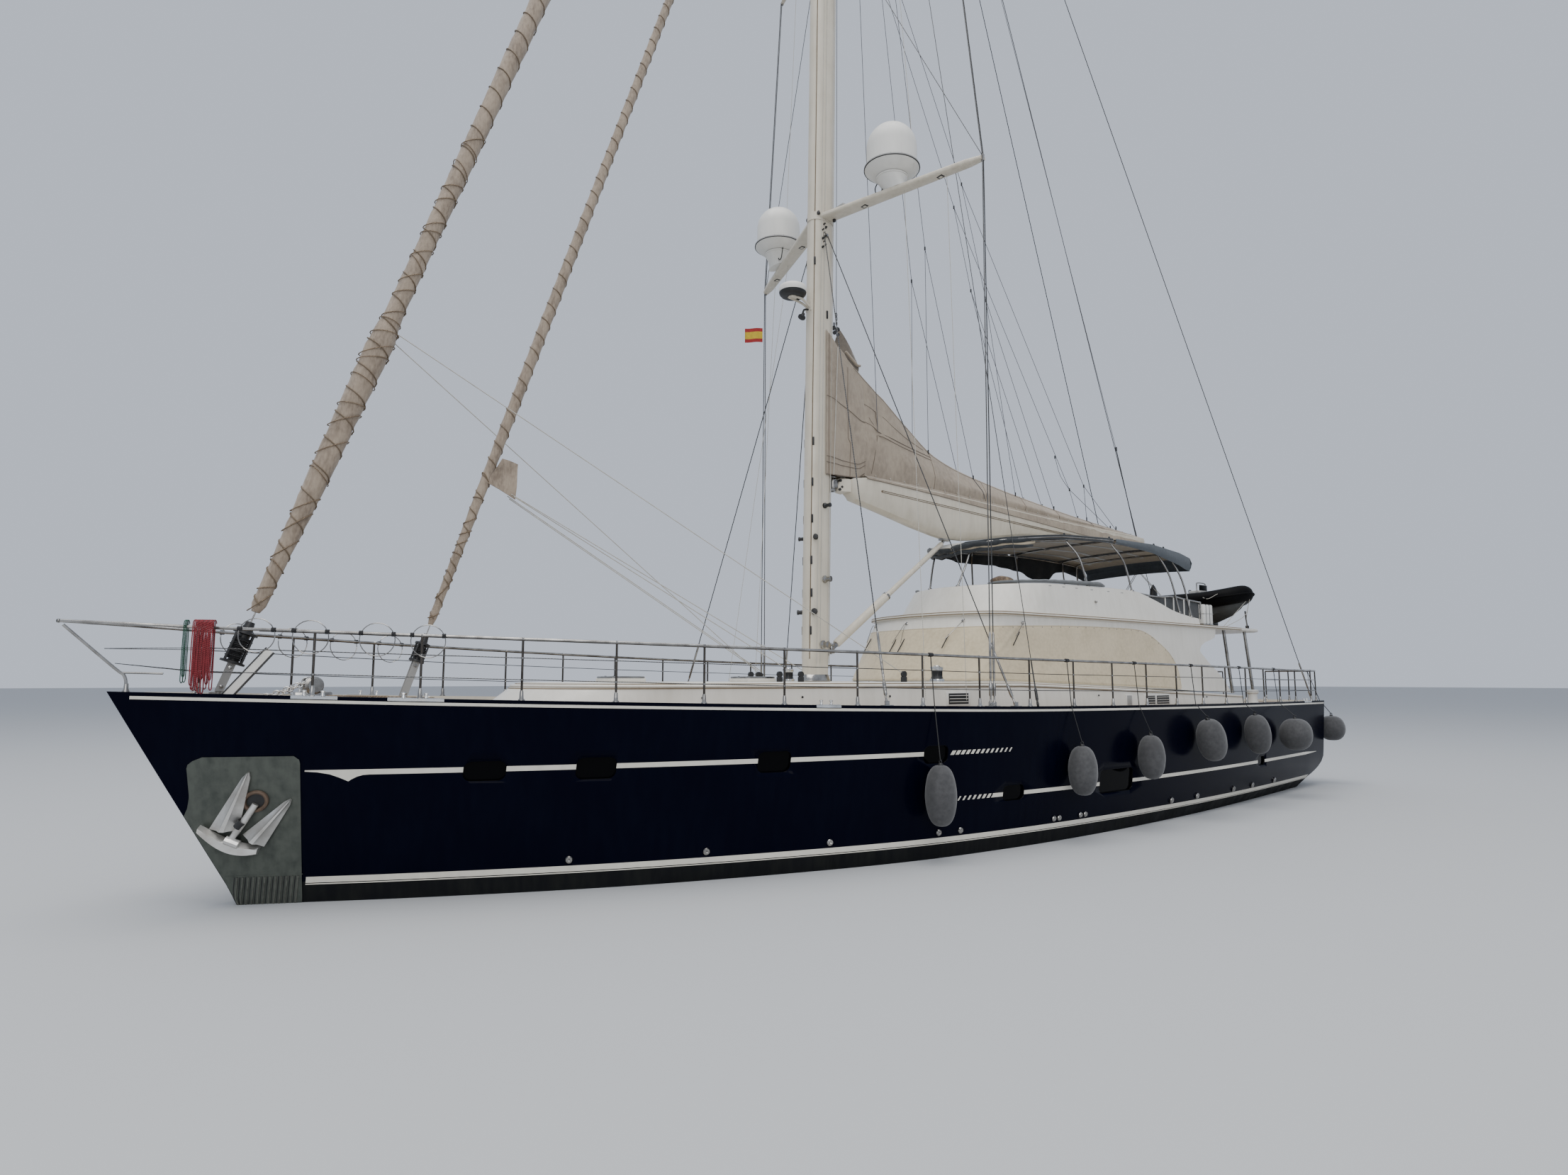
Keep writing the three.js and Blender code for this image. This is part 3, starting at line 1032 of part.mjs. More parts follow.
// Fenders on their lanyards, port side and one at the port quarter
function fenderSolid(radius, halfLength) {
  return lathe([
    [0, -halfLength], [radius * 0.45, -halfLength + 20], [radius * 0.9, -halfLength * 0.6], [radius, 0],
    [radius * 0.9, halfLength * 0.6], [radius * 0.45, halfLength - 20], [0, halfLength],
  ], 12);
}

const FENDER_GAP = 40;
const LANYARD = 8;
const CAP_CLEAR = 22;

// A leaning fender at its centre, with a lanyard over a point by the cap edge to a point on the rail
function hungFender(centre, radius, halfLength, lean, capPoint, railPoint) {
  const [x, y, z] = centre;
  const angle = THREE.MathUtils.degToRad(lean);
  const along = (distance) => [x + distance * Math.sin(angle), y, z + distance * Math.cos(angle)];
  const lanyard = tubeRun([along(halfLength - 40), along(halfLength + 20), capPoint, railPoint], LANYARD, 5);
  return fenderSolid(radius, halfLength).rotate([0, lean, 0]).translate(centre).add(lanyard);
}

const railClear = join(guardRail(1, SEAT_GAP));
FENDERS.forEach(([x, y, z, radius, halfLength, lean, railX], i) => {
  const fender = hungFender([x, y, z], radius, halfLength, lean,
    [railX, deckHalfAt(railX) + CAP_CLEAR, sheerAt(railX)],
    [railX, deckHalfAt(railX) - RAIL_INSET, sheerAt(railX) + RAIL_HEIGHT]);
  addPart(`fender_${i + 1}`, fender.subtract(railClear), COLOURS.grey, 0.95);
});

const STERN_FENDER = { y: 2380, capY: 2240, railY: 1970, z: 1680, radius: 360, halfLength: 370 };
const quarterFender = hungFender(
  [STERN_AT_DECK - STERN_FENDER.radius - FENDER_GAP, STERN_FENDER.y, STERN_FENDER.z],
  STERN_FENDER.radius, STERN_FENDER.halfLength, 0,
  [STERN_AT_DECK - CAP_CLEAR, STERN_FENDER.capY, sheerAt(STERN_AT_DECK)],
  [STERN_RAIL_X, STERN_FENDER.railY, sheerAt(STERN_RAIL_X) + RAIL_HEIGHT]);
addPart(`fender_${FENDERS.length + 1}`, quarterFender.subtract(sternRail(SEAT_GAP)), COLOURS.grey, 0.95);

export default yacht;
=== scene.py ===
"""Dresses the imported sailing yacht: smooth hull and deckhouse, canvas, rig, rails and deck gear.

Every length is in metres in the part's own frame: +X to the bow, +Y to port, +Z up, origin on the waterline.
"""
from __future__ import annotations

import json
import logging
import math
import random
from dataclasses import dataclass, field
from enum import Enum
from typing import Callable, Iterable, Sequence

import bmesh
import bpy
from mathutils import Matrix, Vector, noise

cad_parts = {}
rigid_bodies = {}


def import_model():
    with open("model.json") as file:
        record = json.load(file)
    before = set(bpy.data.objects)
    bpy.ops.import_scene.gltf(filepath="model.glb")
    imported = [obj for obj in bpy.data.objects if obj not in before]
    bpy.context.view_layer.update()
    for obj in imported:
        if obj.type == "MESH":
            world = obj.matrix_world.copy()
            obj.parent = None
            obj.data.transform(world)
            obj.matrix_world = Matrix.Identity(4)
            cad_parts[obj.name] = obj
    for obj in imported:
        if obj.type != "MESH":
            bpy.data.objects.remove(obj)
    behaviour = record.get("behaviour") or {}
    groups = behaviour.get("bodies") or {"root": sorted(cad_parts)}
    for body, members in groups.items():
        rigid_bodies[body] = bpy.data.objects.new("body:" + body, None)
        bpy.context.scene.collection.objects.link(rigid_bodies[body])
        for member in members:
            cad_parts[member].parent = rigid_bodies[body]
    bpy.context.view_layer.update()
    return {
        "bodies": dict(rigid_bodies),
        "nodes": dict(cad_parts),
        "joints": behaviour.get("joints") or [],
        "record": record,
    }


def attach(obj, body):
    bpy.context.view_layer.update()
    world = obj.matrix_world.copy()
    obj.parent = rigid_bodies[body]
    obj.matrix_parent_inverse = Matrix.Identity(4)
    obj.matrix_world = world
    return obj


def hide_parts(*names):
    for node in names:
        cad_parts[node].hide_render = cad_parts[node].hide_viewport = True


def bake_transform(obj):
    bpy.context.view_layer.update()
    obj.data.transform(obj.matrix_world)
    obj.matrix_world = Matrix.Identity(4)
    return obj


LOG = logging.getLogger("yacht")
Point = Sequence[float]
TAU = 2 * math.pi
HOUSE_TOP = 3.1203
FLY_DECK = 4.6703
COAMING_TOP = 5.48


class Slot(Enum):
    """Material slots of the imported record."""

    NAVY = "navy_paint"
    GALVANISED = "galvanised_steel"
    GELCOAT = "white_gelcoat"
    TEAK = "teak"
    CANVAS = "canvas"
    STEEL = "polished_steel"
    CREAM = "cream_paint"
    PLASTIC = "white_plastic"
    SAIL = "sail_cloth"
    DARK = "dark_metal"
    ACRYLIC = "smoked_acrylic"
    RUBBER = "tender_rubber"
    FENDER = "fender_cloth"


class Body(Enum):
    """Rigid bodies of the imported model."""

    YACHT = "yacht_body"
    BOOM = "boom"
    WHEEL = "helm_wheel"
    DOOR = "saloon_door"
    HATCH_FORWARD = "hatch_lid_forward"
    HATCH_MIDDLE = "hatch_lid_middle"


# Finishes


class NodeGraph:
    """A small helper that wires one material's nodes."""

    def __init__(self, name: str) -> None:
        """Makes an empty material.

        Args:
            name: the material's name.
        """
        self.material = bpy.data.materials.new(name)
        self.material.use_nodes = True
        self.tree = self.material.node_tree
        self.shader = self.tree.nodes["Principled BSDF"]
        self.where = self.add("ShaderNodeTexCoord").outputs["Object"]

    def add(self, kind: str, **settings: object) -> bpy.types.Node:
        """Adds a node and sets its properties.

        Args:
            kind: the node's type.
            **settings: properties of the node.

        Returns:
            The new node.
        """
        node = self.tree.nodes.new(kind)
        for key, value in settings.items():
            setattr(node, key, value)
        return node

    def link(self, source: bpy.types.NodeSocket, target: bpy.types.NodeSocket) -> None:
        """Links an output to an input."""
        self.tree.links.new(source, target)

    def placed(self, scale: Point = (1, 1, 1), turn: Point = (0, 0, 0)) -> bpy.types.NodeSocket:
        """Object coordinates through a mapping.

        Args:
            scale: scale along each axis.
            turn: turn about each axis.

        Returns:
            The mapped coordinates.
        """
        mapping = self.add("ShaderNodeMapping")
        mapping.inputs["Scale"].default_value = scale
        mapping.inputs["Rotation"].default_value = turn
        self.link(self.where, mapping.inputs["Vector"])
        return mapping.outputs["Vector"]

    def noise(self, scale: float, detail: float = 4.0, stretch: Point = (1, 1, 1)) -> bpy.types.NodeSocket:
        """Fractal noise over the object.

        Args:
            scale: the noise's scale.
            detail: its octaves.
            stretch: scale along each axis.

        Returns:
            The noise value.
        """
        node = self.add("ShaderNodeTexNoise")
        node.inputs["Scale"].default_value = scale
        node.inputs["Detail"].default_value = detail
        self.link(self.placed(stretch), node.inputs["Vector"])
        return node.outputs["Fac"]

    def spread(self, value: bpy.types.NodeSocket, low: float, high: float, to_low: float,
               to_high: float) -> bpy.types.NodeSocket:
        """Maps a value's range onto another.

        Args:
            value: the value.
            low: its low end.
            high: its high end.
            to_low: the new low end.
            to_high: the new high end.

        Returns:
            The mapped value.
        """
        node = self.add("ShaderNodeMapRange")
        for name, number in (("From Min", low), ("From Max", high), ("To Min", to_low), ("To Max", to_high)):
            node.inputs[name].default_value = number
        self.link(value, node.inputs["Value"])
        return node.outputs["Result"]

    def between(self, share: bpy.types.NodeSocket, first: Point, second: Point) -> bpy.types.NodeSocket:
        """A colour between two, by a share.

        Args:
            share: 0 for the first colour, 1 for the second.
            first: the first colour.
            second: the second colour.

        Returns:
            The mixed colour.
        """
        node = self.add("ShaderNodeMix", data_type="RGBA")
        node.inputs["A"].default_value = (*first, 1)
        node.inputs["B"].default_value = (*second, 1)
        self.link(share, node.inputs["Factor"])
        return node.outputs["Result"]

    def sum(self, first: bpy.types.NodeSocket, second: bpy.types.NodeSocket,
            how: str = "ADD") -> bpy.types.NodeSocket:
        """Joins two values by a math operation."""
        node = self.add("ShaderNodeMath", operation=how)
        self.link(first, node.inputs[0])
        self.link(second, node.inputs[1])
        return node.outputs[0]

    def bump(self, height: bpy.types.NodeSocket, distance: float, strength: float = 1.0) -> None:
        """Adds bump to the shader.

        Args:
            height: the height value.
            distance: the depth in metres.
            strength: its strength.
        """
        node = self.add("ShaderNodeBump")
        node.inputs["Distance"].default_value = distance
        node.inputs["Strength"].default_value = strength
        self.link(height, node.inputs["Height"])
        self.link(node.outputs["Normal"], self.shader.inputs["Normal"])


@dataclass(frozen=True)
class Paint:
    """Gloss paint or gelcoat with faint cloudiness, streaks and orange peel."""

    name: str
    colour: Point
    worn: Point
    roughness: float = 0.35
    metallic: float = 0.0
    specular: float = 0.5
    peel: float = 0.0006
    grain: float = 1.2
    streaks: float = 0.35

    def material(self) -> bpy.types.Material:
        """Builds the paint's material.

        Returns:
            The material.
        """
        graph = NodeGraph(self.name)
        cloud = graph.noise(self.grain, 6)
        streak = graph.noise(1.0, 5, (9, 9, 0.9))
        both = graph.sum(cloud, streak, "MULTIPLY")
        share = graph.spread(both, 0.16, 0.42, 0.0, self.streaks)
        graph.link(graph.between(share, self.colour, self.worn), graph.shader.inputs["Base Color"])
        rough = graph.spread(cloud, 0.3, 0.7, self.roughness * 0.8, min(self.roughness * 1.3, 1))
        graph.link(rough, graph.shader.inputs["Roughness"])
        graph.bump(graph.noise(45, 3), self.peel, 0.5)
        graph.shader.inputs["Metallic"].default_value = self.metallic
        graph.shader.inputs["Specular IOR Level"].default_value = self.specular
        return graph.material


@dataclass(frozen=True)
class Metal:
    """Bare metal with brushing or dullness."""

    name: str
    colour: Point
    dull: Point
    roughness: float = 0.2
    grain: float = 30.0

    def material(self) -> bpy.types.Material:
        """Builds the metal's material.

        Returns:
            The material.
        """
        graph = NodeGraph(self.name)
        cloud = graph.noise(self.grain / 6, 5)
        share = graph.spread(cloud, 0.35, 0.7, 0.0, 1.0)
        graph.link(graph.between(share, self.colour, self.dull), graph.shader.inputs["Base Color"])
        graph.link(graph.spread(cloud, 0.3, 0.75, self.roughness * 0.7, self.roughness * 1.6),
                   graph.shader.inputs["Roughness"])
        graph.bump(graph.noise(self.grain * 4, 2), 0.0003, 0.4)
        graph.shader.inputs["Metallic"].default_value = 1.0
        return graph.material


@dataclass(frozen=True)
class Cloth:
    """Woven cloth with threads, weathering and soft creases."""

    name: str
    colour: Point
    shade: Point
    weave: float = 260.0
    crease: float = 0.012
    stretch: Point = (1, 1, 1)
    roughness: float = 0.9
    stain: float = 0.8

    def material(self) -> bpy.types.Material:
        """Builds the cloth's material.

        Returns:
            The material.
        """
        graph = NodeGraph(self.name)
        threads = []
        for axis in ("X", "Z"):
            wave = graph.add("ShaderNodeTexWave", bands_direction=axis)
            wave.inputs["Scale"].default_value = self.weave / 3
            wave.inputs["Distortion"].default_value = 0.6
            graph.link(graph.placed(), wave.inputs["Vector"])
            threads.append(wave.outputs["Fac"])
        weave = graph.sum(threads[0], threads[1])
        folds = graph.noise(2.2, 7, self.stretch)
        fine = graph.noise(14.0, 6, self.stretch)
        share = graph.spread(graph.sum(folds, fine, "MULTIPLY"), 0.15, 0.4, 0.0, self.stain)
        graph.link(graph.between(share, self.colour, self.shade), graph.shader.inputs["Base Color"])
        depth = graph.sum(graph.spread(folds, 0.2, 0.8, 0, 10), graph.spread(fine, 0.2, 0.8, 0, 1.2))
        height = graph.sum(depth, graph.spread(weave, 0, 2, 0, 0.25))
        graph.bump(height, self.crease * 0.1, 0.9)
        graph.shader.inputs["Roughness"].default_value = self.roughness
        graph.shader.inputs["Sheen Weight"].default_value = 0.25
        return graph.material


@dataclass(frozen=True)
class Planks:
    """Teak planks laid fore and aft with dark caulking."""

    name: str
    colour: Point
    shade: Point
    caulk: Point = (0.02, 0.018, 0.016)
    width: float = 0.06

    def material(self) -> bpy.types.Material:
        """Builds the deck's material.

        Returns:
            The material.
        """
        graph = NodeGraph(self.name)
        split = graph.add("ShaderNodeSeparateXYZ")
        graph.link(graph.where, split.inputs[0])
        across = graph.add("ShaderNodeMath", operation="DIVIDE")
        graph.link(split.outputs["Y"], across.inputs[0])
        across.inputs[1].default_value = self.width
        part = graph.add("ShaderNodeMath", operation="FRACT")
        graph.link(across.outputs[0], part.inputs[0])
        seam = graph.spread(part.outputs[0], 0.0, 0.12, 1.0, 0.0)
        grain = graph.noise(3, 8, (1, 26, 8))
        wood = graph.between(graph.spread(grain, 0.3, 0.7, 0, 1), self.colour, self.shade)
        mix = graph.add("ShaderNodeMix", data_type="RGBA")
        graph.link(wood, mix.inputs["A"])
        mix.inputs["B"].default_value = (*self.caulk, 1)
        graph.link(seam, mix.inputs["Factor"])
        graph.link(mix.outputs["Result"], graph.shader.inputs["Base Color"])
        graph.bump(graph.spread(part.outputs[0], 0.0, 0.12, 0.0, 1.0), 0.002, 0.8)
        graph.shader.inputs["Roughness"].default_value = 0.75
        return graph.material


@dataclass(frozen=True)
class Laid:
    """Three-strand rope or wire with a twist along its own length, darker in the grooves between strands as
    painted shade, with random dirt.
    """

    name: str
    colour: Point
    shade: Point
    roughness: float = 0.8
    metallic: float = 0.0

    def material(self) -> bpy.types.Material:
        """Builds the rope's material.

        Returns:
            The material.
        """
        graph = NodeGraph(self.name)
        wave = graph.add("ShaderNodeTexWave", bands_direction="DIAGONAL")
        wave.inputs["Scale"].default_value = 22
        wave.inputs["Distortion"].default_value = 1.5
        graph.link(graph.placed(), wave.inputs["Vector"])
        dirt = graph.noise(9, 5)
        # The darker tone falls in the grooves between the strands: painted shade, mixed with random dirt.
        share = graph.sum(wave.outputs["Fac"], dirt, "MULTIPLY")
        graph.link(graph.between(graph.spread(share, 0.05, 0.5, 0, 1), self.shade, self.colour),
                   graph.shader.inputs["Base Color"])
        graph.bump(wave.outputs["Fac"], 0.003, 0.8)
        graph.shader.inputs["Roughness"].default_value = self.roughness
        graph.shader.inputs["Metallic"].default_value = self.metallic
        return graph.material


class Locker:
    """Keeps each finish's material, made once."""

    FINISHES = (
        Paint("navy topsides", (0.0006, 0.001, 0.0065), (0.0018, 0.003, 0.01), 0.2, specular=0.04,
              peel=0.0008,
              grain=0.8, streaks=0.6),
        Paint("antifouling paint", (0.004, 0.0045, 0.006), (0.012, 0.013, 0.012), 0.7, specular=0.15, grain=3,
              streaks=0.9),
        Paint("cream line", (0.72, 0.69, 0.6), (0.5, 0.47, 0.4), 0.35),
        Paint("white gelcoat", (0.74, 0.715, 0.65), (0.6, 0.57, 0.5), 0.32, grain=0.9, streaks=0.5),
        Paint("beige line", (0.27, 0.21, 0.14), (0.2, 0.16, 0.11), 0.5),
        Paint("cream spar paint", (0.63, 0.58, 0.48), (0.47, 0.42, 0.33), 0.38, grain=2, streaks=0.6),
        Paint("white moulding", (0.72, 0.71, 0.67), (0.58, 0.57, 0.53), 0.42, streaks=0.4),
        Paint("grey moulding", (0.34, 0.34, 0.33), (0.26, 0.26, 0.25), 0.5),
        Paint("black fitting", (0.012, 0.012, 0.013), (0.03, 0.03, 0.03), 0.45, grain=8),
        Paint("smoked glass", (0.0012, 0.0013, 0.0018), (0.002, 0.002, 0.003), 0.1, peel=0.0001,
              specular=0.05,
              streaks=0.2),
        Paint("varnished teak", (0.3, 0.16, 0.07), (0.2, 0.1, 0.045), 0.3, grain=6, streaks=0.9),
        Metal("polished stainless", (0.42, 0.41, 0.39), (0.2, 0.19, 0.18), 0.18),
        # Painted shade: a dark copy of polished stainless, for the post bars and a thin tube under the top
        # tube, where the rail is seen against the light.
        Metal("stainless in painted shade", (0.1, 0.09, 0.08), (0.05, 0.045, 0.04), 0.3),
        Paint("worn plate", (0.085, 0.095, 0.08), (0.05, 0.058, 0.05), 0.5, 0.35, grain=7, streaks=1.0),
        Paint("worn rib", (0.13, 0.135, 0.115), (0.07, 0.07, 0.06), 0.45, 0.4, grain=12, streaks=1.0),
        Paint("rusty bronze", (0.16, 0.11, 0.075), (0.09, 0.06, 0.045), 0.55, 0.5, grain=9, streaks=1.0),
        Metal("galvanised", (0.72, 0.71, 0.68), (0.45, 0.43, 0.4), 0.45, 20),
        Metal("cast bronze", (0.42, 0.3, 0.14), (0.2, 0.15, 0.09), 0.45),
        Cloth("window canvas", (0.63, 0.54, 0.38), (0.48, 0.4, 0.27), crease=0.01, stain=0.7),
        Cloth("bimini canvas", (0.5, 0.42, 0.3), (0.36, 0.3, 0.21), crease=0.008),
        Cloth("dark canvas", (0.02, 0.024, 0.028), (0.04, 0.045, 0.05), crease=0.01),
        Cloth("sail cover cloth", (0.36, 0.3, 0.23), (0.24, 0.195, 0.15), crease=0.03, stretch=(1, 1, 0.5)),
        Cloth("furled cover cloth", (0.36, 0.29, 0.22), (0.2, 0.155, 0.115), crease=0.03, stretch=(2, 2, 0.7),
              stain=1.0),
        # Painted shade: a darker copy of the sail cover cloth, for the flap at the sail's head that lies in
        # shade.
        Cloth("cover cloth in painted shade", (0.17, 0.14, 0.105), (0.11, 0.09, 0.07), crease=0.02),
        # Dark cloth for the cover's real seams; the same cloth drawn along the creases is painted shade.
        Cloth("seam cloth and crease shade", (0.15, 0.115, 0.085), (0.1, 0.08, 0.06), crease=0.002),
        Cloth("fender sock", (0.048, 0.048, 0.05), (0.085, 0.085, 0.087), weave=420, crease=0.004),
        Paint("tender fabric", (0.0015, 0.0015, 0.002), (0.004, 0.004, 0.0045), 0.5, specular=0.08),
        Cloth("cushion cloth", (0.42, 0.38, 0.31), (0.3, 0.27, 0.22), crease=0.01),
        Cloth("grey cushion", (0.14, 0.15, 0.155), (0.1, 0.105, 0.11), crease=0.01),
        Cloth("patterned wrap", (0.34, 0.24, 0.14), (0.1, 0.065, 0.04), crease=0.03, stain=1.6),
        Paint("deck grip", (0.66, 0.64, 0.57), (0.54, 0.52, 0.46), 0.75, grain=2, streaks=0.8, peel=0.003),
        Cloth("bimini top cloth", (0.5, 0.49, 0.45), (0.38, 0.37, 0.34), crease=0.008),
        Cloth("slate canvas", (0.07, 0.085, 0.1), (0.045, 0.055, 0.065), crease=0.01),
        Cloth("pale strip", (0.55, 0.55, 0.52), (0.42, 0.42, 0.4), crease=0.004, roughness=0.45),
        Cloth("red cloth", (0.35, 0.02, 0.02), (0.25, 0.015, 0.015), crease=0.004),
        Cloth("yellow cloth", (0.6, 0.42, 0.03), (0.45, 0.32, 0.02), crease=0.004),
        Paint("brown groove", (0.15, 0.11, 0.07), (0.1, 0.075, 0.05), 0.7, grain=8),
        Paint("grey hull paint", (0.05, 0.053, 0.052), (0.03, 0.033, 0.032), 0.5, grain=3),
        Metal("bright steel", (0.75, 0.75, 0.74), (0.5, 0.5, 0.49), 0.14),
        Planks("teak deck", (0.33, 0.25, 0.17), (0.24, 0.18, 0.12)),
        Laid("rigging wire", (0.12, 0.12, 0.12), (0.05, 0.05, 0.05), 0.4, 0.8),
        Laid("dark line", (0.13, 0.13, 0.14), (0.07, 0.07, 0.08)),
        Laid("white rope", (0.6, 0.58, 0.52), (0.34, 0.32, 0.28)),
        Laid("brown rope", (0.25, 0.18, 0.11), (0.1, 0.07, 0.045)),
        Laid("red rope", (0.3, 0.03, 0.04), (0.14, 0.015, 0.02)),
        Laid("green rope", (0.02, 0.1, 0.06), (0.01, 0.05, 0.03)),
        Laid("black rope", (0.02, 0.02, 0.022), (0.008, 0.008, 0.009)),
        Laid("teal hose", (0.02, 0.09, 0.1), (0.012, 0.05, 0.06), 0.4),
    )

    def __init__(self) -> None:
        """Starts with no material made."""
        self.made: dict[str, bpy.types.Material] = {}

    def get(self, name: str) -> bpy.types.Material:
        """The material of that name.

        Args:
            name: one of the finishes' names.

        Returns:
            The material.
        """
        if name not in self.made:
            finish = next(item for item in self.FINISHES if item.name == name)
            self.made[name] = finish.material()
        return self.made[name]


LOCKER = Locker()


# Shapes


def lerp(a: float, b: float, share: float) -> float:
    """A value between two."""
    return a + (b - a) * share


def table_value(table: Sequence[Point], x: float, column: int = 1) -> float:
    """Value of a table at x by straight lines; the first column falls.

    Args:
        table: rows of x and values.
        x: where to read.
        column: which value.

    Returns:
        The value.
    """
    for first, second in zip(table, table[1:]):
        if x >= second[0] or second is table[-1]:
            return lerp(first[column], second[column], (first[0] - x) / (first[0] - second[0]))
    return table[-1][column]


def blunt(value: float, power: float) -> float:
    """A signed value whose size is raised to a power."""
    return math.copysign(abs(value) ** power, value)


def smooth_value(table: Sequence[Point], x: float, column: int = 1) -> float:
    """The same by a smooth curve through the rows.

    Args:
        table: rows of x and values.
        x: where to read.
        column: which value.

    Returns:
        The value.
    """
    last = len(table) - 1
    i = 0
    while i < last - 1 and x < table[i + 1][0]:
        i += 1

    def row(k: int) -> Point:
        """A row, or the nearest where there is none."""
        return table[min(max(k, 0), last)]

    def slope(k: int) -> float:
        """The curve's slope at a row."""
        a, b = row(k - 1), row(k + 1)
        return (b[column] - a[column]) / (b[0] - a[0])

    t = (row(i)[0] - x) / (row(i)[0] - row(i + 1)[0])
    span = row(i + 1)[0] - row(i)[0]
    m0, m1 = slope(i) * span, slope(i + 1) * span
    return ((2 * t**3 - 3 * t**2 + 1) * row(i)[column] + (t**3 - 2 * t**2 + t) * m0
            + (3 * t**2 - 2 * t**3) * row(i + 1)[column] + (t**3 - t**2) * m1)


class Repeater:
    """The two Geometry Nodes trees that make runs of tube and repeated fittings."""

    def __init__(self) -> None:
        """Builds both trees."""
        self.run_tree = self._run_tree()
        self.copy_tree = self._copy_tree()

    @staticmethod
    def _new_tree(name: str, inputs: Sequence[tuple[str, str]]) -> bpy.types.NodeTree:
        """A geometry tree with its inputs and output.

        Args:
            name: the tree's name.
            inputs: pairs of input name and socket type.

        Returns:
            The tree.
        """
        tree = bpy.data.node_groups.new(name, "GeometryNodeTree")
        tree.interface.new_socket("Geometry", in_out="INPUT", socket_type="NodeSocketGeometry")
        for label, kind in inputs:
            tree.interface.new_socket(label, in_out="INPUT", socket_type=kind)
        tree.interface.new_socket("Geometry", in_out="OUTPUT", socket_type="NodeSocketGeometry")
        return tree

    def _run_tree(self) -> bpy.types.NodeTree:
        """A tree that turns edges into round tubes.

        Returns:
            The tree.
        """
        tree = self._new_tree("run of tube", (
            ("Radius", "NodeSocketFloat"), ("Sides", "NodeSocketInt"), ("Finish", "NodeSocketMaterial")))
        nodes, links = tree.nodes, tree.links
        start, end = nodes.new("NodeGroupInput"), nodes.new("NodeGroupOutput")
        curve = nodes.new("GeometryNodeMeshToCurve")
        circle = nodes.new("GeometryNodeCurvePrimitiveCircle")
        sweep = nodes.new("GeometryNodeCurveToMesh")
        sweep.inputs["Fill Caps"].default_value = True
        real = nodes.new("GeometryNodeRealizeInstances")
        dress = nodes.new("GeometryNodeSetMaterial")
        links.new(start.outputs["Geometry"], curve.inputs["Mesh"])
        links.new(start.outputs["Radius"], circle.inputs["Radius"])
        links.new(start.outputs["Sides"], circle.inputs["Resolution"])
        links.new(curve.outputs["Curve"], sweep.inputs["Curve"])
        links.new(circle.outputs["Curve"], sweep.inputs["Profile Curve"])
        links.new(sweep.outputs["Mesh"], real.inputs["Geometry"])
        links.new(real.outputs["Geometry"], dress.inputs["Geometry"])
        links.new(start.outputs["Finish"], dress.inputs["Material"])
        links.new(dress.outputs["Geometry"], end.inputs["Geometry"])
        return tree

    def _copy_tree(self) -> bpy.types.NodeTree:
        """A tree that puts a fitting at each point, turned and scaled by the point's attributes.

        Returns:
            The tree.
        """
        tree = self._new_tree("repeated fitting", (
            ("Fitting", "NodeSocketObject"), ("Size", "NodeSocketFloat"), ("Finish", "NodeSocketMaterial")))
        nodes, links = tree.nodes, tree.links
        start, end = nodes.new("NodeGroupInput"), nodes.new("NodeGroupOutput")
        info = nodes.new("GeometryNodeObjectInfo")
        turn = nodes.new("GeometryNodeInputNamedAttribute")
        turn.data_type = "FLOAT_VECTOR"
        turn.inputs["Name"].default_value = "turn"
        grow = nodes.new("GeometryNodeInputNamedAttribute")
        grow.data_type = "FLOAT_VECTOR"
        grow.inputs["Name"].default_value = "grow"
        scaled = nodes.new("ShaderNodeVectorMath")
        scaled.operation = "SCALE"
        put = nodes.new("GeometryNodeInstanceOnPoints")
        real = nodes.new("GeometryNodeRealizeInstances")
        dress = nodes.new("GeometryNodeSetMaterial")
        links.new(start.outputs["Geometry"], put.inputs["Points"])
        links.new(start.outputs["Fitting"], info.inputs["Object"])
        links.new(info.outputs["Geometry"], put.inputs["Instance"])
        links.new(turn.outputs["Attribute"], put.inputs["Rotation"])
        links.new(grow.outputs["Attribute"], scaled.inputs[0])
        links.new(start.outputs["Size"], scaled.inputs["Scale"])
        links.new(scaled.outputs["Vector"], put.inputs["Scale"])
        links.new(put.outputs["Instances"], real.inputs["Geometry"])
        links.new(real.outputs["Geometry"], dress.inputs["Geometry"])
        links.new(start.outputs["Finish"], dress.inputs["Material"])
        links.new(dress.outputs["Geometry"], end.inputs["Geometry"])
        return tree

    @staticmethod
    def _result(thing: bpy.types.Object, tree: bpy.types.NodeTree,
                values: dict[str, object]) -> bpy.types.Mesh:
        """The mesh that a tree makes from an object.

        Args:
            thing: the object that the tree works on.
            tree: the tree.
            values: input names and values.

        Returns:
            The plain mesh.
        """
        modifier = thing.modifiers.new("shape", "NODES")
        modifier.node_group = tree
        for item in tree.interface.items_tree:
            if item.in_out == "INPUT" and item.name in values:
                modifier[item.identifier] = values[item.name]
        bpy.context.view_layer.update()
        graph = bpy.context.evaluated_depsgraph_get()
        mesh = bpy.data.meshes.new_from_object(thing.evaluated_get(graph))
        thing.modifiers.remove(modifier)
        return mesh

    def run(self, paths: Sequence[Sequence[Point]], radius: float, sides: int,
            finish: bpy.types.Material) -> bpy.types.Mesh:
        """Tubes along paths.

        Args:
            paths: each path's points.
            radius: the tubes' radius.
            sides: flat sides round each tube.
            finish: their material.

        Returns:
            The tubes' mesh.
        """
        mesh = bpy.data.meshes.new("paths")
        points: list[Point] = []
        edges: list[tuple[int, int]] = []
        for path in paths:
            edges += [(len(points) + i, len(points) + i + 1) for i in range(len(path) - 1)]
            points += [tuple(point) for point in path]
        mesh.from_pydata(points, edges, [])
        thing = new_object("paths", mesh)
        result = self._result(thing, self.run_tree, {"Radius": radius, "Sides": sides, "Finish": finish})
        bpy.data.objects.remove(thing)
        return result

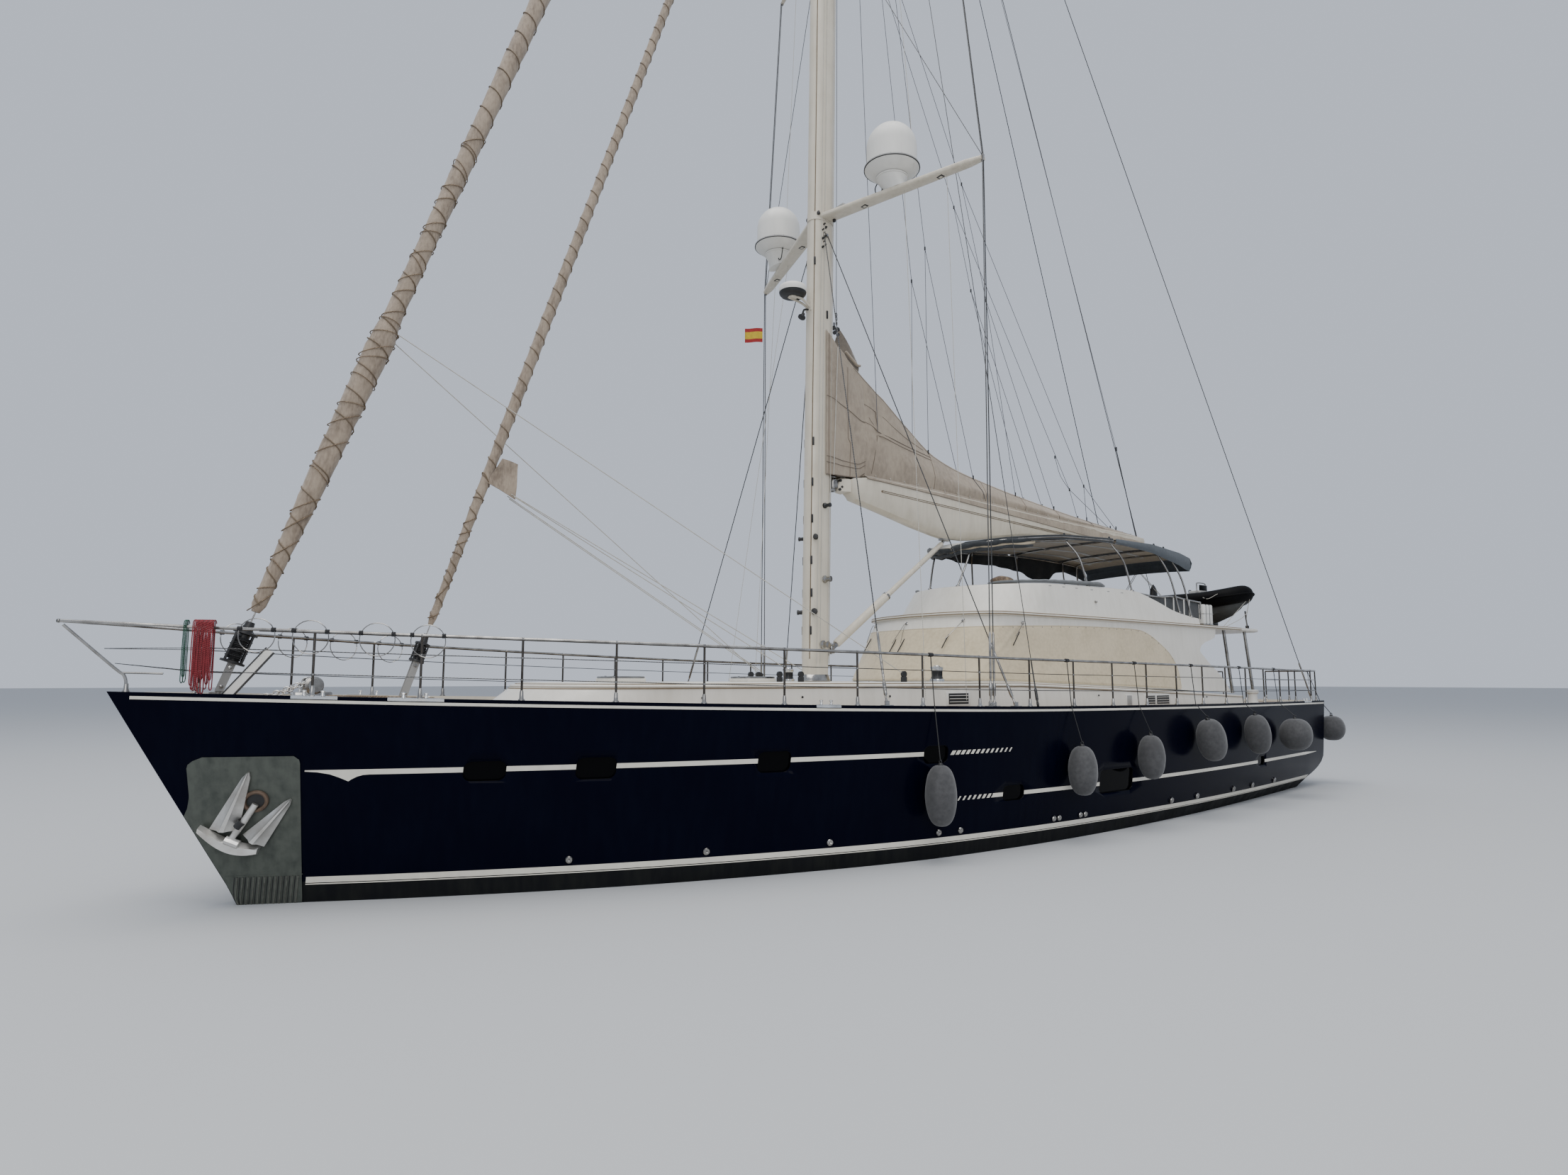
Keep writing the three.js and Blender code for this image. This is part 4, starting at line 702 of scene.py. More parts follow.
    def copies(self, fitting: "Shape", places: Sequence[Matrix],
               finish: bpy.types.Material) -> bpy.types.Mesh:
        """A fitting at each place.

        Args:
            fitting: the fitting's shape about the origin.
            places: where each copy goes, with its turn and scale.
            finish: its material.

        Returns:
            The copies' mesh.
        """
        mesh = bpy.data.meshes.new("places")
        mesh.from_pydata([place.to_translation() for place in places], [], [])
        turn = mesh.attributes.new("turn", "FLOAT_VECTOR", "POINT")
        grow = mesh.attributes.new("grow", "FLOAT_VECTOR", "POINT")
        for i, place in enumerate(places):
            turn.data[i].vector = place.to_euler()
            grow.data[i].vector = place.to_scale()
        thing = new_object("places", mesh)
        pattern = new_object("fitting", fitting.mesh("fitting"))
        result = self._result(thing, self.copy_tree, {"Fitting": pattern, "Size": 1.0, "Finish": finish})
        bpy.data.objects.remove(thing)
        bpy.data.objects.remove(pattern)
        return result


class Shape:
    """Faces of one piece, gathered part by part, each with one of the piece's finishes."""

    def __init__(self, *finishes: str) -> None:
        """Starts empty.

        Args:
            *finishes: names of the piece's finishes.
        """
        self.finishes = finishes
        self.points: list[tuple[float, float, float]] = []
        self.faces: list[tuple[int, ...]] = []
        self.tones: list[int] = []

    def add(self, points: Iterable[Point], faces: Iterable[Sequence[int]], tone: int = 0) -> None:
        """Adds faces.

        Args:
            points: their points.
            faces: corners of each face.
            tone: which finish.
        """
        start = len(self.points)
        self.points += [tuple(point) for point in points]
        new = [tuple(start + corner for corner in face) for face in faces]
        self.faces += new
        self.tones += [tone] * len(new)

    def take(self, mesh: bpy.types.Mesh, tone: int = 0) -> None:
        """Adds a mesh's faces and deletes the mesh.

        Args:
            mesh: the mesh.
            tone: which finish.
        """
        self.add([v.co for v in mesh.vertices], [p.vertices for p in mesh.polygons], tone)
        bpy.data.meshes.remove(mesh)

    def rows(self, rows: Sequence[Sequence[Point]], tone: int = 0, ring: bool = True,
             ends: bool = True) -> None:
        """Adds a skin over rows of equal length.

        Args:
            rows: the rows of points.
            tone: which finish.
            ring: whether each row closes on itself.
            ends: whether the first and last row get flat ends.
        """
        count = len(rows[0])
        faces = []
        for i in range(len(rows) - 1):
            for j in range(count if ring else count - 1):
                k = (j + 1) % count
                faces.append((i * count + j, i * count + k, (i + 1) * count + k, (i + 1) * count + j))
        if ends and ring:
            faces.append(tuple(range(count)))
            faces.append(tuple((len(rows) - 1) * count + j for j in reversed(range(count))))
        self.add([point for row in rows for point in row], faces, tone)

    def plate(self, rows: Sequence[Sequence[Point]], thick: Callable[[Point], Vector], tone: int = 0) -> None:
        """Adds a closed plate over a grid of points.

        Args:
            rows: the grid's outer points.
            thick: the step from an outer point to the inner one.
            tone: which finish.
        """
        inner = [[Vector(point) + thick(point) for point in row] for row in rows]
        count, depth = len(rows[0]), len(rows)
        total = count * depth
        faces = []
        for i in range(depth - 1):
            for j in range(count - 1):
                a = i * count + j
                faces.append((a, a + 1, a + count + 1, a + count))
                faces.append((total + a, total + a + count, total + a + count + 1, total + a + 1))
        rim = list(range(count)) + [i * count + count - 1 for i in range(1, depth)]
        rim += [(depth - 1) * count + j for j in range(count - 2, -1, -1)]
        rim += [i * count for i in range(depth - 2, 0, -1)]
        for a, b in zip(rim, rim[1:] + rim[:1]):
            faces.append((a, total + a, total + b, b))
        self.add([p for row in list(rows) + inner for p in row], faces, tone)

    def turned(self, profile: Sequence[tuple[float, float]], place: Point, steps: int = 24, tone: int = 0,
               axis: Point = (0, 0, 1)) -> None:
        """Adds a turned shape.

        Args:
            profile: radius and height, from one end on the axis to the other.
            place: its foot.
            steps: flat sides round it.
            tone: which finish.
            axis: the direction of its height.
        """
        turn = Vector((0, 0, 1)).rotation_difference(Vector(axis).normalized()).to_matrix()
        rows = []
        for radius, height in profile:
            wide = max(radius, 1e-5)
            rows.append([Vector(place) + turn @ Vector((wide * c, wide * s, height))
                         for c, s in circle(steps)])
        self.rows(rows, tone)

    def block(self, low: Point, high: Point, tone: int = 0, bevel: float = 0.0) -> None:
        """Adds a box, with bevelled edges where asked.

        Args:
            low: its lowest corner.
            high: its highest corner.
            tone: which finish.
            bevel: the edge's width.
        """
        box = bmesh.new()
        bmesh.ops.create_cube(box, size=1)
        middle = (Vector(low) + Vector(high)) / 2
        size = Vector(high) - Vector(low)
        for vert in box.verts:
            vert.co = Vector((vert.co.x * size.x, vert.co.y * size.y, vert.co.z * size.z)) + middle
        if bevel:
            bmesh.ops.bevel(box, geom=list(box.edges), offset=bevel, segments=2, affect="EDGES", profile=0.5)
        box.verts.ensure_lookup_table()
        self.add([v.co for v in box.verts], [[v.index for v in f.verts] for f in box.faces], tone)
        box.free()

    def tube(self, paths: Sequence[Sequence[Point]], radius: float, sides: int = 8, tone: int = 0) -> None:
        """Adds tubes along paths, by Geometry Nodes.

        Args:
            paths: each path's points.
            radius: the tubes' radius.
            sides: flat sides round each tube.
            tone: which finish.
        """
        self.take(REPEATER.run(paths, radius, sides, LOCKER.get(self.finishes[tone])), tone)

    def repeat(self, fitting: "Shape", places: Sequence[Matrix], tone: int = 0) -> None:
        """Adds a fitting at each place, by Geometry Nodes.

        Args:
            fitting: the fitting's shape about the origin.
            places: where each copy goes.
            tone: which finish.
        """
        self.take(REPEATER.copies(fitting, places, LOCKER.get(self.finishes[tone])), tone)

    def mirror(self) -> None:
        """Adds the mirror image across the centreline."""
        start, faces, tones = len(self.points), list(self.faces), list(self.tones)
        self.points += [(x, -y, z) for x, y, z in self.points]
        self.faces += [tuple(start + corner for corner in reversed(face)) for face in faces]
        self.tones += tones

    def mesh(self, name: str, smooth: float = 35.0, merge: float = 1e-5) -> bpy.types.Mesh:
        """The shape as a mesh with outward faces.

        Args:
            name: the mesh's name.
            smooth: the angle up to which edges are smooth.
            merge: how near points are joined.

        Returns:
            The mesh.
        """
        mesh = bpy.data.meshes.new(name)
        mesh.from_pydata([tuple(p) for p in self.points], [], self.faces)
        for name_of_finish in self.finishes:
            mesh.materials.append(LOCKER.get(name_of_finish))
        for polygon, tone in zip(mesh.polygons, self.tones):
            polygon.material_index = tone
        work = bmesh.new()
        work.from_mesh(mesh)
        bmesh.ops.remove_doubles(work, verts=work.verts, dist=merge)
        bmesh.ops.dissolve_degenerate(work, edges=work.edges, dist=1e-6)
        bmesh.ops.recalc_face_normals(work, faces=work.faces)
        work.to_mesh(mesh)
        work.free()
        mesh.polygons.foreach_set("use_smooth", [True] * len(mesh.polygons))
        mesh.set_sharp_from_angle(angle=math.radians(smooth))
        mesh.update()
        return mesh

    def piece(self, name: str, slot: Slot, replaces: Sequence[str] = (), body: Body | None = Body.YACHT,
              smooth: float = 35.0) -> bpy.types.Object:
        """Makes the shape a piece of the yacht.

        Args:
            name: the piece's name.
            slot: the record's material slot, handed on to settle, which does not use it.
            replaces: CAD nodes that it stands for.
            body: the body that it rides on; None where a blend joins it to two.
            smooth: the angle up to which edges are smooth.

        Returns:
            The piece.
        """
        return settle(new_object(name, self.mesh(name, smooth)), slot, replaces, body)


def settle(thing: bpy.types.Object, slot: Slot, replaces: Sequence[str] = (),
           body: Body | None = Body.YACHT) -> bpy.types.Object:
    """Puts a finished object on its body.

    Args:
        thing: the object.
        slot: the record's material slot; it is not used.
        replaces: CAD nodes that it stands for.
        body: the body that it rides on; None where a blend joins it to two.

    Returns:
        The object.
    """
    if replaces:
        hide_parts(*replaces)
    if body:
        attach(thing, body.value)
    LOG.info("%s: %d faces", thing.name, len(thing.data.polygons))
    return thing


def new_object(name: str, data: bpy.types.ID) -> bpy.types.Object:
    """A new object in the scene's own collection."""
    thing = bpy.data.objects.new(name, data)
    bpy.context.scene.collection.objects.link(thing)
    return thing


def cut_out(thing: bpy.types.Object, cutter: Shape) -> None:
    """Cuts a closed shape out of a closed object.

    Args:
        thing: what is cut.
        cutter: what it is cut with.
    """
    tool = new_object("cutter", cutter.mesh("cutter"))
    change = thing.modifiers.new("cut", "BOOLEAN")
    change.operation = "DIFFERENCE"
    change.solver = "EXACT"
    change.object = tool
    graph = bpy.context.evaluated_depsgraph_get()
    mesh = bpy.data.meshes.new_from_object(thing.evaluated_get(graph))
    thing.modifiers.remove(change)
    thing.data = mesh
    bpy.data.objects.remove(tool)


REPEATER = Repeater()


def bend(points: Sequence[Point], steps: int = 6) -> list[Vector]:
    """A smooth curve through points.

    Args:
        points: what it passes through.
        steps: pieces between two points.

    Returns:
        The curve's points.
    """
    line = [Vector(p) for p in points]
    line = [line[0] * 2 - line[1], *line, line[-1] * 2 - line[-2]]
    out = []
    for a, b, c, d in zip(line, line[1:], line[2:], line[3:]):
        for i in range(steps):
            t = i / steps
            out.append(0.5 * (2 * b + (c - a) * t + (2 * a - 5 * b + 4 * c - d) * t * t
                              + (3 * b - a - 3 * c + d) * t**3))
    return [*out, line[-2]]


def straight(a: Point, b: Point, steps: int = 1) -> list[Vector]:
    """Points on a straight line."""
    return [Vector(a).lerp(Vector(b), i / steps) for i in range(steps + 1)]


def upward(height: float) -> Vector:
    """A step straight up."""
    return Vector((0, 0, height))


def circle(steps: int, closed: bool = False, start: float = 0.0) -> list[tuple[float, float]]:
    """Cosine and sine at even steps round a circle.

    Args:
        steps: how many steps go round.
        closed: whether the first comes again at the end.
        start: where the first is, in steps.

    Returns:
        The pairs.
    """
    angles = [TAU * (i + start) / steps for i in range(steps + 1 if closed else steps)]
    return [(math.cos(angle), math.sin(angle)) for angle in angles]


def mirrored(points: Iterable[Vector]) -> list[Vector]:
    """The points' mirror images across the centreline."""
    return [Vector((p.x, -p.y, p.z)) for p in points]


def round_bow(half: list[Vector]) -> list[Vector]:
    """A line from starboard round the bow to port, from its port half."""
    return mirrored(reversed(half[1:])) + half


def at(place: Point, along: Point = (0, 0, 1), scale: Point = (1, 1, 1), spin: float = 0.0) -> Matrix:
    """A place whose Z points along a direction.

    Args:
        place: the origin.
        along: the direction of Z.
        scale: scale on each axis.
        spin: turn about Z first.

    Returns:
        The matrix.
    """
    turn = upward(1).rotation_difference(Vector(along).normalized())
    return Matrix.LocRotScale(Vector(place), turn @ Matrix.Rotation(spin, 3, "Z").to_quaternion(),
                              Vector(scale))


# Hull


@dataclass
class Hull:
    """The whole hull: topsides with recessed windows, bottom, cap, bulwark and teak deck."""

    deck_edge: tuple = (
        (14.81, 0.04, 3.01), (13.8, 0.59, 2.98), (11.2, 1.72, 2.9), (8.58, 2.63, 2.83), (5.97, 3.29, 2.765),
        (3.36, 3.75, 2.71), (0.75, 3.93, 2.66), (-1.86, 3.93, 2.63), (-4.47, 3.78, 2.605),
        (-7.08, 3.51, 2.58), (-9.69, 3.14, 2.56), (-12.3, 2.72, 2.54), (-14.95, 2.38, 2.53))
    stripe_edge: tuple = (
        (13.3, 0.04), (11.2, 1.05), (8.58, 2.11), (5.97, 2.88), (3.36, 3.42), (0.75, 3.62), (-1.86, 3.61),
        (-4.47, 3.47), (-7.08, 3.24), (-9.69, 2.91), (-12.3, 2.51), (-13.95, 2.22))
    bottom: tuple = (
        (0.0, 13.15, -13.56, 0.985, 0.93), (-0.4, 12.1, -12.7, 0.93, 0.7), (-0.8, 10.5, -10.9, 0.78, 0.42),
        (-1.12, 8.3, -8.2, 0.5, 0.24), (-1.3, 5.6, -5.2, 0.16, 0.08))
    stripe_z: float = 0.3
    stem_half: float = 0.02
    cap: float = 0.12
    bulwark: float = 0.12
    camber: float = 0.07
    upper_windows: tuple = ((10.56, 10.0, 1.98, 1.69), (9.06, 8.49, 2.0, 1.67), (6.31, 5.75, 2.01, 1.67),
                            (3.21, 2.67, 2.0, 1.69))
    lower_windows: tuple = ((1.24, 0.67, 1.19, 0.9), (-1.66, -2.87, 1.31, 0.83), (-9.3, -9.8, 1.16, 0.94))
    outlets: tuple = (9.02, 7.0, 4.92, 2.75, 2.25, -0.25, -0.41, -1.09, -1.25, -4.6, -5.82, -7.83, -9.05,
                      -10.66)
    window_depth: float = 0.045
    stem_top: float = 14.81
    stem_low: float = 13.3
    stern_top: float = -14.95
    stern_low: float = -13.95
    counter: float = 0.28
    bulwark_ends: tuple = (14.39, -14.83)

    def sheer(self, x: float) -> float:
        """Height of the cap at x."""
        return smooth_value(self.deck_edge, x, 2)

    def edge(self, x: float) -> float:
        """Half breadth at the cap at x."""
        return smooth_value(self.deck_edge, x)

    def deck(self, x: float, y: float) -> float:
        """Height of the deck at x and y."""
        half = max(self.edge(x) - self.cap, self.stem_half)
        rise = min(max(2 * (1 - abs(y) / half), 0), 1)
        return self.sheer(x) - self.bulwark + self.camber * rise

    def stem(self, rise: float) -> float:
        """The stem's x at a share of the topside's height."""
        return lerp(self.stem_low, self.stem_top, rise)

    def stern(self, rise: float) -> float:
        """The stern's x at a share of the topside's height."""
        return self.stern_top + (1 - min(rise / self.counter, 1)) ** 2

    def stripe(self, share: float) -> float:
        """Half breadth at the boot stripe at a share of the length."""
        return smooth_value(self.stripe_edge, lerp(self.stem_low, self.stern_low, share))

    @staticmethod
    def ease(share: float) -> float:
        """How far the sections have turned into those of the stern at a share of the length."""
        t = min(max((share - 0.5) * 2, 0), 1)
        return t * t * (3 - 2 * t)

    def side(self, share: float, rise: float) -> Vector:
        """A point of the port topside.

        Args:
            share: 0 at the stem, 1 at the stern.
            rise: 0 at the boot stripe, 1 at the cap.

        Returns:
            The point.
        """
        x = lerp(self.stem(rise), self.stern(rise), share)
        high = self.edge(lerp(self.stem_top, self.stern_top, share))
        half = max(lerp(self.stripe(share), high, rise**0.9), self.stem_half)
        return Vector((x, half, lerp(self.stripe_z, self.sheer(x), rise)))

    def half(self, x: float, z: float) -> float:
        """Half breadth of the hull's side.

        Args:
            x: where along the hull.
            z: its height.

        Returns:
            The half breadth.
        """
        rise = min(max((z - self.stripe_z) / (self.sheer(x) - self.stripe_z), 0), 1)
        share = (self.stem(rise) - x) / (self.stem(rise) - self.stern(rise))
        if z >= self.stripe_z:
            return self.side(min(max(share, 0), 1), rise).y
        sunk = (self.stripe_z - z) / self.stripe_z
        _, bow, stern, middle, end = self.bottom[0]
        fore, aft = lerp(self.stem_low, bow, sunk), lerp(self.stern_low, stern, sunk)
        share = min(max((fore - x) / (fore - aft), 0), 1)
        half = self.stripe(share) * lerp(1, lerp(middle, end, self.ease(share)), sunk)
        return max(half, self.stem_half)

    def skin(self, x: float, z: float, proud: float = 0.0) -> Vector:
        """A point on the port side.

        Args:
            x: where along the hull.
            z: its height.
            proud: how far it stands off.

        Returns:
            The point.
        """
        slope = (self.half(x + 0.05, z) - self.half(x - 0.05, z)) / 0.1
        rise = (self.half(x, z + 0.05) - self.half(x, z - 0.05)) / 0.1
        normal = Vector((-slope, 1, -rise)).normalized()
        return Vector((x, self.half(x, z), z)) + normal * proud

    def _levels(self) -> list[list[Vector]]:
        """Port side rows from keel to cap."""
        shares = [1 - math.cos(math.pi * (0.5 * i / 90)) for i in range(91)]
        rows = []
        for z, bow, stern, middle, aft in reversed(self.bottom):
            row = []
            for share in shares:
                half = self.stripe(share) * lerp(middle, aft, self.ease(share))
                row.append(Vector((lerp(bow, stern, share), max(half, self.stem_half), z)))
            rows.append(row)
        for rise in (0, 0.03, 0.07, 0.12, 0.18, 0.25, 0.33, 0.42, 0.52, 0.62, 0.72, 0.82, 0.91, 0.97, 1):
            rows.append([self.side(share, rise) for share in shares])
        return rows

    def build(self) -> None:
        """Builds the hull, its lines and its fittings."""
        self._shell()
        self._lines()
        self._fittings()

    def _shell(self) -> None:
        """The closed hull with its recessed windows."""
        shape = Shape("navy topsides", "antifouling paint", "cream line", "teak deck", "smoked glass")
        rows = self._levels()
        for i, (low, high) in enumerate(zip(rows, rows[1:])):
            shape.rows([low, high], 1 if i < len(self.bottom) else 0, ring=False)

        def bridge(a: Vector, b: Vector, tone: int) -> None:
            """Joins two port points to their mirror images by a face."""
            shape.add([a, b, *mirrored((b, a))], [(0, 1, 2, 3)], tone)

        for low, high in zip(rows, rows[1:]):
            bridge(low[-1], high[-1], 0 if low[0].z > 0.2 else 1)
        cap = rows[-1]
        inner, foot, crown, middle = [], [], [], []
        for i in range(len(cap)):
            share = i / (len(cap) - 1)
            x = lerp(*self.bulwark_ends, 1 - math.cos(math.pi * 0.5 * share))
            half = max(self.edge(x) - self.cap, self.stem_half)
            floor = self.sheer(x) - self.bulwark
            inner.append(Vector((x, half, self.sheer(x))))
            foot.append(Vector((x, half * 0.999, floor)))
            crown.append(Vector((x, half * 0.5, floor + self.camber)))
            middle.append(Vector((x, 0, floor + self.camber)))
        shape.rows([cap, inner], 0, ring=False)
        shape.rows([inner, foot], 2, ring=False)
        shape.rows([foot, crown, middle], 3, ring=False)
        shape.mirror()
        stem = [row[0] for row in rows]
        shape.rows([rows[0], mirrored(rows[0])], 1, ring=False)
        shape.rows([stem, mirrored(stem)], 0, ring=False)
        for end in (0, -1):
            bridge(cap[end], inner[end], 0)
            for first, second in ((inner, foot), (foot, crown), (crown, middle)):
                bridge(first[end], second[end], 2)
        hull = new_object("hull_shell", shape.mesh("hull_shell", 30, 1e-4))
        self._cut(hull)
        settle(hull, Slot.NAVY, ["hull"])

    def _pane(self, shape: Shape, window: Point, deep: float, proud: float, tone: int) -> None:
        """Adds a rounded block over a window to a shape.

        Args:
            shape: the shape that gets it.
            window: fore and aft x, top and bottom z.
            deep: how far it reaches inside the skin.
            proud: how far it reaches outside the skin.
            tone: which finish.
        """
        fore, aft, top, low = window
        corner = min(0.11, (top - low) * 0.38)
        outline = []
        for cx, cz, start in ((fore - corner, top - corner, 0), (aft + corner, top - corner, 1),
                              (aft + corner, low + corner, 2), (fore - corner, low + corner, 3)):
            for i in range(7):
                angle = (start + i / 6) * math.pi / 2
                outline.append((cx + corner * math.cos(angle), cz + corner * math.sin(angle)))
        shape.rows([[self.skin(x, z, -deep) for x, z in outline],
                    [self.skin(x, z, proud) for x, z in outline]], tone)

    def _cut(self, hull: bpy.types.Object) -> None:
        """Cuts the window recesses into the hull.

        Args:
            hull: the closed hull.
        """
        cutter = Shape("navy topsides", "antifouling paint", "cream line", "teak deck", "smoked glass")
        for window in self.upper_windows + self.lower_windows:
            self._pane(cutter, window, self.window_depth, 0.03, 4)
        cutter.mirror()
        cut_out(hull, cutter)

    def _strip(self, shape: Shape, top: Sequence[Point], low: Sequence[Point], proud: float = 0.003,
               tone: int = 0) -> None:
        """Adds a thin painted strip that follows the topside.

        Args:
            shape: the shape that gets it.
            top: x and z along its upper edge.
            low: x and z along its lower edge.
            proud: how far it stands off the hull.
            tone: which finish.
        """
        rows = [[self.skin(x, z, proud) for x, z in top], [self.skin(x, z, proud) for x, z in low]]
        back = [[self.skin(x, z, -0.004) for x, z in low], [self.skin(x, z, -0.004) for x, z in top]]
        ring = [list(points) for points in zip(*rows, *back)]
        shape.rows(ring, tone)

    def _run(self, shape: Shape, fore: float, aft: float, z: Callable[[float], float], width: float,
             proud: float = 0.003, tone: int = 0) -> None:
        """Adds a strip of even width from fore to aft.

        Args:
            shape: the shape that gets it.
            fore: x where it starts.
            aft: x where it ends.
            z: its middle height at x.
            width: its width.
            proud: how far it stands off the hull.
            tone: which finish.
        """
        steps = max(2, int((fore - aft) / 0.25))
        xs = [lerp(fore, aft, i / steps) for i in range(steps + 1)]
        self._strip(shape, [(x, z(x) + width / 2) for x in xs], [(x, z(x) - width / 2) for x in xs], proud,
                    tone)

    def _lines(self) -> None:
        """The painted lines: cove line, upper and lower lines with their dashes, and boot stripe."""
        shape = Shape("cream line")
        self._run(shape, 14.55, -14.9, lambda x: self.sheer(x) - 0.075, 0.042, 0.006)
        upper_z, thick = 1.865, 0.075
        ends = [12.5] + [x for window in self.upper_windows for x in window[:2]] + [0.0]
        for fore, aft in zip(ends[::2], ends[1::2]):
            if aft > 0.5:
                self._run(shape, fore if fore < 12 else 11.72, aft, lambda x: upper_z, thick)
        swoosh = [(12.5, 1.885), (12.35, 1.872), (12.2, 1.84), (12.08, 1.79), (11.97, 1.735), (11.93, 1.765),
                  (11.87, 1.8), (11.8, 1.822), (11.72, upper_z - thick / 2)]
        self._strip(shape, [(x, upper_z + thick / 2) for x, _ in swoosh], swoosh)
        self._dashes(shape, 2.62, 1.05, upper_z, thick, 13)
        low_z = 1.035
        self._dashes(shape, 2.36, 1.3, low_z, thick, 9, thin_end_first=True)
        for fore, aft in ((1.5, 1.24), (0.67, -1.66), (-2.87, -9.3), (-9.8, -13.2)):
            self._run(shape, fore, aft, lambda x: low_z, thick)
        taper = ((-13.2, thick / 2), (-13.7, 0.02), (-14.2, 0.004))
        self._strip(shape, [(x, low_z + half) for x, half in taper], [(x, low_z - half) for x, half in taper])
        self._run(shape, 12.36, -13.85, lambda x: 0.325, 0.085, 0.004)
        self._run(shape, 12.36, -13.85, lambda x: 0.262, 0.014, 0.004)
        shape.mirror()
        shape.piece("hull_lines", Slot.CREAM)

    def _dashes(self, shape: Shape, fore: float, aft: float, z: float, height: float, count: int,
                thin_end_first: bool = False) -> None:
        """Slanted dashes that shrink towards one end.

        Args:
            shape: the shape that gets them.
            fore: x where they start.
            aft: x where they end.
            z: their middle height.
            height: their height.
            count: how many.
            thin_end_first: whether the narrow ones come first.
        """
        pitch = (fore - aft) / count
        for i in range(count):
            share = (i + 0.5) / count
            width = pitch * lerp(0.72, 0.25, 1 - share if thin_end_first else share)
            x = fore - pitch * i
            tilt = 0.05
            self._strip(shape, [(x - tilt, z + height / 2), (x - width - tilt, z + height / 2)],
                        [(x, z - height / 2), (x - width, z - height / 2)])

    def _fittings(self) -> None:
        """Skin outlets of stainless steel, on both sides."""
        shape = Shape("polished stainless", "black fitting")
        cup = Shape("polished stainless")
        cup.turned([(0, -0.005), (0.05, 0), (0.052, 0.018), (0.042, 0.032), (0.02, 0.034), (0, 0.02)],
                   (0, 0, 0), 18)
        places = []
        for x in self.outlets:
            point = self.skin(x, 0.46)
            normal = (self.skin(x, 0.46, 1) - point).normalized()
            size = 1.4 if x < -4 else 1.1
            places.append(at(point, normal, (size, size, size)))
        shape.repeat(cup, places)
        shape.mirror()
        shape.piece("hull_outlets", Slot.STEEL)


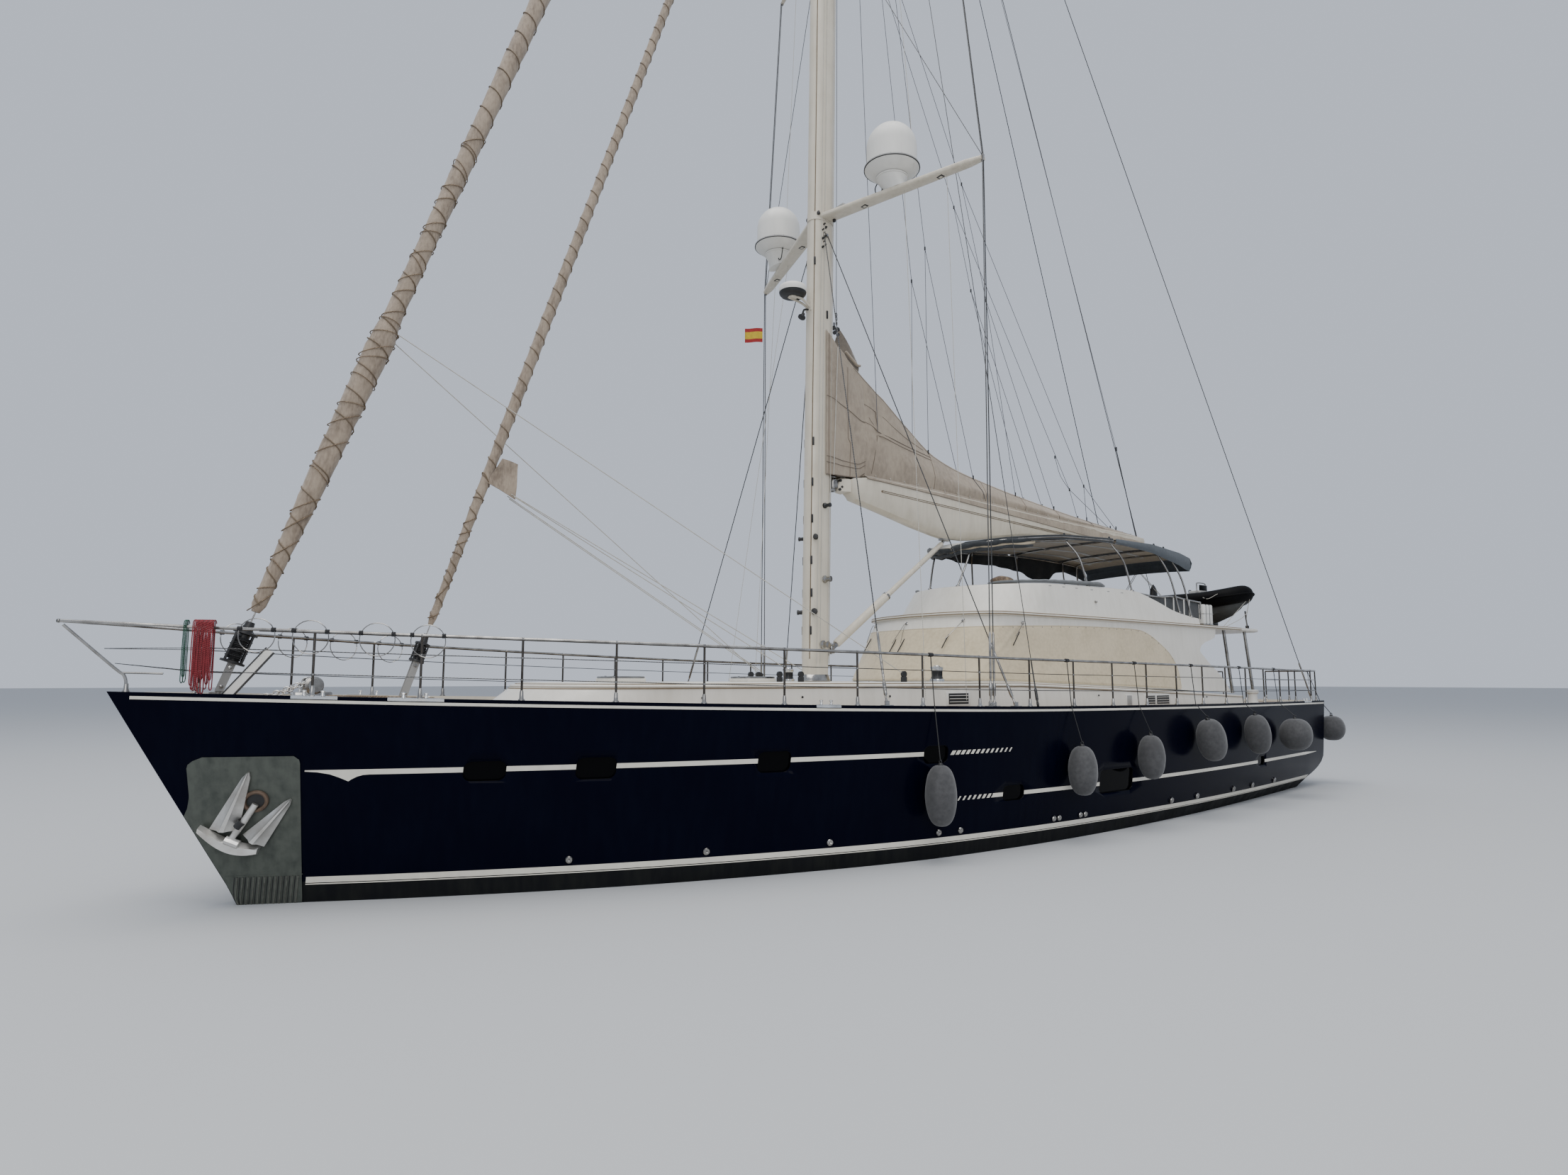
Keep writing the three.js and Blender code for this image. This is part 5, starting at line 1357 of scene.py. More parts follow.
@dataclass
class BowAnchors:
    """Worn plates that wrap the stem, each with ribs at its foot and an anchor drawn up in its hawse."""

    hull: Hull
    aft_edge: tuple = ((2.1, 12.64), (2.0, 12.56), (0.08, 12.38), (-0.15, 12.37))
    fore_edge: tuple = ((2.1, 13.78), (1.99, 13.86), (1.56, 13.8), (1.4, 13.81), (1.3, 13.84), (1.24, 14.3))
    flukes: tuple = (((13.14, 1.9), (13.52, 1.13), (13.18, 1.1)),
                     ((12.62, 1.51), (13.13, 1.04), (12.87, 0.86)))
    rib_top: float = 0.42
    ribs: int = 12

    def stem(self, z: float) -> float:
        """The stem's x at a height.

        Args:
            z: the height.

        Returns:
            The stem's x.
        """
        hull = self.hull
        if z < hull.stripe_z:
            return lerp(hull.bottom[0][1], hull.stem_low, z / hull.stripe_z)
        return hull.stem((z - hull.stripe_z) / (hull.sheer(13.8) - hull.stripe_z))

    def side(self, x: float, z: float, proud: float) -> Vector:
        """A point stood off the port bow."""
        return self.hull.skin(min(x, self.stem(z) - 0.012), z, proud)

    def build(self) -> None:
        """Builds both sides' plates and anchors."""
        plate = Shape("worn plate", "black fitting", "worn rib")
        self._plate(plate)
        plate.mirror()
        plate.piece("bow_plates", Slot.GALVANISED)
        anchor = Shape("galvanised", "rusty bronze", "black fitting")
        self._anchor(anchor)
        port = anchor.piece("anchor_port_cast", Slot.GALVANISED, ["anchor_port"])
        other = Shape("galvanised", "rusty bronze", "black fitting")
        other.points = [(x, -y, z) for x, y, z in anchor.points]
        other.faces = [tuple(reversed(face)) for face in anchor.faces]
        other.tones = list(anchor.tones)
        other.piece("anchor_starboard_cast", Slot.GALVANISED, ["anchor_starboard"])
        LOG.info("anchors beside %s", port.name)

    def _plate(self, shape: Shape) -> None:
        """The plate with its rounded corners, seam and ribs.

        Args:
            shape: the shape that gets it.
        """
        rows = []
        for i in range(45):
            z = lerp(-0.15, 2.11, i / 44)
            fore = min(table_value(self.fore_edge, z), self.stem(z) - 0.012)
            aft = table_value(self.aft_edge, z)
            if z > 2.0:
                cut = 0.1 * (1 - math.sqrt(max(1 - ((z - 2.0) / 0.112) ** 2, 0)))
                fore, aft = fore - cut, table_value(self.aft_edge, 2.0) + cut
            rows.append([self.side(lerp(aft, fore, j / 24), z, 0.016) for j in range(25)])
        shape.plate(rows, lambda point: Vector((0, -0.05, 0)))
        seam = [self.side(lerp(12.4, 13.29, i / 20), self.rib_top, 0.017) for i in range(21)]
        shape.tube([seam], 0.006, 5)
        for i in range(self.ribs):
            x = lerp(12.42, 13.2, (i + 0.5) / self.ribs)
            line = [self.side(x, z, 0.018) for z in (-0.1, 0.1, 0.22, self.rib_top - 0.02)]
            shape.tube([line], 0.013, 6, 2)
            # A black tube beside each rib is painted shade in the gap between the ribs.
            shade_between_ribs = [self.side(x + 0.034, z, 0.008) for z in (-0.1, 0.1, 0.22, self.rib_top - 0.02)]
            shape.tube([shade_between_ribs], 0.0125, 5, 1)

    def _fluke(self, shape: Shape, tip: Point, fore: Point, aft: Point) -> None:
        """One ridged, tapered fluke.

        Args:
            shape: the shape that gets it.
            tip: x and z of the tip.
            fore: x and z of the base's fore corner.
            aft: x and z of the base's aft corner.
        """
        rings = []
        for i in range(11):
            t = i / 10
            width = lerp(1.0, 0.2, t) * (1 if t < 0.93 else lerp(1, 0.35, (t - 0.93) / 0.07))
            middle = Vector((*fore, 0)).lerp(Vector((*aft, 0)), 0.5).lerp(Vector((*tip, 0)), t)
            half = (Vector((*fore, 0)) - Vector((*aft, 0))) * 0.5 * width
            a, b = middle + half, middle - half
            ridge = lerp(0.17, 0.09, t)
            rim = lerp(0.075, 0.05, t)
            rings.append([
                self.side(a.x, a.y, rim), self.side(lerp(a.x, b.x, 0.3), lerp(a.y, b.y, 0.3),
                                                    lerp(rim, ridge, 0.5)),
                self.side(lerp(a.x, b.x, 0.42), lerp(a.y, b.y, 0.42), ridge),
                self.side(lerp(a.x, b.x, 0.58), lerp(a.y, b.y, 0.58), ridge),
                self.side(lerp(a.x, b.x, 0.7), lerp(a.y, b.y, 0.7), lerp(rim, ridge, 0.5)),
                self.side(b.x, b.y, rim), self.side(b.x, b.y, rim - 0.03), self.side(a.x, a.y, rim - 0.03)])
        shape.rows(rings)

    def _anchor(self, shape: Shape) -> None:
        """Flukes, crown, shank and hawse ring.

        Args:
            shape: the shape that gets them.
        """
        for tip, fore, aft in self.flukes:
            self._fluke(shape, tip, fore, aft)
        blade = []
        for i in range(13):
            t = i / 12
            x, z = lerp(13.62, 12.92, t), lerp(1.16, 0.84, t) - 0.09 * math.sin(math.pi * t)
            width = 0.075 * (0.25 + 0.75 * math.sin(math.pi * min(max(t, 0.02), 0.98)) ** 0.5)
            blade.append([self.side(x, z + width, 0.08), self.side(x, z + width * 0.4, 0.17),
                          self.side(x, z - width, 0.19), self.side(x, z - width - 0.03, 0.13),
                          self.side(x, z - width * 0.2, 0.03)])
        shape.rows(blade)
        low, high = self.side(13.24, 1.0, 0.13), self.side(13.02, 1.46, 0.06)
        shape.tube([bend([low, low.lerp(high, 0.5) + Vector((0, 0.03, 0)), high], 5)], 0.045, 12)
        shape.tube([straight(self.side(13.3, 1.0, 0.14), self.side(13.14, 0.93, 0.15))], 0.062, 10)
        shape.tube([straight(self.side(13.18, 1.17, 0.135), self.side(13.13, 1.25, 0.13))], 0.056, 12, 2)
        middle = Vector((13.03, 0, 1.49))
        ring = [self.side(middle.x + 0.13 * c, middle.z + 0.13 * s, 0.035)
                for c, s in circle(20, closed=True)]
        shape.tube([ring], 0.028, 8, 1)
        # The black disc inside the ring is painted shade: the dark inside of the hawse.
        inner = [self.side(middle.x + 0.1 * c, middle.z + 0.1 * s, 0.02) for c, s in circle(16)]
        shape.add([*inner, self.side(middle.x, middle.z, 0.019)],
                  [(i, (i + 1) % 16, 16) for i in range(16)], 2)


@dataclass
class GuardRails:
    """Posts in bright sockets, top tubes, two wires a side, the pulpit and the stern rail."""

    hull: Hull
    pitch: float = 1.305
    posts: int = 22
    height: float = 0.9
    inset: float = 0.06
    wires: tuple = (0.62, 0.3)
    tip: tuple = (15.37, 0.0, 3.94)
    stern_turn: tuple = ((-14.3, 2.36), (-14.68, 2.28), (-14.82, 2.18), (-14.87, 2.0), (-14.87, 1.4),
                         (-14.87, 0.7))

    def foot(self, x: float) -> Vector:
        """A post's foot on the port cap."""
        return Vector((x, self.hull.edge(x) - self.inset, self.hull.sheer(x)))

    def post_x(self, number: int) -> float:
        """Where a post stands; the bays abaft the fourth are wider."""
        return 13.8 - self.pitch * number - 0.0235 * max(number - 4, 0)

    def line(self, height: float) -> list[Vector]:
        """A line along the port rail.

        Args:
            height: its height above the cap.

        Returns:
            The points, from the bow aft.
        """
        posts = [self.post_x(k) for k in range(self.posts)]
        xs = [x for pair in zip(posts, [lerp(a, b, 0.5) for a, b in zip(posts, posts[1:])])
              for x in pair] + posts[-1:]
        up = upward(height)
        side = [self.foot(x) + up for x in xs]
        return side + [Vector((x, y, self.hull.sheer(x) + height)) for x, y in self.stern_turn]

    def build(self) -> None:
        """Builds the rails of both sides."""
        names = {1: "port", -1: "starboard"}
        for side, name in names.items():
            shape = Shape("polished stainless", "rigging wire", "black fitting", "stainless in painted shade")
            self._posts(shape)
            self._tubes(shape)
            if side < 0:
                shape.points = [(x, -y, z) for x, y, z in shape.points]
            shape.piece(f"rail_{name}", Slot.STEEL, [f"guard_rail_{name}"], smooth=50)

    def _posts(self, shape: Shape) -> None:
        """The posts with their sockets.

        Args:
            shape: the shape that gets them.
        """
        post = Shape("polished stainless")
        post.turned([(0, 0), (0.052, 0), (0.05, 0.012), (0.034, 0.03), (0.028, 0.13), (0.019, 0.15),
                     (0, 0.15)],
                    (0, 0, -0.003), 10)
        # The post bars take the dark copy of the stainless: painted shade for posts seen against the light.
        bar = Shape("stainless in painted shade")
        bar.turned([(0, 0.14), (0.0185, 0.14), (0.0185, self.height - 0.01), (0, self.height)],
                   (0, 0, -0.003), 10)
        feet = [self.foot(self.post_x(k)) for k in range(self.posts)]
        feet += [Vector((x, y, self.hull.sheer(x))) for x, y in ((-14.75, 2.24), (-14.87, 1.4),
                                                                 (-14.87, 0.7))]
        shape.repeat(post, [at(foot) for foot in feet])
        shape.repeat(bar, [at(foot) for foot in feet], 3)
        eye = Shape("polished stainless")
        eye.turned([(0, -0.012), (0.022, -0.012), (0.022, 0.012), (0, 0.012)], (0, 0, 0), 8)
        places = [at(foot + upward(height)) for foot in feet for height in self.wires]
        shape.repeat(eye, places)

    def _tubes(self, shape: Shape) -> None:
        """The top tube, the wires and the pulpit.

        Args:
            shape: the shape that gets them.
        """
        top = self.line(self.height)
        tip = Vector(self.tip)
        start = tip + Vector((-0.02, 0.012, 0))
        shape.tube([bend([start, tip.lerp(top[0], 0.5) + Vector((0, 0.02, 0.004)), *top], 3)], 0.022, 10)
        # A thin dark tube just under the top tube is painted shade on the tube's underside.
        shape.tube([[p + upward(-0.012) for p in bend(top[1:], 2)]], 0.0165, 8, 3)
        for height in self.wires:
            shape.tube([bend(self.line(height), 1)], 0.0075, 5, 1)
        bow_wires = [[top[0] - upward(self.height - height),
                      Vector((14.62 + 0.4 * height, 0.03, 3.2 + height * 0.62))] for height in self.wires]
        shape.tube(bow_wires, 0.005, 5, 1)
        shape.turned([(0, -0.03), (0.024, -0.02), (0.03, 0), (0.024, 0.02), (0, 0.03)], tip, 12)
        foot = Vector((14.6, 0.05, self.hull.sheer(14.6) - 0.01))
        strut = [foot, foot + upward(0.08), Vector((14.63, 0.045, 3.22)), Vector((14.75, 0.04, 3.33)),
                 tip - Vector((0.05, -0.012, 0.05))]
        shape.tube([bend(strut, 4)], 0.02, 10)
        shape.tube([straight((14.66, 0.045, 3.26), (14.2, 0.2, 3.25))], 0.014, 8)
        shape.turned([(0, 0), (0.05, 0), (0.045, 0.02), (0.03, 0.05), (0.026, 0.12), (0, 0.13)], foot, 12)
        for k in range(2, self.posts):
            clamp = self.foot(self.post_x(k)) + upward(self.height)
            shape.turned([(0, -0.02), (0.0255, -0.02), (0.0255, 0.02), (0, 0.02)], clamp, 10, 0, (1, 0, 0))

    def rings(self) -> None:
        """Thin steel hoops lashed to the bow rails."""
        shape = Shape("polished stainless", "black rope")
        hoops = [(13.18, 1), (12.55, 1), (11.75, 1), (11.12, 1), (13.3, -1), (12.5, -1), (11.7, -1),
                 (10.9, -1)]
        for x, side in hoops:
            foot = self.foot(x) + Vector((0, 0.03, self.height - 0.085))
            other = self.foot(x - 0.3)
            along = (other - self.foot(x)).normalized()
            ring = [foot + along * 0.235 * c + upward(0.235 * s) for c, s in circle(28, closed=True)]
            ring = [Vector((p.x, side * p.y, p.z)) for p in ring]
            shape.tube([ring], 0.0075, 6)
            hitch = foot + upward(0.085)
            for step in (-0.215, 0.215):
                lash = hitch + along * step
                lash = Vector((lash.x, side * (lash.y - 0.015), lash.z))
                shape.turned([(0, -0.03), (0.036, -0.025), (0.036, 0.025), (0, 0.03)], lash, 8, 1,
                             (along.x, side * along.y, 0))
        shape.piece("rail_hoops", Slot.STEEL, smooth=60)


@dataclass
class Hank:
    """A rope or hose in long loops hung over a rail."""

    name: str
    top: tuple
    along: tuple
    turns: int
    drop: float
    diameter: float
    finish: str
    bend_radius: float = 0.05
    body: Body = Body.YACHT
    slot: Slot = Slot.DARK

    def build(self) -> None:
        """Builds the hank as one cord."""
        rnd = random.Random(self.name)
        way = Vector(self.along).normalized()
        out = way.cross(upward(1)).normalized()
        pitch = self.diameter * 1.25
        points: list[Vector] = []
        radius = self.bend_radius
        start = Vector(self.top) - way * pitch * self.turns / 2
        for turn in range(self.turns):
            drop = self.drop * (0.86 + 0.28 * rnd.random())
            swell = 1.0 + 0.6 * rnd.random()
            for step in range(24):
                t = step / 24
                along = way * pitch * (turn + t)
                if t < 0.25:
                    angle = math.pi * (0.5 + t * 4) - math.pi / 2
                    spot = out * radius * math.cos(angle) + upward(radius * math.sin(angle))
                elif t < 0.5:
                    share = (t - 0.25) / 0.25
                    belly = 1 + (swell - 1) * math.sin(math.pi * share)
                    spot = -out * radius * belly - upward(drop * share)
                elif t < 0.75:
                    angle = math.pi * (t - 0.5) * 4
                    spot = -out * radius * math.cos(angle) - upward(drop + radius * math.sin(angle))
                else:
                    share = (t - 0.75) / 0.25
                    belly = 1 + (swell - 1) * math.sin(math.pi * share)
                    spot = out * radius * belly - upward(drop * (1 - share))
                points.append(start + along + spot)
        length = sum((b - a).length for a, b in zip(points, points[1:]))
        shape = Shape(self.finish)
        shape.tube([points], self.diameter / 2, 7)
        rope = shape.piece(self.name, self.slot, body=self.body, smooth=70)
        LOG.info("%s: %.1f m", self.name, length)


@dataclass
class FlatCoil:
    """A rope laid in oval turns on a deck."""

    name: str
    middle: tuple
    long: float
    wide: float
    turns: float
    diameter: float
    finish: str
    heading: float = 0.0
    body: Body = Body.YACHT
    slot: Slot = Slot.DARK
    surface: Callable[[float, float], float] | None = None

    def build(self) -> None:
        """Builds the coil as one cord."""
        points: list[Vector] = []
        steps = int(self.turns * 26)
        turn = Matrix.Rotation(self.heading, 3, "Z")
        layers = 2
        per_layer = self.turns / layers
        for i in range(steps + 1):
            t = i / steps * self.turns
            layer = min(int(t / per_layer), layers - 1)
            local = t - layer * per_layer
            if layer % 2:
                local = per_layer - local
            a = self.long / 2 - self.diameter * 1.22 * local
            b = self.wide / 2 - self.diameter * 1.22 * local
            angle = TAU * t
            spot = turn @ Vector((a * math.cos(angle), b * math.sin(angle), 0))
            place = Vector(self.middle) + spot
            rise = min(max((t - layer * per_layer) * 4, 0), 1) if layer else 1
            height = self.diameter * (0.5 + 1.02 * (layer - (1 - rise if layer else 0)))
            base = self.surface(place.x, place.y) if self.surface else self.middle[2]
            points.append(Vector((place.x, place.y, base + height)))
        length = sum((b - a).length for a, b in zip(points, points[1:]))
        shape = Shape(self.finish)
        shape.tube([points], self.diameter / 2, 8)
        rope = shape.piece(self.name, self.slot, body=self.body, smooth=70)
        LOG.info("%s: %.1f m", self.name, length)


# House


def plan(nose: float, shoulder: float, aft: float, side: Callable[[float], float], z: float, front: int = 18,
         along: int = 30) -> list[Vector]:
    """Port half of a house's outline, from the nose round to the aft end.

    Args:
        nose: x of its foremost point.
        shoulder: x where the side begins.
        aft: x of its aft end.
        side: half breadth at x along the side.
        z: its height.
        front: steps round the nose.
        along: steps along the side.

    Returns:
        The points, from nose to aft.
    """
    wide = side(shoulder)
    points = []
    for i in range(front):
        angle = i / front * math.pi / 2
        points.append(Vector((shoulder + (nose - shoulder) * math.cos(angle), wide * math.sin(angle), z)))
    for i in range(along + 1):
        x = lerp(shoulder, aft, i / along)
        points.append(Vector((x, side(x), z)))
    return points


def both(half: Sequence[Vector]) -> list[Vector]:
    """A closed ring from its port half, whose first point is on the centreline."""
    return list(half) + [Vector((p.x, -p.y, p.z)) for p in reversed(half[1:])]


def roof_fall(x: float) -> float:
    """How far the coachroof's top has fallen at x: it is level forward of the house's shoulder."""
    return 0.0314 * max(-0.45 - x, 0.0)


@dataclass
class Coachroof:
    """The low deckhouse with its moulding, louvres, steps and deck gear."""

    hull: Hull
    aft: float = -11.16
    top: float = 3.12
    levels: tuple = ((2.4, 9.85, 7.4, 0.0), (2.62, 9.74, 7.4, 0.0), (2.8, 9.57, 7.35, 0.012),
                     (2.95, 9.36, 7.28, 0.035),
                     (3.05, 9.22, 7.23, 0.05), (3.09, 9.15, 7.21, 0.058), (3.11, 9.1, 7.18, 0.085),
                     (3.12, 9.02, 7.14, 0.14))

    def side(self, x: float) -> float:
        """Half breadth at the foot at x."""
        return min(self.hull.edge(x) - 1.0, 2.85)

    def ring(self, z: float, grow: float = 0.0) -> list[Vector]:
        """Port outline at a height, grown outwards.

        Args:
            z: the height.
            grow: how far it is moved out.

        Returns:
            The points, from nose to aft.
        """
        rows = [(-level[0], *level[1:]) for level in self.levels]
        nose, shoulder, inset = (table_value(rows, -z, column) for column in (1, 2, 3))
        share = table_value(((-3.12, 1.0), (-2.7, 0.5), (-2.4, 0.0)), -z)
        flat = plan(nose + grow, shoulder, self.aft, lambda x: self.side(x) - inset + grow, z, 20, 48)
        return [Vector((p.x, p.y, p.z - share * roof_fall(p.x))) for p in flat]

    def build(self) -> None:
        """Builds the roof and what is moulded on it."""
        shape = Shape("white gelcoat", "deck grip", "beige line", "teak deck")
        rings = [both(self.ring(level[0])) for level in self.levels]
        shape.rows(rings, 0, ends=False)
        top = self.ring(self.top)
        grip = [Vector((p.x * 0.985 + 0.02, p.y * 0.93, p.z)) for p in top]
        shape.rows([both(top), both(grip)], 0, ends=False)
        shape.add(both(grip), [tuple(range(2 * len(grip) - 1))], 1)
        shape.add(both(self.ring(2.4)), [tuple(range(2 * len(top) - 1))], 0)
        roof = shape.piece("coachroof_shell", Slot.GELCOAT, ["coachroof"])
        LOG.info("%s stands on the deck", roof.name)
        self._trim()
        self._louvres()
        self._steps()

    def _trim(self) -> None:
        """The rounded moulding round the top with brown lines above and below it."""
        shape = Shape("white gelcoat", "beige line")
        for z, grow, radius, tone in ((3.055, 0.012, 0.026, 0), (3.094, 0.004, 0.009, 1),
                                      (3.018, 0.006, 0.009, 1)):
            shape.tube([round_bow(self.ring(z, grow))], radius, 7, tone)
        shape.piece("coachroof_moulding", Slot.GELCOAT, smooth=60)

    def _louvres(self) -> None:
        """Black slatted vents in the side, each in a pale frame."""
        shape = Shape("white moulding", "black fitting", "varnished teak", "grey moulding")
        slats = []
        for fore, aft, low, high in ((1.755, 1.207, 2.69, 2.9), (-4.99, -5.437, 2.585, 2.78),
                                     (-5.525, -6.16, 2.577, 2.78)):
            middle = (fore + aft) / 2
            y = self.side(middle)
            turn = math.atan2(self.side(fore) - self.side(aft), fore - aft)
            place = at((middle, y, (low + high) / 2)) @ Matrix.Rotation(turn, 4, "Z")
            long, tall = fore - aft, high - low
            frame = Shape("white moulding")
            frame.block((-long / 2 - 0.06, -0.06, -tall / 2 - 0.03),
                        (long / 2 + 0.06, 0.008, tall / 2 + 0.03), 0, 0.01)
            shape.repeat(frame, [place])
            dark = Shape("black fitting")
            dark.block((-long / 2, -0.01, -tall / 2), (long / 2, 0.011, tall / 2))
            shape.repeat(dark, [place], 1)
            slats += [place @ at((0, 0.016, (i - 1) * 0.06), (0, -0.5, 1), (long - 0.04, 1, 1))
                      for i in range(3)]
        slat = Shape("white moulding")
        slat.block((-0.5, -0.008, -0.0035), (0.5, 0.008, 0.0035))
        shape.repeat(slat, slats)
        shape.block((-4.35, self.side(-4.2) - 0.05, 2.56), (-4.08, self.side(-4.2) + 0.02, 2.82), 0, 0.01)
        shape.block((-4.3, self.side(-4.2) - 0.05, 2.58), (-4.12, self.side(-4.2) + 0.024, 2.8), 3, 0.004)
        rings = [at((x, self.side(x) + 0.004, 2.86 - 0.6 * roof_fall(x)), (0, 1, 0))
                 for x in (6.8, 5.0, 3.2, -3.0, -8.4)]
        drain = Shape("black fitting")
        drain.turned([(0, 0), (0.022, 0), (0.02, 0.008), (0, 0.006)], (0, 0, 0), 12)
        shape.repeat(drain, rings, 1)
        shape.mirror()
        shape.piece("coachroof_louvres", Slot.PLASTIC)

    def _steps(self) -> None:
        """Steps and a seat box at the aft end, with a small bollard beside them."""
        shape = Shape("white gelcoat", "teak deck", "white moulding")
        for i in range(2):
            x = self.aft - 0.28 * (i + 1)
            top = 2.69 - 0.09 * i
            shape.block((x, -1.5, 2.5), (x + 0.32, 1.5, top), 0, 0.02)
            shape.block((x + 0.03, -1.45, top - 0.004), (x + 0.27, 1.45, top + 0.01), 1)
        shape.turned([(0, 0), (0.16, 0), (0.15, 0.05), (0.13, 0.1), (0.13, 0.28), (0.17, 0.33), (0.16, 0.4),
                      (0, 0.41)],
                     (-11.62, 1.9, self.hull.deck(-11.62, 1.9)), 20, 2)
        shape.piece("aft_steps", Slot.GELCOAT)


@dataclass
class Saloon:
    """The house round the saloon: smooth walls with windows, scroll ends, glass, cover and bulkhead."""

    floor: float = HOUSE_TOP
    top: float = 4.5697
    wall: float = 0.06
    aft: float = -10.7
    sill: float = 3.48
    lintel: float = 4.26
    ledge: tuple = ((-0.9, 2.1), (-3.0, 2.14), (-6.0, 2.06), (-8.5, 1.93), (-12.1, 1.7))
    scroll: tuple = (
        (-10.02, 4.6), (-9.99, 4.45), (-9.93, 4.35), (-9.8, 4.295), (-9.3, 4.18), (-9.08, 4.08),
        (-8.985, 3.97), (-9.0, 3.9), (-9.11, 3.83), (-9.46, 3.6), (-10.0, 3.3), (-10.28, 3.08), (-10.45, 2.9),
        (-10.56, 2.78), (-10.9, 2.7), (-10.9, 4.7))
    cover_top: tuple = (
        (0.9, 4.3), (-0.3, 4.33), (-2.5, 4.4), (-4.5, 4.42), (-5.7, 4.4), (-6.1, 4.32), (-6.39, 4.22),
        (-6.94, 3.97), (-7.27, 3.76), (-7.52, 3.49), (-7.64, 3.18), (-7.7, 2.95))

    def half(self, x: float) -> float:
        """Half breadth of the ledge at x."""
        return smooth_value(self.ledge, x)

    def outline(self, v: float, grow: float) -> list[Vector]:
        """Port outline of the outer wall.

        Args:
            v: 0 at the floor, 1 at the top.
            grow: how far it is moved out.

        Returns:
            The points, from nose to aft.
        """
        low = plan(0.85 + grow, -0.45, self.aft, lambda x: self.half(x) + 0.06 + grow, self.floor, 20, 44)
        high = plan(0.06 + grow, -1.0, self.aft, lambda x: self.half(x) - 0.06 + grow, self.top, 20, 44)
        low = [Vector((p.x, p.y, p.z - roof_fall(p.x))) for p in low]
        return [a.lerp(b, v) for a, b in zip(low, high)]

    def wall_point(self, x: float, z: float, grow: float) -> Vector:
        """A point of the port side wall at x and z."""
        floor = self.floor - roof_fall(x)
        v = (z - floor) / (self.top - floor)
        return Vector((x, self.half(x) + lerp(0.06, -0.06, v) + grow, z))

    def build(self) -> None:
        """Builds the walls, glass, cover, wipers and bulkhead."""
        self._walls()
        self._glass()
        self._cover()
        self._wipers()
        self._bulkhead()

    def _walls(self) -> None:
        """The shell of the house with window openings and scroll ends."""
        shape = Shape("white gelcoat", "white moulding")
        outer = [self.outline(i / 6, 0) for i in range(7)]
        inner = [self.outline(i / 6, -self.wall) for i in range(7)]
        rings = []
        for out_row, in_row in zip(outer, inner):
            rings.append(round_bow(out_row) + list(reversed(round_bow(in_row))))
        shape.rows(rings, ends=False)
        count = len(rings[0])
        for ring, flip in ((rings[0], False), (rings[-1], True)):
            faces = [(i, i + 1, count - 2 - i, count - 1 - i) for i in range(count // 2 - 1)]
            shape.add(ring, [tuple(reversed(f)) if flip else f for f in faces])
        house = new_object("saloon_walls", shape.mesh("saloon_walls", 40))
        sides = Shape("white gelcoat", "white moulding")
        sides.block((-6.6, -4, self.sill), (-1.3, 4, self.lintel), 0, 0.12)
        sides.rows([[(x, y, z) for x, z in self.scroll] for y in (-4, 4)])
        cut_out(house, sides)
        front = Shape("white gelcoat", "white moulding")
        for low, high in ((-0.7, 0.7), (0.8, 1.75), (-1.75, -0.8)):
            front.block((-0.4, low, self.sill), (3, high, self.lintel), 0, 0.08)
        cut_out(house, front)
        house.data.set_sharp_from_angle(angle=math.radians(40))
        settle(house, Slot.GELCOAT, ["saloon_front", "saloon_side_port", "saloon_side_starboard"])

    def _glass(self) -> None:
        """Dark panes in the window openings."""
        shape = Shape("smoked glass", "black fitting")
        steps = 24
        rows = []
        for z in (3.44, 3.87, 4.3):
            rows.append([self.wall_point(lerp(-1.25, -6.65, i / steps), z, -0.022) for i in range(steps + 1)])
        shape.plate(rows, lambda point: Vector((0, -0.012, 0)))
        posts = [[self.wall_point(x, z, -0.012) for z in (3.46, 3.87, 4.28)] for x in (-3.0, -4.6, -6.1)]
        shape.tube(posts, 0.012, 6, 1)
        shape.mirror()
        front = []
        for v in (0.22, 0.5, 0.8):
            front.append(round_bow(self.outline(v, -0.03)[:17]))
        shape.plate(front, lambda point: Vector((-0.012, 0, 0)))
        shape.piece("saloon_glass", Slot.ACRYLIC)

    def _cover(self) -> None:
        """The beige cover stretched over the windows, with folds at the corner crease."""
        columns = []
        half_low, half_high = self.outline(0, 0), self.outline(1, 0)
        share = [0.0]
        for a, b in zip(half_low, half_low[1:]):
            share.append(share[-1] + (b - a).length)
        end = next(i for i, p in enumerate(half_low) if p.x < -7.7)
        last = (half_low[end - 1].x + 7.7) / (half_low[end - 1].x - half_low[end].x)
        length = lerp(share[end - 1], share[end], last)
        steps = 150

        def along(distance: float) -> tuple[Vector, Vector]:
            """The wall's foot and head.

            Args:
                distance: the way round from the nose.

            Returns:
                Both points.
            """
            i = next((k for k in range(1, len(share)) if share[k] >= distance), len(share) - 1)
            t = (distance - share[i - 1]) / (share[i] - share[i - 1])
            return half_low[i - 1].lerp(half_low[i], t), half_high[i - 1].lerp(half_high[i], t)

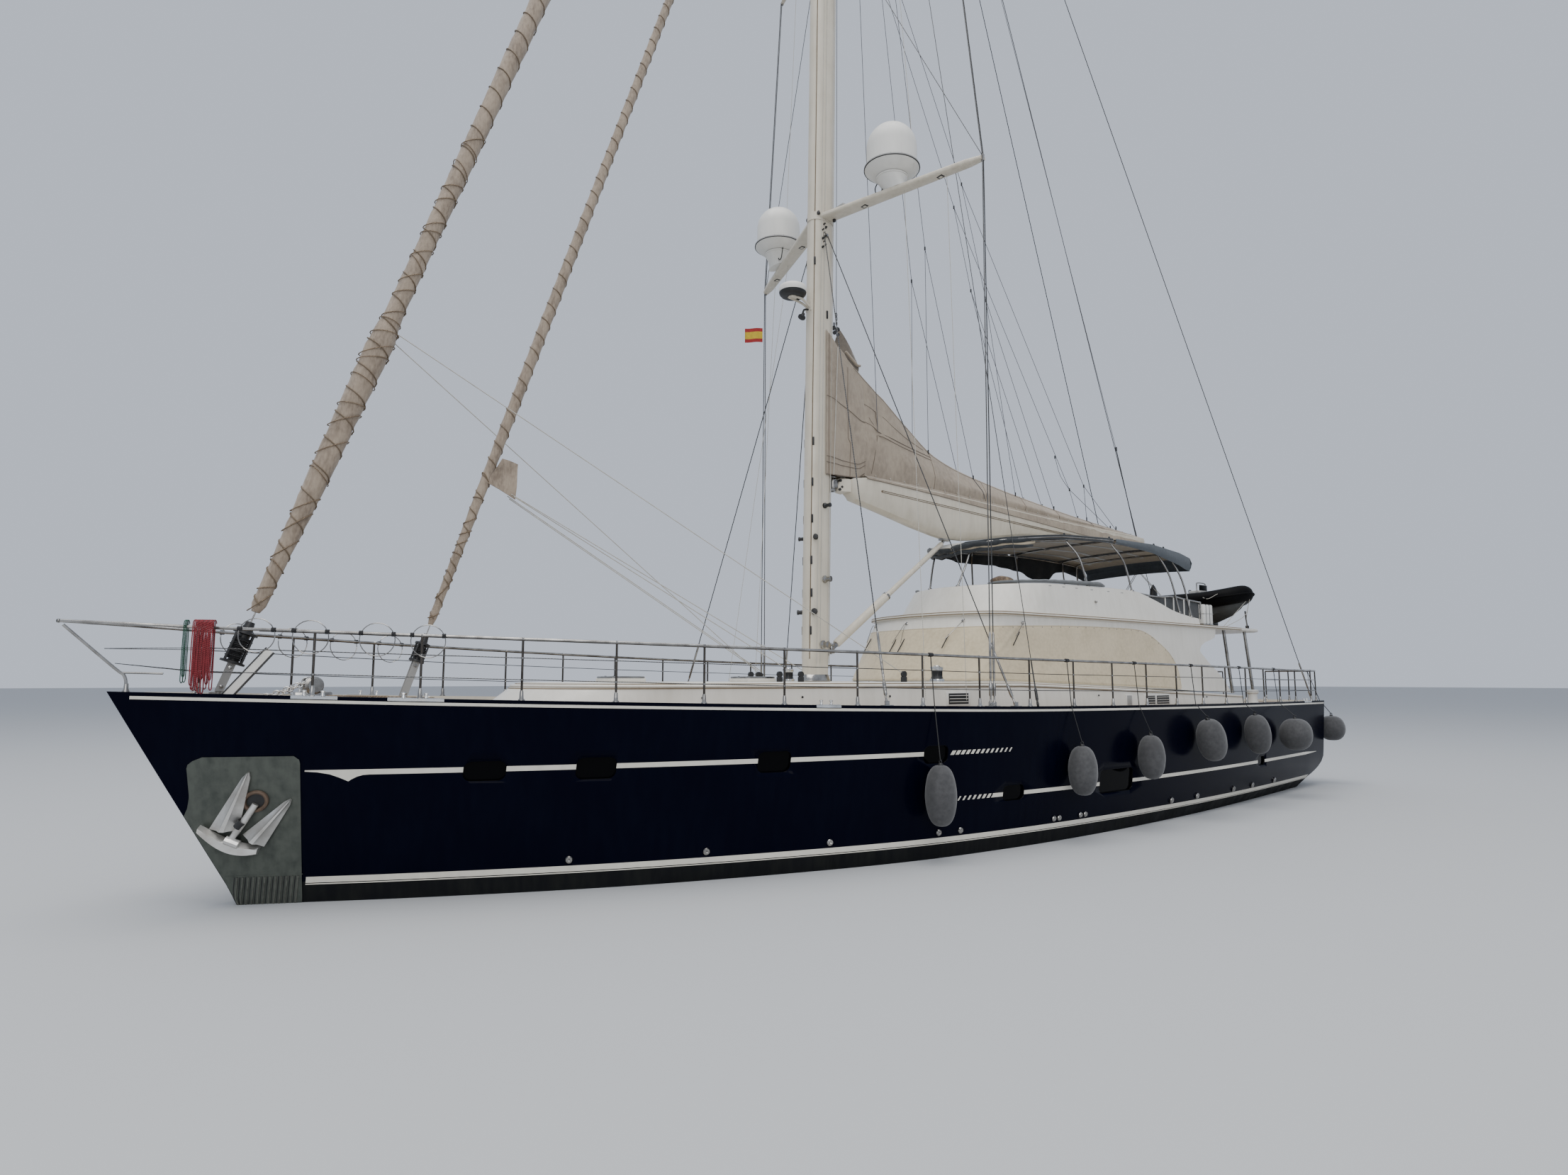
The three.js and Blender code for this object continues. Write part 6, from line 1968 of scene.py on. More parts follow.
        levels = 26
        for i in range(steps + 1):
            distance = length * i / steps
            low, high = along(distance)
            peak = smooth_value(self.cover_top, min(low.x, 0.9), 1)
            column = []
            for j in range(levels + 1):
                z = lerp(low.z + 0.03, max(peak, low.z + 0.034), j / levels)
                v = (z - low.z) / (self.top - low.z)
                point = low.lerp(high, v)
                ahead, back = along(min(distance + 0.05, length))[0], along(max(distance - 0.05, 0))[0]
                way = (ahead - back).normalized()
                normal = Vector((way.y, -way.x, 0))
                if normal.y < 0 or (normal.y == 0 and normal.x < 0):
                    normal = -normal
                point = point + normal * (0.014 + self._fold(distance, z))
                column.append(point)
            columns.append(column)
        grid = [mirrored(column) for column in reversed(columns[1:])] + columns
        shape = Shape("window canvas", "beige line")
        shape.rows(grid, ring=False)
        cover = new_object("saloon_cover", shape.mesh("saloon_cover", 80))
        thick = cover.modifiers.new("cloth", "SOLIDIFY")
        thick.thickness = 0.002
        thick.offset = 1
        settle(cover, Slot.CANVAS, ["window_cover"])
        hem = Shape("window canvas", "polished stainless")
        edge = [column[-1] for column in grid]
        foot = [column[0] for column in grid]
        hem.tube([edge], 0.009, 6)
        hem.tube([foot], 0.008, 6)
        stud = Shape("polished stainless")
        stud.turned([(0, 0), (0.014, 0), (0.012, 0.007), (0, 0.009)], (0, 0, 0), 10)
        places = [at(grid[k][-1] + upward(-0.03), (0.02, 1 if grid[k][-1].y > 0 else -1, 0.08))
                  for k in range(4, len(grid), 5)]
        hem.repeat(stud, places, 1)
        hem_piece = hem.piece("saloon_cover_hem", Slot.CANVAS)

    @staticmethod
    def _fold(distance: float, z: float) -> float:
        """How far the cover stands off through slack, seams and the crease.

        Args:
            distance: the way round from the nose.
            z: the height.

        Returns:
            The depth in metres.
        """
        slack = 0.006 * noise.noise(Vector((distance * 1.1, z * 1.7, 3.1))) + 0.004
        corner = 2.45 + 0.85 * (z - 3.6)
        off = distance - corner
        crease = 0.022 * math.exp(-(off / 0.045) ** 2)
        fan = 0.0
        for angle in (-0.62, -0.2, 0.24, 0.62, 0.98):
            du, dz = distance - (corner + 0.14), z - 3.72
            across = du * math.sin(angle) - dz * math.cos(angle)
            out = du * math.cos(angle) + dz * math.sin(angle)
            if out > 0:
                ease = min(out * 8, 1)
                fan += 0.008 * math.exp(-(across / 0.05) ** 2) * math.exp(-(out / 0.45) ** 2) * ease
        sag = 0.01 * math.exp(-((z - 3.3) / 0.18) ** 2)
        return max(slack + crease + fan + sag, 0)

    @staticmethod
    def _wipers() -> None:
        """Folded wiper arms on the front corners."""
        shape = Shape("polished stainless", "black fitting")
        for head, foot in (((-0.19, 1.45, 4.45), (0.18, 1.24, 4.04)),
                           ((-1.42, 2.09, 4.42), (-1.12, 2.12, 4.1)),
                           ((0.13, 0.0, 4.45), (0.42, -0.14, 3.98))):
            a, b = Vector(head), Vector(foot)
            out = Vector((0.05, 0.06 if head[1] else 0.0, 0.01))
            shape.tube([bend([a, a + out, b + out], 4)], 0.008, 6)
            shape.tube([straight(b + out * 0.8 + Vector((-0.12, 0, 0.1)),
                                 b + out * 0.8 + Vector((0.1, 0, -0.2)))], 0.012, 6, 1)
            shape.turned([(0, 0), (0.035, 0), (0.03, 0.05), (0, 0.055)], a - out * 0.3, 12, 0,
                         (0.7, 0.6, 0.2))
        shape.mirror()
        shape.piece("wipers", Slot.STEEL)

    @staticmethod
    def _bulkhead() -> None:
        """Window glass and a door panel in the aft bulkhead, in front of a dark room."""
        glass = Shape("smoked glass", "polished stainless")
        for low, high in ((0.42, 1.5), (-1.5, -0.62)):
            glass.block((-8.88, low - 0.01, 3.49), (-8.862, high + 0.01, 4.26), 0, 0.004)
            frame = [(-8.887, y, z) for y, z in ((low, 3.5), (high, 3.5), (high, 4.25), (low, 4.25),
                                                 (low, 3.5))]
            glass.tube([frame], 0.0115, 8, 1)
        glass.piece("bulkhead_glass", Slot.ACRYLIC)
        door = Shape("varnished teak", "smoked glass", "polished stainless")
        door.block((-8.945, -0.55, 2.861), (-8.906, 0.31, 4.37), 0, 0.006)
        door.block((-8.9475, -0.42, 3.75), (-8.944, 0.18, 4.26), 1)
        door.block((-8.948, -0.44, 2.96), (-8.944, 0.2, 3.66), 0, 0.0015)
        door.tube([bend([(-8.945, -0.46, 3.62), (-8.985, -0.46, 3.64), (-8.985, -0.46, 3.8),
                         (-8.945, -0.46, 3.82)], 5)],
                  0.009, 8, 2)
        door.piece("saloon_door_leaf", Slot.TEAK, ["saloon_door"], Body.DOOR)


@dataclass
class Flybridge:
    """The ledge and overhang, coaming, columns, helm, seats, life raft and aft rail."""

    saloon: Saloon
    aft: float = -12.9
    wheel_x: float = -3.63
    wheel_z: float = 5.33
    columns: tuple = ((-10.77, 1.6, -11.067, 1.619, 2.78), (-12.16, 1.48, -12.535, 1.499, 2.45))
    coaming_top: tuple = ((0.5, 5.355), (-1.3, 5.36), (-3.0, 5.41), (-4.2, 5.43), (-5.2, 5.44), (-5.8, 5.435),
                          (-6.25, 5.415), (-6.75, 5.315), (-7.3, 5.185), (-7.9, 5.02), (-8.65, 4.9),
                          (-9.3, 4.84))

    def ring(self, z: float, inset: float) -> list[Vector]:
        """Port outline of the ledge.

        Args:
            z: the height.
            inset: how far it is moved in.

        Returns:
            The points, from nose to aft.
        """
        def side(x: float) -> float:
            """Half breadth, with the aft corner rounded off.

            Args:
                x: where along the ledge.

            Returns:
                The half breadth.
            """
            corner = min(max(-12.45 - x, 0) / 0.45, 1)
            rounding = 0.45 * (1 - math.sqrt(max(1 - corner * corner, 0)))
            return self.saloon.half(max(x, -12.1)) - inset - rounding

        return plan(0.11 - inset, -0.9, self.aft + inset, side, z, 22, 60)

    def build(self) -> None:
        """Builds the flybridge from its deck up."""
        self._slab()
        self._coaming()
        self._helm()
        self._seats()
        self._raft()
        self._aft_rail()

    def _slab(self) -> None:
        """The deck slab with its rounded edge, tan lines, columns and chocks."""
        shape = Shape("white gelcoat", "teak deck", "beige line", "polished stainless", "black fitting")
        levels = ((4.57, 0.07), (4.572, 0.045), (4.585, 0.012), (4.6, 0.0), (4.64, 0.0), (4.655, 0.012),
                  (4.668, 0.045), (4.67, 0.1))
        rings = [both(self.ring(z, inset)) for z, inset in levels]
        shape.rows(rings, ends=False)
        shape.add(rings[0], [tuple(reversed(range(len(rings[0]))))])
        shape.add(rings[-1], [tuple(range(len(rings[0])))], 1)
        for z, inset, radius in ((4.652, -0.001, 0.014), (4.6, -0.004, 0.013)):
            shape.tube([round_bow(self.ring(z, inset)[:-7])], radius, 6, 2)
        shape.tube([round_bow(self.ring(4.626, -0.006)[:-7])], 0.017, 7)
        for top_x, top_y, foot_x, foot_y, foot_z in self.columns:
            for side in (1, -1):
                foot = Vector((foot_x, side * foot_y, foot_z))
                head = Vector((top_x, side * top_y, 4.59))
                shape.tube([straight(foot, head)], 0.045, 16, 3)
                shape.turned([(0, 0), (0.09, 0), (0.085, 0.012), (0.05, 0.03), (0, 0.03)],
                             foot + Vector((0.01, 0, 0.02)), 20, 3)
        for y in (-0.5, 0.7):
            shape.block((-12.1, y - 0.04, 4.66), (-11.2, y + 0.04, 4.805), 0, 0.01)
            shape.block((-12.1, y - 0.045, 4.8), (-11.78, y + 0.045, 4.9), 4, 0.015)
            shape.block((-11.52, y - 0.045, 4.8), (-11.2, y + 0.045, 4.9), 4, 0.015)
        shape.piece("flybridge_slab", Slot.GELCOAT, ["flybridge_deck"])

    @staticmethod
    def _coaming_point(half_low: Vector, half_high: Vector, z: float) -> Vector:
        """A point of the coaming's outer side at a height."""
        return half_low.lerp(half_high, (z - FLY_DECK) / (COAMING_TOP - FLY_DECK))

    def _coaming(self) -> None:
        """The coaming wall with a rounded top, a padded rail and a lamp."""
        def pair(inset: float) -> tuple[list[Vector], list[Vector]]:
            """The wall's outline at its foot and at its top.

            Args:
                inset: how far both are moved in.

            Returns:
                Both outlines.
            """
            half = self.saloon.half
            low = plan(-0.55 - inset, -2.1, -9.2, lambda x: half(x) - 0.09 - inset, FLY_DECK, 24, 60)
            high = plan(-1.05 - inset, -2.7, -9.2, lambda x: half(x) - 0.23 - inset, COAMING_TOP, 24, 60)
            return low, high

        outer, inner = pair(0.0), pair(0.13)
        rings = []
        edge: list[Vector] = []
        for i in range(len(outer[0])):
            probe = self._coaming_point(outer[0][i], outer[1][i], 5.38)
            top = smooth_value(self.coaming_top, min(probe.x, 0.4), 1)
            ring = []
            for z in (FLY_DECK, 4.72, lerp(4.72, top, 0.5), top - 0.05, top - 0.018):
                ring.append(self._coaming_point(outer[0][i], outer[1][i], z))
            a = self._coaming_point(outer[0][i], outer[1][i], top)
            b = self._coaming_point(inner[0][i], inner[1][i], top)
            for t, drop in ((0.12, 0.006), (0.35, 0), (0.65, 0), (0.88, 0.006)):
                ring.append(a.lerp(b, t) - upward(drop))
            for z in (top - 0.018, top - 0.05, lerp(4.72, top, 0.5), FLY_DECK):
                ring.append(self._coaming_point(inner[0][i], inner[1][i], z))
            rings.append(ring)
            edge.append(a.lerp(b, 0.5))
        shape = Shape("white gelcoat", "polished stainless", "grey moulding")
        shape.rows([mirrored(ring) for ring in reversed(rings[1:])] + rings, 0)
        shape.turned([(0, 0), (0.035, 0), (0.035, 0.03), (0.02, 0.05), (0, 0.05)],
                     self._spot(-4.26, 5.04), 14, 1, (0, 1, 0.1))
        vent = Shape("grey moulding")
        vent.block((-0.045, -0.006, -0.008), (0.045, 0.006, 0.008))
        shape.repeat(vent, [at(self._spot(x, 5.34)) for x in (-2.6, -3.1, -3.6, -4.2, -4.9, -5.5)], 2)
        shape.piece("coaming_shell", Slot.GELCOAT, ["flybridge_coaming"], smooth=45)
        self._pad(edge)

    def _spot(self, x: float, z: float) -> Vector:
        """A point on the coaming's port side."""
        return Vector((x, self.saloon.half(x) - lerp(0.09, 0.23, (z - 4.67) / 0.81), z))

    @staticmethod
    def _pad(edge: Sequence[Vector]) -> None:
        """Grey padding along the coaming's top edge.

        Args:
            edge: the middle of the coaming's top, from the nose aft.
        """
        line = [p for p in edge if -4.9 < p.x < -1.35]
        rings = []
        for i, point in enumerate(line):
            way = (line[min(i + 1, len(line) - 1)] - line[max(i - 1, 0)]).normalized()
            out = Vector((way.y, -way.x, 0))
            fill = min(i, len(line) - 1 - i) / 3
            swell = min(0.35 + fill, 1.0) * lerp(0.6, 1.15, i / len(line)) * (1 + 0.06 * math.sin(i * 2.1))
            rings.append([point + out * 0.085 * blunt(c, 0.7) * swell
                          + upward(0.012 + 0.05 * (1 + blunt(s, 0.7)) * swell) for c, s in circle(14)])
        for side, name in ((1, "port"), (-1, "starboard")):
            shape = Shape("grey cushion")
            shape.rows([[Vector((p.x, side * p.y, p.z)) for p in ring] for ring in rings])
            pad = shape.piece(f"coaming_pad_{name}", Slot.CANVAS, smooth=70)

    def _helm(self) -> None:
        """The console, its screens and instruments, and the wheel."""
        shape = Shape("white gelcoat", "smoked glass", "black fitting", "window canvas", "polished stainless")
        section = [(-3.5, 4.6705), (-3.1, 4.6705), (-3.1, 5.3), (-3.16, 5.44), (-3.3, 5.45), (-3.5, 5.34)]
        rows = []
        for y, grow in ((-0.33, 0.03), (-0.31, 0.0), (0.31, 0.0), (0.33, 0.03)):
            rows.append([(x + (grow if x < -3.3 else -grow), y, z - (grow if z > 5 else 0))
                         for x, z in section])
        shape.rows(rows)
        tilt = Matrix.Rotation(math.radians(61), 4, "Y")
        for y in (-0.18, 0.13):
            screen = Shape("smoked glass")
            screen.block((-0.09, -0.12, -0.006), (0.09, 0.12, 0.006), 0, 0.004)
            shape.repeat(screen, [Matrix.Translation((-3.4, y, 5.4)) @ tilt], 1)
        dial = Shape("black fitting")
        dial.turned([(0, 0), (0.045, 0), (0.045, 0.012), (0.038, 0.016), (0, 0.012)], (0, 0, 0), 18)
        shape.repeat(dial, [at((-3.503, y, 5.2), (-1, 0, 0)) for y in (-0.24, 0.24)], 2)
        shape.tube([straight((-3.56, 0, 5.33), (-3.48, 0, 5.33))], 0.035, 16, 4)
        shape.piece("helm_pedestal", Slot.GELCOAT, ["helm_console"])
        wheel = Shape("polished stainless", "black fitting")
        x, z = self.wheel_x, self.wheel_z
        rim = [Vector((x, 0.3 * c, z + 0.3 * s)) for c, s in circle(48, closed=True)]
        wheel.tube([rim], 0.016, 10, 1)
        spokes = [straight((-3.625, 0.03 * c, z + 0.03 * s), (x, 0.292 * c, z + 0.292 * s))
                  for c, s in circle(6)]
        wheel.tube(spokes, 0.009, 8)
        wheel.turned([(0, 0), (0.045, 0.005), (0.045, 0.055), (0.032, 0.07), (0, 0.0697)], (-3.6605, 0, z),
                     20, 0, (1, 0, 0))
        wheel.piece("wheel_rim", Slot.STEEL, ["helm_wheel"], Body.WHEEL)

    @staticmethod
    def _seats() -> None:
        """Settees inside the coaming, a table, and a covered pod forward."""
        base = Shape("white gelcoat", "varnished teak", "polished stainless")
        for side in (1, -1):
            low, high = sorted((side * 0.95, side * 1.66))
            base.block((-7.0, low, 4.67), (-4.5, high, 5.0), 0, 0.03)
        base.block((-2.75, -1.2, 4.67), (-2.2, 1.2, 5.02), 0, 0.03)
        base.block((-6.4, -0.42, 5.26), (-5.1, 0.42, 5.3), 1, 0.012)
        base.turned([(0, 0), (0.18, 0), (0.17, 0.02), (0.05, 0.05), (0.05, 0.6), (0, 0.6)], (-5.75, 0, 4.67),
                    18, 2)
        base.piece("flybridge_furniture", Slot.GELCOAT)
        for name, low, high in (("port", (-7.0, 0.97, 5.0), (-4.5, 1.63, 5.13)),
                                ("starboard", (-7.0, -1.63, 5.0), (-4.5, -0.97, 5.13)),
                                ("forward", (-2.75, -1.2, 5.02), (-2.2, 1.2, 5.14))):
            cushion(f"seat_{name}", low, high, "cushion cloth")
        pod = Shape("patterned wrap")
        rings = []
        for i in range(12):
            t = i / 11
            swell = math.sin(math.pi * min(max(t, 0.03), 0.97)) ** 0.5
            x = lerp(-1.55, -2.35, t)
            ring = []
            for c, s in circle(16):
                wob = 1 + 0.12 * noise.noise(Vector((x * 4, c * 2, s * 2)))
                ring.append(Vector((x, 1.1 + 0.16 * swell * c * wob, 5.46 + 0.14 * swell * s * wob)))
            rings.append(ring)
        pod.rows(rings)
        bundle = pod.piece("wrapped_bundle", Slot.CANVAS, smooth=70)

    @staticmethod
    def _raft() -> None:
        """The life raft case in its cradle with two straps."""
        shape = Shape("white moulding", "black fitting", "polished stainless", "grey moulding")
        shape.block((-9.92, 1.46, FLY_DECK), (-9.42, 1.78, 4.71), 2, 0.005)
        shape.block((-9.915, 1.445, 4.7), (-9.425, 1.785, 5.25), 0, 0.035)
        for x in (-9.74, -9.56):
            shape.block((x - 0.012, 1.442, 4.7), (x + 0.012, 1.788, 5.253), 1, 0.004)
        for z in (4.98, 5.0):
            shape.block((-9.918, 1.442, z - 0.004), (-9.422, 1.788, z + 0.004), 3, 0.002)
        for y in (1.46, 1.6):
            shape.block((-9.918, y - 0.018, 4.7), (-9.421, y + 0.018, 5.253), 1, 0.004)
        shape.piece("raft_case", Slot.PLASTIC, ["life_raft"])

    def _aft_rail(self) -> None:
        """Aft rail posts in front of dark panels, which are painted shade for the shaded space behind the
        rail.
        """
        shape = Shape("polished stainless", "dark canvas", "white moulding")
        for side in (1, -1):
            # Each dark panel, in the dark canvas finish, is painted shade behind the posts.
            panel = [[Vector((x, side * 1.675, table_value(self.coaming_top, x) - 0.03)),
                      Vector((x, side * 1.675, top))]
                     for x, top in ((-6.75, 5.33), (-7.2, 5.31), (-8.1, 5.355), (-8.68, 5.32), (-9.38, 5.27))]
            shape.plate(panel, lambda point, s=side: Vector((0, -0.006 * s, 0)), 1)
            for x in (-7.72, -8.12, -8.62, -8.88):
                foot = Vector((x, side * 1.685, 4.69))
                top = 5.385 if x > -8.4 else 5.34
                shape.tube([straight(foot, (x, side * 1.69, top))], 0.019, 8, 2)
        shape.piece("aft_rail_posts", Slot.STEEL)


def cushion(name: str, low: Point, high: Point, finish: str) -> bpy.types.Object:
    """A crowned seat cushion between two corners.

    Args:
        name: the piece's name.
        low: its lowest corner.
        high: its highest corner.
        finish: its material.

    Returns:
        The cushion.
    """
    a, b = Vector(low), Vector(high)
    size = b - a
    nx, ny = max(int(size.x / 0.09), 6), max(int(size.y / 0.09), 6)
    shape = Shape(finish)
    seams = [0.0, 1.0]
    seams += [k / round(size.x / 0.62) for k in range(1, round(size.x / 0.62))] if size.x > 1.2 else []
    for flip in (1, 0):
        rows = []
        for i in range(nx + 1):
            u = i / nx
            row = []
            for j in range(ny + 1):
                v = j / ny
                edge = min(u, 1 - u) * size.x, min(v, 1 - v) * size.y
                crown = min(edge[0] / 0.09, 1) ** 0.5 * min(edge[1] / 0.09, 1) ** 0.5
                seam = min(abs(u - s) * size.x for s in seams)
                crown *= 1 - 0.35 * math.exp(-(seam / 0.03) ** 2)
                pull = 0.012 * math.sin(math.pi * u) if j in (0, ny) else 0
                y = lerp(a.y, b.y, v) + (pull if j == 0 else -pull)
                middle = lerp(a.z, b.z, 0.5)
                half = size.z / 2
                z = middle + half * crown if flip else max(middle - half * min(crown * 2, 1), a.z)
                row.append((lerp(a.x, b.x, u), y, z))
            rows.append(row)
        shape.rows(rows, ring=False)
    pad = shape.piece(name, Slot.CANVAS, smooth=70)
    return pad


# Canvas and rig


@dataclass
class Bimini:
    """The sun roof: cloth, dark valance, window strips, rolled front and side curtain on bent tubes."""

    line: tuple = ((-1.05, 6.3), (-1.25, 6.425), (-2.0, 6.53), (-3.5, 6.68), (-5.4, 6.785), (-7.2, 6.785),
                   (-8.5, 6.66), (-9.0, 6.55))
    fall: tuple = ((-1.05, 0.025), (-3.0, 0.025), (-5.4, 0.06), (-9.0, 0.06))
    arches: tuple = (
        (-1.095, 0.46, 5.364, -1.42, 0.56, 6.359), (-4.15, 1.85, 5.428, -3.8, 1.56, 6.587),
        (-6.05, 1.8, 5.427, -5.65, 1.56, 6.659), (-8.25, 1.775, 4.968, -7.7, 1.54, 6.613),
        (-8.85, 1.755, 4.886, -8.35, 1.52, 6.552))
    aft_rail: tuple = ((-6.45, 1.73, 5.385), (-7.2, 1.735, 5.345), (-8.1, 1.711, 5.39), (-8.68, 1.675, 5.35),
                       (-9.43, 1.7, 5.3))
    aft_band: float = -5.45
    ends: tuple = (-1.06, -8.98)

    @staticmethod
    def half(x: float) -> float:
        """Half breadth at x."""
        share = min(max((x + 4.2) / 3.15, 0), 1)
        return 1.7 * math.sqrt(max(1 - share * share, 0.03))

    def height(self, x: float, share: float) -> float:
        """Height of the top at x and at a share of the half breadth."""
        sag = 0.012 * math.sin(math.pi * min(max((x + 9) / 7.95, 0), 1) * 4) ** 2
        return table_value(self.line, x) - table_value(self.fall,
                                                       x) * abs(share) ** 2.2 - sag * (1 - share * share)

    def build(self) -> None:
        """Builds the roof and its frame."""
        top = self._cloth()
        parts = [self._valance(), self._strips(), self._roll(), self._curtain()]
        self._frame()

    def _cloth(self) -> bpy.types.Object:
        """The roof cloth, pale above and tan below.

        Returns:
            The cloth.
        """
        shape = Shape("bimini top cloth", "bimini canvas")
        xs = [lerp(*self.ends, (i / 70) ** 1.25) for i in range(71)]
        upper = [[Vector((x, self.half(x) * s, self.height(x, s))) for s in (j / 14 - 1 for j in range(29))]
                 for x in xs]
        lower = [[p - upward(0.006) for p in row] for row in upper]
        shape.rows(upper, 0, ring=False)
        shape.rows(lower, 1, ring=False)
        for pair in zip((upper[0], upper[-1]), (lower[0], lower[-1])):
            shape.rows(list(pair), 1, ring=False)
        for side in (0, -1):
            shape.rows([[row[side] for row in upper], [row[side] for row in lower]], 1, ring=False)
        return shape.piece("bimini_cloth", Slot.CANVAS, ["bimini_top"], smooth=60)

    def _valance(self) -> bpy.types.Object:
        """The dark band round the edge, deeper aft.

        Returns:
            The band.
        """
        shape = Shape("dark canvas", "slate canvas", "polished stainless")
        xs = [lerp(*self.ends, (i / 80) ** 1.25) for i in range(81)]
        for side in (1, -1):
            hem, low, deep, tube = [], [], [], []
            for x in xs:
                y, z = side * (self.half(x) + 0.008), self.height(x, 1)
                aft = min(max((self.aft_band - x) / 3.3, 0), 1)
                drop = 0.1 + 0.25 * aft ** 1.3
                if x > self.aft_band - 0.12:
                    hem.append([Vector((x, y + side * out, z + dz))
                                for out, dz in ((0, 0.018), (0.01, -0.002), (0, -0.022))])
                    low.append([Vector((x, y + side * out, z + dz))
                                for out, dz in ((0, -0.06), (0.012, -0.08), (0, -drop))])
                    tube.append(Vector((x, y, z - 0.041)))
                else:
                    deep.append([Vector((x, y + side * out, z - drop * t + 0.018 * (1 - t)))
                                 for out, t in ((0, 0), (0.016, 0.3), (0.014, 0.7), (-0.02, 1))])
            for band, tone in ((hem, 0), (low, 0), (deep, 1)):
                shape.plate(band, lambda point, s=side: Vector((0, -0.006 * s, 0)), tone)
            shape.tube([tube], 0.019, 8, 2)
            for x in (-3.56, -5.32, -7.29, -7.74):
                shape.turned([(0, -0.01), (0.026, 0), (0.03, 0.02), (0.018, 0.045), (0, 0.05)],
                             (x, side * (self.half(x) - 0.01), self.height(x, 1) + 0.012), 10, 0)
        aft = []
        for j in range(25):
            s = 1 - j / 12
            z = self.height(-8.98, s)
            y = 1.708 * s
            aft.append([Vector((-8.99, y, z + 0.016)), Vector((-9.09, y, z - 0.12)),
                        Vector((-9.06, y * 0.99, z - 0.25)),
                        Vector((-8.98, y * 0.985, z - 0.35))])
        shape.plate(aft, lambda point: Vector((0.006, 0, 0)), 1)
        return shape.piece("bimini_valance", Slot.CANVAS)

    def _strips(self) -> bpy.types.Object:
        """Pale window strips and battens under the cloth.

        Returns:
            The strips.
        """
        shape = Shape("pale strip", "dark canvas")
        for y in (0.52, -0.52, 1.2, -1.2):
            rows = []
            for i in range(31):
                x = lerp(-1.9, -8.6, i / 30)
                reach = math.copysign(min(abs(y), self.half(x) * 0.8), y)
                rows.append([Vector((x, reach + dy, self.height(x, (reach + dy) / self.half(x)) - 0.012))
                             for dy in (-0.06, 0.06)])
            shape.plate(rows, lambda point: upward(-0.004), 0)
        for x in (-2.15, -3.8, -5.65, -7.7):
            rows = [[Vector((x + dx, self.half(x) * s, self.height(x, s) - 0.011)) for dx in (-0.09, 0.09)]
                    for s in (j / 10 - 1 for j in range(21))]
            shape.plate(rows, lambda point: upward(-0.003), 1)
        return shape.piece("bimini_strips", Slot.CANVAS)

    def _roll(self) -> bpy.types.Object:
        """The rolled front panel with its ties.

        Returns:
            The roll.
        """
        shape = Shape("dark canvas", "bimini canvas", "pale strip")
        for tone, radius, drop, inset in ((0, 0.07, 0.075, 0.0), (1, 0.055, 0.16, 0.1), (2, 0.035, 0.1, 0.17),
                                          (0, 0.045, 0.22, 0.05)):
            points = []
            for i in range(37):
                s = i / 18 - 1
                x = -1.1 - inset - 1.5 * abs(s) ** 2.4
                y = s * min(self.half(x) / max(abs(s), 0.3), 1.5) * 0.97
                points.append(Vector((x, y, self.height(x, 0.8) - drop - 0.012 * math.sin(i * 1.3 + tone))))
            rings = []
            for i, p in enumerate(points):
                r = radius * (1 + 0.12 * math.sin(i * 2.3)) * (0.5 if i in (0, 36) else 1)
                way = (points[min(i + 1, 36)] - points[max(i - 1, 0)]).normalized()
                out = way.cross(upward(1)).normalized()
                rings.append([p + out * r * c + upward(r * s) for c, s in circle(10)])
            shape.rows(rings, tone)
        return shape.piece("bimini_front_roll", Slot.CANVAS, smooth=60)

    def _curtain(self) -> bpy.types.Object:
        """The dark side curtain gathered to starboard.

        Returns:
            The curtain.
        """
        shape = Shape("dark canvas")
        low = ((-2.4, 6.38), (-3.3, 6.3), (-4.76, 6.34), (-5.87, 6.24), (-6.5, 6.04), (-7.05, 6.03),
               (-7.5, 6.33), (-8.7, 6.44))
        rows = []
        for i in range(61):
            x = lerp(-2.4, -8.7, i / 60)
            top = self.height(x, 1) - 0.05
            row = []
            for j in range(9):
                t = j / 8
                wave = 0.03 * math.sin(i * 1.1 + t * 2) * t
                row.append(Vector((x, -self.half(x) + 0.05 + wave, lerp(top, table_value(low, x), t))))
            rows.append(row)
        shape.plate(rows, lambda point: Vector((0, 0.004, 0)))
        return shape.piece("bimini_side_curtain", Slot.CANVAS, smooth=60)

    def _frame(self) -> None:
        """The bent tubes, deck plates and the aft rail tubes."""
        shape = Shape("polished stainless", "black fitting")
        for foot_x, foot_y, foot_z, top_x, top_y, top_z in self.arches:
            legs = []
            for side in (1, -1):
                foot, head = Vector((foot_x, side * foot_y, foot_z)), Vector((top_x, side * top_y, top_z))
                lean = (head - foot) * 0.55 + Vector((-0.04, side * 0.05, 0.05))
                legs.append([foot, foot + lean, head - upward(0.09)])
            over = [Vector((top_x, s * top_y, self.height(top_x, s * top_y / self.half(top_x)) - 0.032))
                    for s in (0.93, 0.45, 0, -0.45, -0.93)]
            shape.tube([bend([*legs[0], *over, *reversed(legs[1])], 5)], 0.024, 10)
            for leg in legs:
                shape.turned([(0, 0), (0.055, 0), (0.055, 0.01), (0.03, 0.03), (0, 0.03)],
                             leg[0] - upward(0.006), 14)
        for side in (1, -1):
            top = [Vector((x, side * (y + 0.004), z - 0.007)) for _, _, _, x, y, z in self.arches]
            shape.tube([bend(top, 5)], 0.022, 10)
            shape.tube([bend([Vector((x, side * y, z)) for x, y, z in self.aft_rail], 5)], 0.024, 10)
            shape.tube([straight((-9.43, side * 1.7, 4.842), (-9.43, side * 1.7, 5.3))], 0.024, 10)
        shape.piece("bimini_tubes", Slot.STEEL, ["bimini_frame"], smooth=60)


